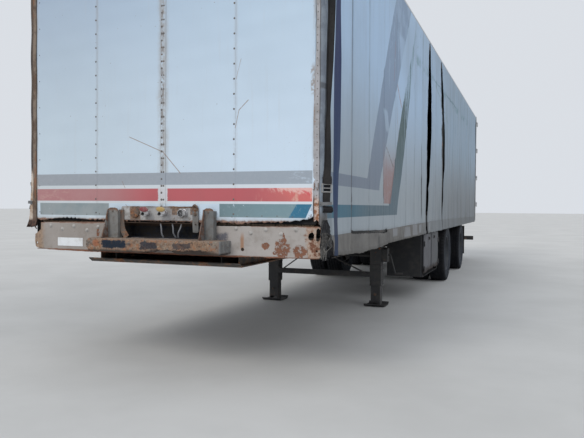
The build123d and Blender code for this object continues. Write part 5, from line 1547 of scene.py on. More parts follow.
def curtain_x(y, z, side):
    """Distance of the cloth from the trailer's middle plane."""
    k = 0 if side > 0 else 40
    up = smooth01(3.5 - z, 0.0, 0.25)
    rear = smooth01(y, 2.6, 6.2)
    x = 1.2425 + 0.0035 * waves(101 + k, 4, 1.6, y, z * 0.5) * up
    x += (0.0011 + 0.0030 * rear) * waves(102 + k, 7, 0.22, y, z * 0.10) * up
    x += (0.0006 + 0.0016 * rear) * waves(103 + k, 8, 0.085, y, z * 0.10) * up
    low = smooth01(-z, -1.9, -1.0)
    x += 0.0035 * low * waves(104 + k, 6, 0.45, y, z * 0.6)
    for i, s in enumerate(SEAM_Y):
        d = y - s - 0.012 * np.sin(z * 1.3 + i)
        x += up * (-0.0060 * np.exp(-(d / 0.012) ** 2) + 0.0028 * np.exp(-((d - 0.036) / 0.022) ** 2) + 0.0022 * np.exp(-((d + 0.034) / 0.022) ** 2))
    for i, s in enumerate(RIB_Y):
        d = y - s - 0.015 * np.sin(z * 1.1 + 2 * i)
        x += up * (0.0075 * np.exp(-(d / 0.045) ** 2) - 0.0030 * np.exp(-((d - 0.10) / 0.05) ** 2))
    # front edge rolls in to its pole, rear edge to its own
    x -= 0.010 * np.clip((0.225 - y) / 0.07, 0, 1) ** 2
    x -= 0.016 * np.clip((y - 12.00) / 0.07, 0, 1) ** 2
    # loose lower front corner
    x += 0.010 * np.clip((0.75 - y) / 0.5, 0, 1) * np.clip((1.30 - z) / 0.3, 0, 1)
    return np.clip(x, 1.2305, 1.268)


def curtain_mesh(name, side, slot_node):
    s = Shape()
    if side > 0:
        cuts = [SLIT_A, SLIT_B]
    else:
        cuts = []
    edges = []                       # section boundaries: functions of z giving y
    zf = lambda z: lerp_table(z, ((0.92, 0.255), (1.02, 0.232), (1.06, 0.160), (1.10, 0.112), (1.25, 0.108), (1.31, 0.150), (1.4, 0.168), (3.5, 0.166)))
    edges.append((zf, 0))
    for c, h in cuts:
        edges.append((lambda z, c=c, h=h: lerp_table(z, c) - ragged(z, h, 151), -1))
        edges.append((lambda z, c=c, h=h: lerp_table(z, c) + ragged(z, h, 161), 1))
    edges.append((lambda z: np.full_like(np.asarray(z, float), 12.066), 0))
    step_y = 0.026 if side > 0 else 0.045
    for i in range(0, len(edges), 2):
        ya, yb = edges[i][0], edges[i + 1][0]
        length = float(yb(np.array(2.0)) - ya(np.array(2.0)))
        n = max(4, int(length / step_y))
        u = np.linspace(0, 1, n + 1)
        # the columns' places along y at the height of the tensioning line
        ref = ya(np.array(1.06)) + u * (yb(np.array(1.06)) - ya(np.array(1.06)))
        for band in (0, 1):
            rows = (86 if side > 0 else 52) if band else 9
            v = np.linspace(0, 1, rows)
            low = lerp_table(ref, HEM) + 0.003 * waves(111, 6, 0.16, ref)
            mid = lerp_table(ref, SKIRT)
            split_up, split_low = mid.copy(), mid - 0.0005
            if side > 0:
                t = (ref > 0.729) & (ref < 2.004)
                r = np.random.default_rng(9)
                jag = 0.004 * waves(112, 7, 0.05, ref) + r.uniform(-0.002, 0.002, len(ref))
                split_up = np.where(t, lerp_table(ref, TEAR_TOP) + jag, mid)
                split_low = np.where(t, lerp_table(ref, TEAR_LOW) + 0.7 * jag[::-1], mid - 0.0005)
            z0, z1 = (low, split_low) if band == 0 else (split_up, np.full(len(u), 3.498))
            Z = z0[:, None] + (z1 - z0)[:, None] * v[None, :]
            Y = ya(Z) + u[:, None] * (yb(Z) - ya(Z))
            X = curtain_x(Y, Z, side)
            for j, (fn, e) in enumerate((edges[i], edges[i + 1])):
                if e == 0:
                    continue
                c, h = cuts[(i + j - 1) // 2]
                open_ = lerp_table(Z, h) / max(p[1] for p in h)
                d = np.abs(Y - fn(Z))
                X = X - open_ * (0.006 * np.exp(-(d / 0.030) ** 2) - 0.003 * np.exp(-((d - 0.07) / 0.03) ** 2)) \
                    + open_ * 0.0012 * np.exp(-(d / 0.05) ** 2) * waves(120 + i + j, 5, 0.9, Z)
            if band == 0:
                X = X + 0.0022 - 0.0030 * np.exp(-((Z - z1[:, None]) / 0.010) ** 2)
                X = X + 0.004 * waves(113, 5, 0.6, Y) * np.clip((1.02 - Z) / 0.1, 0, 1)
            elif side > 0:
                near = ((ref > 0.729) & (ref < 2.004))[:, None]
                X = X - near * 0.006 * np.exp(-((Z - z0[:, None]) / 0.012) ** 2)
            X = np.clip(X, 1.222, 1.270)
            P = np.stack([side * X, Y, Z], -1).reshape(-1, 3)
            s.add(P, grid_faces(n + 1, rows))
    # hem tape, doubled at the foot
    for ya_, yb_ in (((0.26, 4.432), (4.508, 5.986), (6.050, 12.06)) if side > 0 else ((0.26, 12.06),)):
        yy = np.linspace(ya_, yb_, max(20, int((yb_ - ya_) * 36)))
        hz = lerp_table(yy, HEM) + 0.003 * waves(111, 6, 0.16, yy)
        rows = []
        for dz, dx in ((0.0, 0.0030), (0.006, 0.0055), (0.020, 0.0058), (0.034, 0.0050), (0.038, 0.0030)):
            X = np.clip(curtain_x(yy, hz + dz, side) + 0.0022 + 0.004 * waves(113, 5, 0.6, yy) * np.clip((1.02 - hz - dz) / 0.1, 0, 1) + dx - 0.003, 1.222, 1.272)
            rows.append(np.stack([side * X, yy, hz + dz], -1))
        P = np.stack(rows, 1).reshape(-1, 3)
        s.add(P, grid_faces(len(yy), 5))
    o = s.make(name, [M["curtain"]], slot="curtain_cloth", replaces=(slot_node,), sharp=60)
    return o


def pw(g, t, pts):
    """A value that runs through the points (t, value) in straight pieces."""
    v = None
    for (a, va), (b, vb) in zip(pts, pts[1:]):
        term = g.clamp((t - a) / (b - a)) * (vb - va)
        v = term if v is None else v + term
    return v + pts[0][1]


def curtain_paint():
    g = G("curtain_paint")
    y, z = g.y, g.z
    here = g.step(g.x, 0.0, 0.1)              # only on the left curtain
    cloud = g.noise(0.55, 6, 0.6, off=(4, 1, 3))
    mid = g.noise(3.4, 7, 0.66, off=(2, 5, 1))
    fine = g.noise(30, 6, 0.72, off=(1, 1, 4))
    grain = g.noise(210, 3, 0.6)
    runs = g.noise(1.0, 7, 0.66, stretch=(1, 11, 0.55), off=(0, 3, 0))
    thin = g.noise(1.0, 6, 0.7, stretch=(1, 46, 1.3), off=(0, 7, 2))
    up = g.step(z, 1.3, 2.7)
    rear = g.step(y, 2.5, 8.0)
    # painted light: the cloth is drawn darker and greyer low down and paler and bluer high up, as the sky lights it
    col = g.mix(up, (0.322, 0.366, 0.400), (0.390, 0.535, 0.715))
    col = g.mix(rear * 0.66, col, g.mix(up, (0.215, 0.245, 0.270), (0.235, 0.295, 0.340)))
    low = g.step(z + (runs - 0.5) * 0.9, 2.30, 1.05)
    col = g.mix(low * (rear * 0.45 + 0.12), col, (0.150, 0.155, 0.158))
    col = g.mix(g.step(cloud, 0.42, 0.70) * 0.28, col, (0.24, 0.285, 0.325))
    col = g.mix(g.step(runs, 0.50, 0.74) * (rear * 0.40 + 0.14), col, (0.175, 0.180, 0.182))
    col = g.mix(g.step(thin, 0.54, 0.72) * (rear * 0.40 + 0.10), col, (0.125, 0.125, 0.122))
    col = g.mix(g.step(thin, 0.44, 0.30) * (rear * 0.30 + 0.06), col, (0.38, 0.43, 0.47))
    brown = g.step(g.noise(1.0, 6, 0.66, stretch=(1, 6, 0.8), off=(9, 2, 2)), 0.56, 0.70) * g.step(z, 2.1, 1.3) * rear
    col = g.mix(brown * 0.40, col, (0.22, 0.19, 0.165))
    rag = (fine - 0.5) * 0.016
    # grey: band along the side, then up in a broad slanting bar
    gl = y - (z - 1.523) * 0.609 - 1.218
    gr = y - (z - 1.423) * 0.746 - 1.630
    bar = g.step(gl + rag, -0.006, 0.006) * g.step(gr + rag, 0.008, -0.008) * g.step(z, 1.418, 1.423)
    band = g.band(z, 1.421, 1.511, 0.0022) * g.step(y, 1.70, 1.62)
    wear = g.step(mid * 0.55 + thin * 0.45 + g.step(z, 2.3, 3.3) * 0.10, 0.585, 0.63)
    vee = g.step(g.ab(gl - 0.62 + (z - 2.95) * 0.9), 0.16, 0.12) * g.step(z, 2.70, 2.75) * g.step(z, 3.12, 3.05)
    vee = g.mx(vee, g.step(g.ab(gl - 0.40 + (z - 2.10) * 1.2), 0.10, 0.07) * g.step(z, 1.98, 2.02) * g.step(z, 2.22, 2.18))
    # painted light: the grey livery takes the same darkening low down
    gcol = g.mix(up, (0.170, 0.202, 0.250), (0.228, 0.310, 0.430))
    gcol = g.mix(g.step(thin, 0.5, 0.7) * 0.25, gcol, (0.24, 0.27, 0.31))
    col = g.mix(g.mx(bar, band) * g.inv(wear * 0.45) * g.inv(vee * 0.65), col, gcol)
    # teal: band, then a thinner bar that ends in streaks
    tl = y - pw(g, z, ((1.289, 2.109), (2.313, 2.716), (3.087, 3.273), (3.5, 3.55)))
    tr = y - pw(g, z, ((1.186, 2.507), (2.189, 3.013), (2.987, 3.344), (3.5, 3.56)))
    tbar = g.step(tl + rag, -0.006, 0.006) * g.step(tr + rag, 0.008, -0.008) * g.step(z, 1.1865, 1.1895)
    tband = g.band(z, 1.188, 1.283, 0.0022) * g.step(y, 2.52, 2.46)
    peel = g.step(g.noise(1.0, 7, 0.7, stretch=(1, 26, 1.6), off=(3, 1, 1)) + g.step(z, 1.7, 3.1) * 0.16, 0.56, 0.62)
    tcol = g.mix(g.step(y, 0.3, 1.6), (0.048, 0.135, 0.190), (0.090, 0.135, 0.165))
    tcol = g.mix(g.step(z, 1.3, 2.2), tcol, (0.065, 0.110, 0.115))
    tcol = g.mix(g.step(z, 2.2, 2.9) * 0.7, tcol, (0.070, 0.165, 0.175))
    tcol = g.mix(g.step(thin, 0.50, 0.68) * 0.35, tcol, (0.17, 0.21, 0.235))
    nick = g.cells(9, off=(2, 2, 1))
    nick = g.step(nick, 0.12, 0.07) * g.step(z, 1.9, 2.3)
    col = g.mix(tbar * g.inv(peel * g.step(z, 1.6, 2.4) * 0.85) * g.inv(nick * 0.6), col, tcol)
    col = g.mix(tband, col, tcol)
    smear = g.step(g.ab(z - 3.085 + (mid - 0.5) * 0.35 - (y - 6.0) * 0.006), 0.075, 0.02) * g.band(y, 3.4, 10.0, 0.3) * g.step(mid, 0.46, 0.60)
    smear = g.mx(smear, g.step(mid * 0.6 + fine * 0.4, 0.56, 0.62) * g.step(g.ab(y - 3.45 - (z - 2.9) * 0.5), 0.22, 0.08) * g.step(z, 2.3, 2.6))
    col = g.mix(smear * 0.55, col, (0.115, 0.215, 0.225))
    # remains of a red bar between them
    ra = y - (1.859 - (z - 1.306) * 0.109)
    rb = y - (2.173 + (z - 1.309) * 0.49)
    red = g.step(ra + rag, -0.004, 0.004) * g.step(rb + rag, 0.01, -0.01) * g.step(z, 1.300, 1.304)
    fade = g.step(z + (mid - 0.5) * 0.5, 1.95, 1.45) * g.step(thin * 0.5 + fine * 0.5, 0.30, 0.52)
    col = g.mix(red * g.step(z, 1.95, 1.6) * (fade * 0.55 + 0.22), col, (0.270, 0.135, 0.120))
    for a, b, w, c, k in (((1.823, 1.636), (1.859, 1.306), 0.012, (0.15, 0.14, 0.145), 0.7), ((1.974, 1.840), (2.289, 1.679), 0.016, (0.15, 0.13, 0.12), 0.8),
                          ((2.457, 2.533), (2.680, 2.340), 0.016, (0.33, 0.15, 0.14), 0.75), ((2.44, 2.30), (2.56, 1.95), 0.010, (0.30, 0.20, 0.19), 0.5),
                          ((2.30, 2.55), (2.34, 2.95), 0.012, (0.30, 0.17, 0.16), 0.5), ((5.2, 3.02), (6.6, 2.66), 0.020, (0.20, 0.28, 0.29), 0.5)):
        col = g.mix(g.line(a, b, w, y + rag * 1.5, z) * g.step(fine, 0.34, 0.5) * k, col, c)
    # painted shade in the two slits' lower ends and along their edges: the openings drawn dark
    for c, w in ((SLIT_A[0], 0.075), (SLIT_B[0], 0.060)):
        d = g.ab(y - pw(g, z, c) + (mid - 0.5) * 0.02)
        slit_shade = g.step(d, w, w * 0.55) * g.step(z, 1.50, 1.25)
        col = g.mix(g.mx(slit_shade * 0.92, g.step(d, 0.16, 0.05) * g.step(z, 1.75, 1.35) * 0.35) * here, col, (0.030, 0.032, 0.036))
    # welded seams and the ribs behind the cloth
    for i, s in enumerate(SEAM_Y):
        w = 0.011 if i else 0.024
        k = {0: 0.50, 1: 0.34, 6: 0.30}.get(i, 0.22)
        d = g.ab(y - s + (mid - 0.5) * 0.020)
        col = g.mix(g.step(d, w, w * 0.3) * k, col, (0.13, 0.14, 0.155) if i else (0.060, 0.064, 0.075))
        col = g.mix(g.step(d, 0.10, 0.0) * (0.10 + 0.12 * (i > 5)) * g.step(runs, 0.35, 0.6), col, (0.22, 0.22, 0.22))
    # painted shade: a dark line down a partly open seam, darkest low down, and a thinner one above it
    dl = g.ab(y - pw(g, z, ((1.10, 4.040), (1.48, 4.015), (1.82, 3.993), (2.06, 3.977))))
    col = g.mix(g.step(dl, 0.040, 0.014) * g.band(z, 1.15, 1.66, 0.05) * here * 0.95, col, (0.045, 0.048, 0.052))
    col = g.mix(g.step(dl, 0.022, 0.006) * g.band(z, 1.55, 2.06, 0.04) * 0.60, col, (0.070, 0.076, 0.082))
    col = g.mix(g.step(g.ab(y - 3.475), 0.018, 0.005) * g.band(z, 1.14, 2.0, 0.05) * 0.45, col, (0.10, 0.105, 0.11))
    col = g.mix(g.step(g.ab(y - 4.025 + rag), 0.034, 0.012) * g.band(z, 2.82, 3.40, 0.06) * g.step(thin, 0.36, 0.52) * 0.7, col, (0.075, 0.150, 0.175))
    col = g.mix(g.step(g.ab(z - 3.085 - (y - 6.0) * 0.006 + rag), 0.018, 0.006) * g.band(y, 6.3, 7.8, 0.15) * 0.55, col, (0.075, 0.150, 0.165))
    col = g.mix(g.step(g.ab(z - 3.075 + rag), 0.015, 0.005) * g.band(y, 4.95, 5.70, 0.06) * 0.45, col, (0.090, 0.165, 0.185))
    col = g.mix(g.step(g.ab(y - 0.72), 0.026, 0.010) * g.step(z, 1.75, 1.45) * 0.8, col, (0.050, 0.053, 0.062))
    for s in RIB_Y:
        d = g.ab(y - s + (mid - 0.5) * 0.03)
        col = g.mix(g.step(d, 0.05, 0.01) * 0.30 * g.step(thin, 0.32, 0.55), col, (0.15, 0.14, 0.13))
    # skirt below the tensioning line
    sk = g.step(z - pw(g, y, SKIRT), 0.002, -0.002)
    scol = g.mix(g.step(mid, 0.38, 0.66), (0.165, 0.155, 0.143), (0.110, 0.102, 0.094))
    scol = g.mix(g.step(runs, 0.50, 0.68) * 0.45, scol, (0.080, 0.075, 0.070))
    scol = g.mix(g.step(g.noise(1.0, 6, 0.7, stretch=(1, 5, 2.2), off=(5, 5, 5)), 0.55, 0.66) * g.step(y, 1.5, 3.0) * 0.55, scol, (0.215, 0.215, 0.210))
    lowf = g.step(z - pw(g, y, HEM), 0.050, 0.010)
    scol = g.mix(lowf * 0.35, scol, (0.075, 0.068, 0.060))
    for y0, y1, z0, z1 in ((2.93, 3.24, 0.935, 1.045), (3.43, 3.72, 0.930, 1.060), (3.86, 4.05, 0.95, 1.05), (4.60, 4.80, 0.95, 1.06), (2.30, 2.52, 0.97, 1.05)):
        m = g.band(y + (mid - 0.5) * 0.12, y0, y1, 0.03) * g.band(z + (mid - 0.5) * 0.03, z0, z1, 0.012)
        scol = g.mix(m * 0.75, scol, (0.245, 0.250, 0.262))
    scol = g.mix(g.step(g.ab(y - 1.66), 0.05, 0.02) * g.step(z, 1.02, 0.98) * 0.6, scol, (0.045, 0.043, 0.042))
    far = g.step(y, 3.4, 5.6)
    # painted shade: the two slits drawn dark down through the skirt
    split = g.mx(g.step(g.ab(y - pw(g, z, SLIT_A[0])), 0.075, 0.045), g.step(g.ab(y - pw(g, z, SLIT_B[0])), 0.060, 0.035))
    scol = g.mix(split * 0.92 * here, scol, (0.030, 0.032, 0.036))
    col = g.mix(sk * (g.inv(far) * 0.63 + 0.30), col, scol)
    above = g.step(z - pw(g, y, SKIRT), 0.035, 0.0) * g.inv(sk)
    col = g.mix(above * 0.30 * g.step(mid, 0.35, 0.6), col, (0.14, 0.14, 0.14))
    # painted shade: near black along the tear's lower lip and at its rear end
    tz = z - pw(g, y, TEAR_LOW)
    tear_shade = g.step(g.ab(tz - 0.008 + (fine - 0.5) * 0.022), 0.016, 0.008) * g.band(y, 0.725, 2.01, 0.01)
    tear_shade = g.mx(tear_shade, g.band(y, 1.95, 2.01, 0.012) * g.band(tz, 0.0, 0.030, 0.006))
    col = g.mix(tear_shade * 0.95 * here, col, (0.010, 0.010, 0.012))
    col = g.mix(g.band(tz, 0.030, 0.048, 0.004) * g.band(y, 0.75, 1.9, 0.02) * g.step(fine, 0.5, 0.6) * here * 0.25, col, (0.34, 0.36, 0.38))
    # dark blue strip near the front edge
    bl = y - pw(g, z, ((0.93, 0.262), (1.07, 0.250), (2.02, 0.246), (2.23, 0.250), (2.45, 0.270), (2.72, 0.285), (3.50, 0.300)))
    br = y - pw(g, z, ((0.93, 0.335), (1.16, 0.330), (1.32, 0.361), (1.50, 0.370), (1.61, 0.398), (1.83, 0.412), (2.34, 0.422), (2.70, 0.407), (3.50, 0.405)))
    strip = g.step(bl, -0.003, 0.003) * g.step(br, 0.004, -0.004)
    bcol = g.mix(g.step(z, 1.5, 2.4), (0.013, 0.035, 0.096), (0.006, 0.018, 0.084))
    bcol = g.mix(g.step(z, 1.30, 1.15) * 0.75, bcol, (0.042, 0.052, 0.084))
    # painted highlight: paler blue along the strip's front edge, higher up
    bcol = g.mix(g.step(bl, 0.045, 0.020) * g.step(z, 1.9, 2.5) * 0.28, bcol, (0.045, 0.058, 0.120))
    bcol = g.mix(g.step(fine, 0.55, 0.70) * 0.18, bcol, (0.070, 0.082, 0.120))
    col = g.mix(strip * g.inv(g.step(fine * 0.5 + mid * 0.5, 0.62, 0.66) * 0.6), col, bcol)
    edge = g.step(y, 0.235, 0.195) * g.step(z, 1.55, 1.20)
    col = g.mix(edge * 0.45, col, (0.15, 0.165, 0.18))
    weave = g.noise(1.0, 3, 0.6, stretch=(1, 420, 420))
    h = grain * 0.3 + weave * 0.25 + thin * 0.5
    return g.done(col, g.clamp(0.46 + fine * 0.14 + sk * 0.22 + rear * 0.10), normal=g.bump(h, 0.0012, 0.45), spec=0.16)


M["curtain"] = curtain_paint()
for side, nm, node in ((1, "curtain_cloth_left", "curtain_left"), (-1, "curtain_cloth_right", "curtain_right")):
    curtain_mesh(nm, side, node)

# ------------------------------------------------------------------ curtain tensioners and the corner straps
M["web"] = rubber("dark_webbing", (0.017, 0.016, 0.017), dust=0.12, rough=0.9)
M["web_grey"] = rubber("grey_cloth", (0.052, 0.051, 0.050), dust=0.2, rough=0.95)
M["web_pale"] = rubber("pale_grey_cloth", (0.125, 0.122, 0.118), dust=0.3, rough=0.95)
M["rag_black"] = rubber("black_cloth", (0.010, 0.010, 0.012), dust=0.1, rough=0.95)
M["rag_dark"] = rubber("dark_cloth", (0.022, 0.024, 0.030), dust=0.2, rough=0.95)
M["plate_cloth"] = rubber("pale_cloth", (0.135, 0.130, 0.120), dust=0.2, rough=0.9)
M["chrome"] = alloy("worn_chrome", (0.33, 0.325, 0.32), 0.38, 0.7, 0.5)
M["barsteel"] = steel("bar_paint", (0.16, 0.165, 0.175), rust=0.3, dirt=0.4, seed=17.0, rough=0.55)


def ribbon(shape, path, across, width, thick=0.003, mat=0, cup=0.0):
    """A flat strap along the path; across gives the direction of its width at each point."""
    p = np.asarray(path, float)
    t = np.gradient(p, axis=0)
    t /= np.linalg.norm(t, axis=1)[:, None]
    n = len(p)
    w = np.broadcast_to(np.asarray(width, float), (n,))
    a = np.broadcast_to(np.asarray(across, float), (n, 3))
    vs = []
    k = 7
    for i in range(n):
        e = unit(a[i] - t[i] * np.dot(a[i], t[i]))
        m = np.cross(t[i], e)
        for lay in (-0.5, 0.5):
            for j in range(k):
                q = (j / (k - 1) - 0.5)
                vs.append(p[i] + e * q * w[i] + m * (lay * thick + cup * (0.25 - q * q) * w[i]))
    fs = []
    for i in range(n - 1):
        for j in range(k - 1):
            a0 = i * 2 * k + j
            fs.append((a0, a0 + 1, a0 + 1 + 2 * k, a0 + 2 * k))
            b0 = a0 + k
            fs.append((b0 + 2 * k, b0 + 1 + 2 * k, b0 + 1, b0))
        for j in (0, k - 1):
            a0 = i * 2 * k + j
            fs.append((a0, a0 + k, a0 + 3 * k, a0 + 2 * k))
    for i in (0, n - 1):
        b0 = i * 2 * k
        for j in range(k - 1):
            fs.append((b0 + j, b0 + j + 1, b0 + k + j + 1, b0 + k + j))
    shape.add(vs, fs, mat)


def frame_bar(shape, c, across, w, h, slots, mat):
    """A buckle: an upright ring with cross bars, facing across x up."""
    c, e = np.asarray(c, float), unit(across)
    zv = np.array([0, 0, 1.0])
    cor = [(-w / 2, -h / 2), (w / 2, -h / 2), (w / 2, h / 2), (-w / 2, h / 2)]
    for a, b in zip(cor, cor[1:] + cor[:1]):
        shape.add(*rod(c + e * a[0] + zv * a[1], c + e * b[0] + zv * b[1], 0.0048, 10), mat)
    for q in cor:
        shape.add(*lathe(c + e * q[0] + zv * (q[1] - 0.0052), (0, 0, 1), [(0, 0), (0.0006, 0.0035), (0.0052, 0.0052), (0.0098, 0.0035), (0.0104, 0)], 10), mat)
    for s in slots:
        shape.add(*rod(c - e * w / 2 + zv * s, c + e * w / 2 + zv * s, 0.0038, 10), mat)


for side, tag in ((1, "left"), (-1, "right")):
    f = lambda x, y, z: (side * x, y, z)
    tn = Shape()
    for py_ in (0.126, 12.040):
        tn.add(*lathe((side * 1.212, py_, 1.005), (0, 0, 1), [(0, 0), (0, 0.017), (0.10, 0.017), (0.101, 0.0165), (2.47, 0.0165), (2.475, 0.010), (2.48, 0)], 18), 0)
        for z in (1.06, 1.22, 1.335, 3.40):
            tn.add(*lathe((side * 1.212, py_, z), (0, 0, 1), [(0, 0.0165), (0.001, 0.0205), (0.022, 0.0205), (0.023, 0.0165)], 18), 0)
        for k in range(10):
            a = 2 * math.pi * k / 10
            tn.add(*cbox((side * 1.212 + 0.019 * math.cos(a) - 0.0022, py_ + 0.019 * math.sin(a) - 0.0022, 1.12), (side * 1.212 + 0.019 * math.cos(a) + 0.0022, py_ + 0.019 * math.sin(a) + 0.0022, 1.145), 0.0005), 0)
        tn.add(*lathe((side * 1.212, py_, 1.116), (0, 0, 1), [(0, 0.0165), (0, 0.022), (0.034, 0.022), (0.034, 0.0165)], 20), 0)
    # the rear strap's lever
    tn.add(*cbox((min(side * 1.247, side * 1.256), 12.060, 1.36), (max(side * 1.247, side * 1.256), 12.095, 1.42), 0.002), 0)
    # front buckle on the strap
    A = np.array([side * 0.62, 0.78, 0.0])
    c0 = np.array([side * 1.2670, 0.030, 1.392])
    frame_bar(tn, c0, A, 0.074, 0.052, (0.0,), 1)
    for s in (-0.037, 0.037):
        lo = c0 + A * s - np.array([0.0032, 0.0032, 0.031])
        tn.add(*cbox(tuple(lo), tuple(lo + np.array([0.0064, 0.0064, 0.062])), 0.001), 1)
    tn.make("curtain_poles_and_buckle_" + tag, [M["galv"], M["chrome"]], slot="tensioner_steel", sharp=40,
            replaces=("curtain_tensioners",) if side > 0 else ())

    st = Shape()
    top = curve_points([f(1.262, 0.145, 3.44), f(1.265, 0.128, 3.0), f(1.268, 0.112, 2.65), f(1.268, 0.081, 2.25), f(1.268, 0.061, 2.05), f(1.268, 0.052, 1.92),
                        f(1.268, 0.046, 1.80), f(1.268, 0.045, 1.56), f(1.268, 0.034, 1.49), f(1.268, 0.032, 1.446)], 90)
    zt_ = top[:, 2][::-1]
    wid = np.interp(top[:, 2], [1.43, 1.49, 1.56, 1.78, 1.92, 2.05, 2.25, 2.65, 3.44], [0.071, 0.058, 0.055, 0.044, 0.032, 0.042, 0.056, 0.066, 0.068])
    tt = np.clip((3.44 - top[:, 2]) / 2.0, 0, 1)
    ac = np.stack([side * (0.45 + 0.17 * tt), 0.89 - 0.11 * tt, 0 * tt], -1)
    ribbon(st, top, ac, wid, 0.003, 0, 0.08)
    ribbon(st, top + np.array([side * 0.0028, -0.002, 0]), ac, wid * 0.66, 0.0022, 0, 0.10)
    # doubled loop above the buckle and the webbing below it
    for i, (za, zb, w0, w1, off) in enumerate(((1.470, 1.417, 0.070, 0.072, 0.004), (1.452, 1.420, 0.062, 0.066, 0.009), (1.372, 1.292, 0.058, 0.062, 0.0),
                                             (1.366, 1.300, 0.050, 0.052, 0.004))):
        zz = np.linspace(za, zb, 16)
        q = np.linspace(0, 1, 16)
        p = np.stack([side * (1.2650 + off + 0.002 * np.sin(3 * q + i)), 0.033 - 0.5 * off + 0 * q, zz], -1)
        ribbon(st, p, A, w0 + (w1 - w0) * q, 0.004, 0, 0.08)
    # painted shade: the strap's back seen in the buckle's slots takes the black shade finish
    zz = np.linspace(1.420, 1.364, 8)          # the dark back of the strap in the buckle's slots
    p = np.stack([side * (1.2605 + 0 * zz), 0.0350 + 0 * zz, zz], -1)
    ribbon(st, p, A, 0.068, 0.003, 2, 0.0)
    ang = np.linspace(-0.3 * math.pi, 1.9 * math.pi, 40)
    rr = 0.018 + 0.006 * ang / (2 * math.pi)
    nrm = np.array([side * 0.78, -0.62, 0.0])
    p = np.array([np.array([side * 1.268, 0.036, 1.250]) + nrm * r_ * math.cos(t_) + np.array([0, 0, 1]) * r_ * math.sin(t_) for r_, t_ in zip(rr, ang)])
    ribbon(st, p, A, 0.072, 0.004, 0, 0.0)
    st.make("corner_strap_" + tag, [M["web"], M["web_grey"], M["void"]], slot="flap_rubber", sharp=50)

    br = Shape()
    v, fcs = sweep(curve_points([f(1.236, -0.009, 1.286), f(1.262, -0.007, 1.287), f(1.287, 0.010, 1.288), f(1.2975, 0.040, 1.289), f(1.288, 0.080, 1.290), f(1.266, 0.122, 1.290), f(1.2555, 0.150, 1.290)], 40),
                   [(-0.011, -0.003), (0.011, -0.003), (0.011, 0.003), (-0.011, 0.003)], up=(0, 0, 1))
    br.add(v, fcs, 0)
    br.add(*cbox((min(side * 1.229, side * 1.244), -0.0125, 1.270), (max(side * 1.229, side * 1.244), -0.0065, 1.302), 0.001), 0)
    nuts(br, [f(1.2365, -0.0125, 1.286)], (0, -1, 0), 0.005, 0.004, 0)
    br.make("corner_bar_" + tag, [M["barsteel"]], slot="tensioner_steel", sharp=40)


# bunched, torn cloth that hangs under the bar at the near front corner
def bunch(name, mat, base, zt, zb, nf, depth, seed, taper):
    nu, nv_ = 64, 44
    pts = curve_points([(x, y, 0.0) for x, y in base], 80)[:, :2]
    d = np.gradient(pts, axis=0)
    nrm = np.stack([d[:, 1], -d[:, 0]], -1)
    nrm /= np.linalg.norm(nrm, axis=1)[:, None]
    u = np.linspace(0, 1, nu)[:, None]
    v_ = np.linspace(0, 1, nv_)[None, :]
    lo_ = np.interp(v_[0], [0, 0.35, 0.7, 1.0], [t[0] for t in taper])[None, :]
    hi_ = np.interp(v_[0], [0, 0.35, 0.7, 1.0], [t[1] for t in taper])[None, :]
    uu = np.clip(lo_ + (hi_ - lo_) * u, 0, 1)
    bx_, by_ = np.interp(uu, np.linspace(0, 1, 80), pts[:, 0]), np.interp(uu, np.linspace(0, 1, 80), pts[:, 1])
    nx, ny = np.interp(uu, np.linspace(0, 1, 80), nrm[:, 0]), np.interp(uu, np.linspace(0, 1, 80), nrm[:, 1])
    ph = u * nf * 2 * math.pi + 1.2 * np.sin(3 * v_ + seed) + 0.8 * waves(seed + 1, 4, 0.4, u, v_)
    dep = depth * (0.45 + 0.55 * v_) * (1 + 0.3 * waves(seed, 4, 0.5, v_))
    off = dep * np.sin(ph) + 0.003 * waves(seed + 5, 5, 0.2, u, v_)
    X, Y = bx_ + nx * off, by_ + ny * off
    Z = zt + (zb + 0.016 * waves(seed + 2, 5, 0.3, u) - zt) * v_ + 0 * u
    Y = np.where(X < 1.2535, np.minimum(Y, -0.0105), Y)
    X = np.where(Y > -0.009, np.maximum(X, 1.2535), X)
    X = np.minimum(X, 1.306)
    s_ = Shape()
    s_.add(np.stack([X, Y, Z], -1).reshape(-1, 3), grid_faces(nu, nv_))
    o = s_.make(name, [mat], slot="curtain_cloth", sharp=70)
    return o


WRAP = ((1.236, -0.016), (1.254, -0.012), (1.268, 0.012), (1.272, 0.060), (1.268, 0.140))
bunch("hanging_cloth_dark", M["rag_dark"], WRAP, 1.178, 1.000, 4.4, 0.010, 5, ((0.30, 0.62), (0.14, 0.86), (0.08, 0.98), (0.05, 1.0)))
bunch("hanging_cloth_grey", M["web_grey"], [(x + 0.009, y - 0.004) for x, y in WRAP], 1.092, 0.990, 2.3, 0.005, 9, ((0.10, 0.55), (0.02, 0.90), (0.0, 0.98), (0.04, 0.90)))
bunch("hanging_cloth_pale", M["web_pale"], [(x + 0.004, y - 0.002) for x, y in WRAP], 1.000, 0.922, 2.0, 0.005, 21, ((0.05, 0.60), (0.0, 0.60), (0.0, 0.58), (0.03, 0.55)))
bunch("hanging_cloth_low", M["rag_black"], ((1.264, 0.050), (1.268, 0.100), (1.262, 0.150), (1.258, 0.205)), 1.060, 0.915, 2.6, 0.010, 13, ((0.10, 0.60), (0.0, 0.85), (0.0, 1.0), (0.1, 0.95)))
fl = Shape()      # pale edge of a fold, and a loose end of pale cord
vee = curve_points([(1.252, -0.022, 1.004), (1.268, -0.019, 0.984), (1.281, -0.006, 0.966), (1.291, 0.030, 0.980), (1.292, 0.070, 0.996)], 40)
vee = np.vstack([np.linspace((1.250, -0.024, 1.006), (1.2755, -0.014, 0.963), 16), np.linspace((1.2765, -0.013, 0.963), (1.291, 0.066, 0.994), 20)])
ribbon(fl, vee, (0.45, 0.3, 0.84), 0.0065, 0.0026, 0, 0.0)
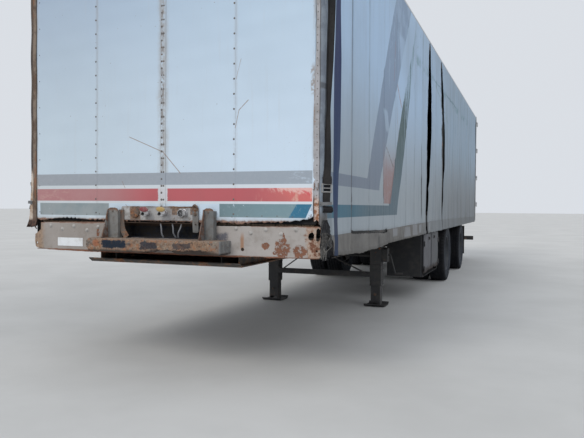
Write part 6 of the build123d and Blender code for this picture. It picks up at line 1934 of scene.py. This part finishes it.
q = np.linspace(0, 1, 16)
p = np.stack([1.292 - 0.018 * q, 0.004 + 0.118 * q, 1.040 + 0.030 * np.sin(1.9 * q)], -1)
ribbon(fl, p, (0.3, 0.3, 0.9), 0.010 + 0.004 * np.sin(7 * q), 0.003, 0, 0.0)
fl.make("folded_cloth_edges", [M["plate_cloth"]], slot="curtain_cloth", sharp=50)

# ------------------------------------------------------------------ wheels
AXLES = {"front": 7.090, "rear": 9.320}
WX, TH, WR = 0.905, 0.1575, 0.480


def tyre_face():
    g = G("tyre_sides")
    a, b, c = g.noise(2.2, 5, 0.62), g.noise(26, 6, 0.7), g.noise(120, 4, 0.65)
    col = g.mix(g.step(a, 0.38, 0.64), (0.010, 0.013, 0.020), (0.022, 0.028, 0.039))
    col = g.mix(g.step(b, 0.48, 0.66) * 0.5, col, (0.036, 0.042, 0.053))
    col = g.mix(g.step(b, 0.42, 0.28) * 0.5, col, (0.005, 0.006, 0.009))
    run = g.noise(1.0, 6, 0.7, stretch=(3, 9, 1.4), off=(2, 2, 2))
    col = g.mix(g.step(run, 0.54, 0.66) * 0.4, col, (0.055, 0.060, 0.070))
    return g.done(col, g.clamp(0.72 + c * 0.2), normal=g.bump(b * 0.6 + c * 0.5, 0.0012, 0.8), spec=0.25)


M["tyre_side"] = tyre_face()
M["tread"] = rubber("tread_rubber", (0.0045, 0.0055, 0.0085), dust=0.08, rough=0.92)
M["hub"] = steel("hub_steel", (0.020, 0.021, 0.024), rust=0.10, dirt=0.4, seed=24.0, rough=0.65)
M["disc"] = steel("disc_steel", (0.046, 0.052, 0.062), rust=0.12, dirt=0.5, seed=25.0, rough=0.6)

# (axial place from the tyre's middle, radius, groove depth share)
SIDE_PROFILE = [(0.1115, 0.2862), (0.1180, 0.2950), (0.1235, 0.3020), (0.1262, 0.3045), (0.1272, 0.3085), (0.1290, 0.3200), (0.1318, 0.3400), (0.1338, 0.3500),
                (0.1352, 0.3515), (0.1356, 0.3560), (0.1350, 0.3585), (0.1365, 0.3800), (0.1374, 0.4000), (0.1368, 0.4180), (0.1350, 0.4330),
                (0.1362, 0.4350), (0.1358, 0.4400), (0.1330, 0.4420), (0.1308, 0.4520), (0.1282, 0.4610), (0.1240, 0.4690), (0.1180, 0.4735), (0.1090, 0.4765)]
TREAD = [(0.0930, 0.4785, 0), (0.0780, 0.4792, 0), (0.0765, 0.4792, 0), (0.0745, 0.4665, 0), (0.0690, 0.4660, 0), (0.0670, 0.4795, 0), (0.0500, 0.4798, 1),
         (0.0320, 0.4799, 1), (0.0305, 0.4799, 0), (0.0285, 0.4668, 0), (0.0225, 0.4665, 0), (0.0205, 0.4799, 0), (0.0100, 0.4800, 1)]


def tyre_mesh(shape, side, cx, cy):
    prof = list(SIDE_PROFILE) + [(a, r) for a, r, _ in TREAD]
    prof = prof + [(-a, r) for a, r in prof[::-1]]
    ns = len(SIDE_PROFILE)
    m = len(prof)
    lug = 52
    seg = lug * 4
    vs = np.zeros((seg, m, 3))
    for j in range(seg):
        ph = 2 * math.pi * j / seg
        q = j % 4
        cut = q in (2, 3)
        for i, (a, r) in enumerate(prof):
            k = min(i, m - 1 - i)
            rr, aa = r, a
            dph = 0.0
            if ns - 6 <= k < ns + 2 and cut:                      # shoulder lugs
                rr = r - (0.0085 if k > ns - 5 else 0.004)
                aa = a * (0.988 if k < ns else 1.0)
            elif k >= ns + 5 and cut and prof[i][1] > 0.475:      # thin cuts across the ribs
                rr = r - 0.0018
            if k >= ns + 2:
                dph = 0.010 * math.sin(3 * math.pi * (a / 0.075)) * (1 if q < 2 else 0.6)
            sag = 1.0
            vs[j, i] = (cx + side * aa, cy + rr * sag * math.sin(ph + dph), WR + rr * math.cos(ph + dph))
    fs_side, fs_tread = [], []
    for j in range(seg):
        for i in range(m - 1):
            a0, b0 = j * m + i, ((j + 1) % seg) * m + i
            k = min(i, m - 2 - i)
            (fs_tread if k >= ns - 7 else fs_side).append((a0, b0, b0 + 1, a0 + 1))
        a0, b0 = j * m, ((j + 1) % seg) * m
        fs_side.append((a0 + m - 1, b0 + m - 1, b0, a0))          # bead seat, closes the ring
    shape.add(vs.reshape(-1, 3), fs_side, 0)
    shape.m += [1] * len(fs_tread)
    shape.f += [[i + shape.n - seg * m for i in f] for f in fs_tread]


disc_uv, disc_tris = None, None


def wheel_disc(shape, cx, cy, side, base, direction, mat):
    """Dished disc with ten hand holes; direction 1 dishes outwards from its hub face at base."""
    global disc_uv, disc_tris
    if disc_uv is None:
        holes = [ring2((0, 0), 0.128, 40)]
        for k in range(10):
            a = 2 * math.pi * (k + 0.5) / 10
            c, s = math.cos(a), math.sin(a)
            h = []
            for t in np.linspace(0, 2 * math.pi, 18, endpoint=False):
                u, v = 0.2165 + 0.0165 * math.sin(t), 0.0245 * math.cos(t)
                h.append((u * c - v * s, u * s + v * c))
            holes.append(h)
        disc_uv, disc_tris = cut_sheet(ring2((0, 0), 0.2590, 72), holes, pitch=0.016, edge=0.016, seed=60)
    rr = lambda u, v: np.hypot(u, v)
    fa = lambda u, v: base + direction * np.interp(rr(u, v), [0.12, 0.188, 0.200, 0.235, 0.250, 0.2595], [0.0, 0.0, 0.006, 0.034, 0.044, 0.060])
    f = lambda u, v, d: np.stack([cx + side * (fa(u, v) + d), cy + u, WR + v], -1)
    slab(shape, disc_uv, disc_tris, lambda u, v: f(u, v, 0.0), lambda u, v: f(u, v, -direction * 0.010), mat)


for w, ay in AXLES.items():
    for tag, side in (("left", 1), ("right", -1)):
        body = "wheels_%s_%s" % (w, tag)
        ty = Shape()
        for off in (-TH, TH):
            tyre_mesh(ty, side, side * (WX + off), ay)
        ty.make("tyres_%s_%s" % (w, tag), [M["tyre_side"], M["tread"]], body=body, slot="tyre_rubber",
                replaces=("twin_tyres_%s_%s" % (w, tag),), sharp=40)

        wh = Shape()
        X = lambda a: (side * (WX + a), ay, WR)
        out = (side, 0, 0)
        rim = [(-0.1200, 0.2862), (-0.1195, 0.2960), (-0.1165, 0.2975), (-0.1135, 0.2940), (-0.1120, 0.2858), (-0.085, 0.2800), (-0.055, 0.2600), (0.040, 0.2580),
               (0.085, 0.2800), (0.1120, 0.2858), (0.1135, 0.2940), (0.1165, 0.2975), (0.1195, 0.2960), (0.1200, 0.2862), (0.1120, 0.2790),
               (0.085, 0.2735), (0.040, 0.2520), (-0.055, 0.2540), (-0.085, 0.2735), (-0.1120, 0.2790)]
        for off, flip_ in ((TH, 1), (-TH, -1)):
            wh.add(*lathe(X(off), out, [(a * flip_, r) for a, r in rim], 72, closed=True), 0)
            wh.add(*lathe(X(off + flip_ * 0.112), out, [(flip_ * -0.002, 0.2735), (flip_ * 0.004, 0.2760), (flip_ * 0.002, 0.2800), (flip_ * -0.004, 0.2790)], 72, closed=True), 0)
        wheel_disc(wh, side * WX, ay, side, 0.012, 1, 0)
        wheel_disc(wh, side * WX, ay, side, -0.012, -1, 0)
        wh.add(*lathe(X(0), out, [(-0.062, 0.205), (-0.062, 0.150), (0.013, 0.150), (0.013, 0.140), (0.030, 0.126), (0.070, 0.112), (0.090, 0.106), (0.118, 0.104),
                                  (0.120, 0.098), (0.122, 0.098), (0.124, 0.100), (0.128, 0.100), (0.130, 0.092), (0.146, 0.088), (0.150, 0.080), (0.150, 0.0)], 48), 1)
        wh.add(*lathe(X(0), out, [(-0.060, 0.150), (-0.060, 0.2115), (-0.070, 0.2120), (-0.072, 0.2060), (-0.110, 0.2060), (-0.112, 0.2115), (-0.1235, 0.2120), (-0.125, 0.2060),
                                  (-0.240, 0.2060), (-0.242, 0.2120), (-0.262, 0.2120), (-0.262, 0.1960), (-0.150, 0.1960), (-0.150, 0.1200)], 56), 1)
        for k in range(10):
            a = 2 * math.pi * k / 10
            c = np.array([side * (WX + 0.014), ay + 0.1675 * math.sin(a), WR + 0.1675 * math.cos(a)])
            wh.add(*lathe(c, out, [(0.000, 0), (0.000, 0.0215), (0.004, 0.0215), (0.0055, 0.0180), (0.008, 0.0168)], 16), 2)
            wh.add(*lathe(c + np.array([side * 0.007, 0, 0]), out, [(0.000, 0.0185), (0.018, 0.0185), (0.021, 0.0160), (0.022, 0.0108), (0.040, 0.0108), (0.042, 0.009), (0.042, 0)], 6), 2)
        for k in range(8):
            a = 2 * math.pi * k / 8 + 0.2
            nuts(wh, [(side * (WX + 0.130), ay + 0.093 * math.sin(a), WR + 0.093 * math.cos(a))], out, 0.0065, 0.005, 2)
        v, f = sweep(curve_points([(side * (WX + 0.075), ay + 0.245, WR), (side * (WX + 0.100), ay + 0.240, WR), (side * (WX + 0.140), ay + 0.232, WR + 0.004), (side * (WX + 0.165), ay + 0.228, WR + 0.006)], 14), circle(0.0042, 8))
        wh.add(v, f, 2)
        wh.add(*lathe((side * (WX + 0.020), ay, WR), out, [(0, 0.129), (0.006, 0.131), (0.008, 0.136), (0, 0.138)], 40, closed=True), 2)
        wh.make("wheel_%s_%s" % (w, tag), [M["disc"], M["hub"], M["hub"]], body=body, slot="wheel_steel",
                replaces=("wheel_hub_%s_%s" % (w, tag),), sharp=34)

# ------------------------------------------------------------------ locker doors
def locker_door_paint():
    g = G("locker_door_skin")
    y, z = g.y, g.z
    mid, spots, fine = g.noise(8, 7, 0.68, off=(3, 2, 5)), g.noise(40, 6, 0.72, off=(1, 4, 3)), g.noise(200, 4, 0.65)
    runs = g.noise(1.0, 6, 0.7, stretch=(20, 20, 1.6), off=(2, 1, 0))
    col = g.mix(g.step(mid, 0.36, 0.66), (0.112, 0.112, 0.124), (0.078, 0.080, 0.088))
    col = g.mix(g.step(y, 5.20, 5.24) * 0.6, col, (0.082, 0.088, 0.092))
    # painted shade: a dark band where the two doors meet
    col = g.mix(g.band(y, 5.145, 5.262, 0.012) * 0.85, col, (0.022, 0.023, 0.028))
    col = g.mix(g.step(runs, 0.50, 0.70) * 0.45, col, (0.058, 0.054, 0.050))
    low = g.step(z + (mid - 0.5) * 0.10 + (spots - 0.5) * 0.05, 0.455, 0.400)
    rust = g.mx(low, g.step(mid * 0.55 + spots * 0.45, 0.625, 0.655))
    col = g.mix(rust * 0.9, col, g.mix(g.step(spots, 0.42, 0.62), (0.040, 0.029, 0.025), (0.018, 0.014, 0.013)))
    return g.done(col, g.clamp(0.55 + fine * 0.2 + rust * 0.2), normal=g.bump(rust * -0.5 + spots * 0.7 + fine * 0.3, 0.002, 0.8), spec=0.3)


M["ldoor"] = locker_door_paint()
M["edge_grey"] = steel("locker_edge_paint", (0.040, 0.041, 0.046), rust=0.08, dirt=0.3, seed=26.0, rough=0.6)
M["latch"] = steel("latch_steel", (0.030, 0.030, 0.032), rust=0.4, dirt=0.3, seed=18.0, rough=0.5, scale=4)
for name, yh, yf in (("front", 4.552, 5.222), ("rear", 5.898, 5.228)):
    e = 1 if yf > yh else -1
    s = Shape()
    r = np.random.default_rng(3 if e > 0 else 4)
    ys = np.linspace(yf - e * 0.012, yh + e * 0.012, 40)
    zb = 0.362 + 0.010 * np.abs(waves(131 if e > 0 else 132, 6, 0.12, ys)) + r.uniform(0, 0.006, 40)
    zb = zb + (0.020 * np.exp(-((ys - (4.93 if e > 0 else 5.45)) / 0.07) ** 2)) + 0.014 * np.exp(-((ys - (5.12 if e > 0 else 5.72)) / 0.04) ** 2)
    o = [(yh + e * 0.003, 0.375), (yh + e * 0.003, 0.888), (yh + e * 0.012, 0.896), (yf - e * 0.012, 0.896), (yf - e * 0.003, 0.888), (yf - e * 0.003, 0.375)]
    o += [(float(a), float(b)) for a, b in zip(ys, zb)]
    uv, tris = cut_sheet(o, [], pitch=0.030, edge=0.014, rag=0.0006, seed=70)

    def door_x(u, v):
        t = np.abs(u - yh)
        x = 1.1985 + 0.0016 * waves(133, 5, 0.3, u, v)
        x = x - 0.004 * np.exp(-((t - 0.10) / 0.010) ** 2) - 0.004 * np.exp(-((t - 0.57) / 0.010) ** 2)
        rim = np.minimum(np.minimum(t, np.abs(u - yf)), np.minimum(v - 0.36, 0.896 - v))
        return x - 0.004 * np.clip(1 - rim / 0.010, 0, 1)

    slab(s, uv, tris, lambda u, v: np.stack([door_x(u, v), u, v], -1), lambda u, v: np.stack([door_x(u, v) - 0.003, u, v], -1), 0)
    for a, b in (((1.1825, yh + e * 0.004, 0.385), (1.196, yh + e * 0.007, 0.893)), ((1.1825, yf - e * 0.007, 0.385), (1.196, yf - e * 0.004, 0.893)),
                 ((1.1825, yh + e * 0.004, 0.892), (1.196, yf - e * 0.004, 0.895))):
        s.add(*cbox(tuple(np.minimum(a, b)), tuple(np.maximum(a, b)), 0.0008), 0)
    for z in (0.430, 0.770):
        for k in range(3):
            s.add(*lathe((1.206, yh - e * 0.006, z - 0.035 + k * 0.0235), (0, 0, 1), [(0, 0), (0.0003, 0.0062), (0.001, 0.0068), (0.022, 0.0068), (0.0228, 0.0062), (0.023, 0)], 14), 1)
        s.add(*rod((1.206, yh - e * 0.006, z - 0.040), (1.206, yh - e * 0.006, z + 0.040), 0.004, 10), 1)
        s.add(*cbox((1.1995, min(yh - e * 0.004, yh + e * 0.062), z - 0.033), (1.2035, max(yh - e * 0.004, yh + e * 0.062), z + 0.033), 0.0012), 1)
        nuts(s, [(1.2035, yh + e * q, z + d) for q in (0.022, 0.048) for d in (-0.018, 0.018)], (1, 0, 0), 0.0055, 0.004, 1)
    yl = yf - e * 0.235
    s.add(*cbox((1.1995, yl - 0.050, 0.808), (1.2035, yl + 0.050, 0.852), 0.0012), 1)
    s.add(*lathe((1.2035, yl, 0.832), (1, 0, 0), [(0, 0.014), (0.008, 0.014), (0.010, 0.011), (0.014, 0.010), (0.0145, 0)], 20), 1)
    s.add(*cbox((1.2135, yl - 0.075, 0.826), (1.2195, yl + 0.060, 0.838), 0.002), 1)
    nuts(s, [(1.2035, yl + a, 0.830 + b) for a in (-0.042, 0.042) for b in (-0.014, 0.014)], (1, 0, 0), 0.0045, 0.0035, 1)
    s.make("locker_door_skin_" + name, [M["ldoor"], M["latch"]], body="locker_door_" + name, slot="locker_door_paint",
           replaces=("locker_door_" + name,), sharp=36)

bx = Shape()          # locker's stiffening folds and rivets
for y in (4.549, 5.901):
    e = -1 if y < 5 else 1
    for x in np.arange(0.74, 1.17, 0.085):
        domes(bx, [(x, y + e * 0.0005, 0.335), (x, y + e * 0.0005, 0.885)], (0, e, 0), 0.006, 0.0025, 0, 8)
    for z in np.arange(0.39, 0.86, 0.085):
        domes(bx, [(0.705, y + e * 0.0005, z), (1.168, y + e * 0.0005, z)], (0, e, 0), 0.006, 0.0025, 0, 8)
    for z0, z1 in ((0.45, 0.456), (0.60, 0.606), (0.75, 0.756)):
        v, f = sweep([(0.73, y, (z0 + z1) / 2), (0.95, y, (z0 + z1) / 2), (1.15, y, (z0 + z1) / 2)], [(-0.004, -0.008), (0.004, -0.006), (0.004, 0.006), (-0.004, 0.008)], up=(0, 1, 0))
        bx.add(v, f, 1)
# painted shade: a thin black strip at the side edge of the locker's front face
bx.add(*cbox((1.1715, 4.5465, 0.317), (1.1800, 4.5495, 0.903), 0.0005), 2)
bx.add(*cbox((1.1500, 4.5460, 0.317), (1.1690, 4.5495, 0.903), 0.0008), 3)
bx.make("locker_rivets", [M["latch"], M["locker"], M["void"], M["edge_grey"]], slot="locker_paint", sharp=40)

# ------------------------------------------------------------------ landing gear details
lg = Shape()
for sx in (-1, 1):
    x0, x1 = (0.633, 0.778)
    for yface, ny in ((3.800, -1), (3.945, 1)):
        pts = [(sx * x, yface + ny * 0.0005, z) for x in (0.655, 0.756) for z in (0.742, 0.86, 0.955)]
        nuts(lg, pts, (0, ny, 0), 0.011, 0.008, 0, washer=0.016)
    lg.add(*cbox((min(sx * 0.628, sx * 0.783), 3.795, 0.520), (max(sx * 0.628, sx * 0.783), 3.950, 0.532), 0.003), 1)
    lg.add(*cbox((min(sx * 0.628, sx * 0.783), 3.795, 0.470), (max(sx * 0.628, sx * 0.783), 3.950, 0.478), 0.002), 1)
    nuts(lg, [(sx * 0.7055, 3.794, 0.155), (sx * 0.7055, 3.951, 0.155)], (0, -1, 0), 0.013, 0.009, 0)
    for z in (0.30, 0.36, 0.42):
        domes(lg, [(sx * 0.7055, 3.7995, z + 0.27)], (0, -1, 0), 0.007, 0.004, 0, 8)
lg.make("landing_gear_bolts", [M["spring"], M["leg"]], slot="steel_frame", sharp=38)

# ------------------------------------------------------------------ lamps, mudflap bolts, rear details
def lens(name, col):
    g = G(name)
    f = g.noise(60, 4, 0.6)
    ribs = g.noise(1.0, 2, 0.5, stretch=(300, 1, 1))
    c = g.mix(g.step(f, 0.45, 0.7) * 0.35, col, shade(col, 0.45))
    return g.done(c, g.clamp(0.22 + f * 0.25), normal=g.bump(ribs * 0.5 + f * 0.2, 0.0015, 0.6), spec=0.6)


M["lens_red"], M["lens_amber"], M["lens_clear"] = lens("lens_red", (0.30, 0.012, 0.010)), lens("lens_amber", (0.55, 0.17, 0.015)), lens("lens_clear", (0.45, 0.45, 0.46))
lamp_z0, lamp_z1 = 0.471, 0.557
lp = Shape()
for sx in (-1, 1):
    cells_ = ((0.760, 0.850, 1), (0.850, 0.940, 3), (0.940, 1.030, 2), (1.030, 1.120, 1))
    a, b = sx * 0.760, sx * 1.120
    lp.add(*cbox((min(a, b), 12.160, lamp_z0), (max(a, b), 12.184, lamp_z1), 0.004), 0)
    for x0, x1, m in cells_:
        lo, hi = min(sx * x0, sx * x1) + 0.004, max(sx * x0, sx * x1) - 0.004
        lp.add(*cbox((lo, 12.178, lamp_z0 + 0.006), (hi, 12.198, lamp_z1 - 0.006), 0.006), m)
        nuts(lp, [(lo - 0.004, 12.184, lamp_z0 + 0.012), (lo - 0.004, 12.184, lamp_z1 - 0.012)], (0, 1, 0), 0.004, 0.0025, 0)
lp.make("rear_lamp_lenses", [M["lamp_black"], M["lens_red"], M["lens_amber"], M["lens_clear"]], slot="lamp_plastic", replaces=("rear_lamps",), sharp=35)

mf = Shape()
for sx in (-1, 1):
    a, b = sx * 0.640, sx * 1.180
    mf.add(*cbox((min(a, b), 9.9665, 0.812), (max(a, b), 9.9725, 0.842), 0.002), 0)
    nuts(mf, [(sx * x, 9.9725, 0.827) for x in np.linspace(0.67, 1.15, 6)], (0, 1, 0), 0.009, 0.006, 0, washer=0.013)
    for z in (0.300, 0.345, 0.39):
        v, f = sweep([(sx * 0.635, 9.9645, z), (sx * 0.91, 9.9645, z), (sx * 1.185, 9.9645, z)], [(-0.003, -0.008), (0.003, -0.006), (0.003, 0.006), (-0.003, 0.008)], up=(0, 1, 0))
        mf.add(v, f, 1)
mf.make("mudflap_strips", [M["spring"], M["flap"]], slot="flap_rubber", sharp=40)

# spring clips and U-bolts
ub = Shape()
for ay in (7.090, 9.320):
    for sx in (-1, 1):
        for dy in (-0.075, 0.075):
            for dx in (-0.055, 0.055):
                ub.add(*rod((sx * 0.460 + dx, ay + dy, 0.400), (sx * 0.460 + dx, ay + dy, 0.690), 0.0105, 10), 0)
                nuts(ub, [(sx * 0.460 + dx, ay + dy, 0.412)], (0, 0, -1), 0.016, 0.014, 0, washer=0.022)
            v, f = sweep(curve_points([(sx * 0.460 - 0.055, ay + dy, 0.680), (sx * 0.460 - 0.050, ay + dy, 0.700), (sx * 0.460, ay + dy, 0.708), (sx * 0.460 + 0.050, ay + dy, 0.700), (sx * 0.460 + 0.055, ay + dy, 0.680)], 20), circle(0.0105, 10))
            ub.add(v, f, 0)
ub.make("spring_u_bolts", [M["spring"]], slot="steel_frame", sharp=40)

# rear doors: rubber seals, rivet rows; sides: rail rivets, roof laps
def on_door(side):
    s = Shape()
    x0, x1 = 0.004, 1.243
    zz0, zz1, yb = 1.126, 3.522, 12.211
    for xa, xb, za, zb in ((x0, x0 + 0.012, zz0 + 0.004, zz1 - 0.004), (x1 - 0.012, x1, zz0 + 0.004, zz1 - 0.004), (x0, x1, zz0, zz0 + 0.014), (x0, x1, zz1 - 0.014, zz1)):
        a, b = sorted((side * xa, side * xb))
        s.add(*cbox((a, yb - 0.002, za), (b, yb + 0.004, zb), 0.0018), 0)
    for x in (0.06, 0.62, 1.19):
        pts = [(side * x, yb - 0.0006, z) for z in np.arange(1.20, 3.48, 0.12)]
        domes(s, pts, (0, 1, 0), 0.0045, 0.0022, 1, 8)
    for z in (1.345, 2.005, 2.685, 3.345):
        nuts(s, [(side * x, yb + 0.010, z + 0.0) for x in (1.03, 1.10, 1.17)], (0, 1, 0), 0.008, 0.006, 1)
    s.make("rear_door_trim_" + ("left" if side > 0 else "right"), [M["seal"], M["rivet"]], body="door_" + ("left" if side > 0 else "right"), slot="grey_paint", sharp=40)


for side in (1, -1):
    on_door(side)

rf = Shape()
for sx in (-1, 1):
    domes(rf, [(sx * 1.236 + sx * 0.0004, y, 3.515) for y in np.arange(0.14, 12.1, 0.12)], (sx, 0, 0), 0.0045, 0.002, 0, 6)
    v, f = sweep([(sx * 1.2385, 0.105, 3.503), (sx * 1.2385, 6.0, 3.503), (sx * 1.2385, 12.075, 3.503)], [(-0.003, -0.006), (0.002, -0.006), (0.002, 0.006), (-0.003, 0.006)], up=(1, 0, 0))
    rf.add(v, f, 1)
rf.make("cant_rail_rivets", [M["rivet"], M["alu"]], slot="aluminium", sharp=40)

finish_cad()
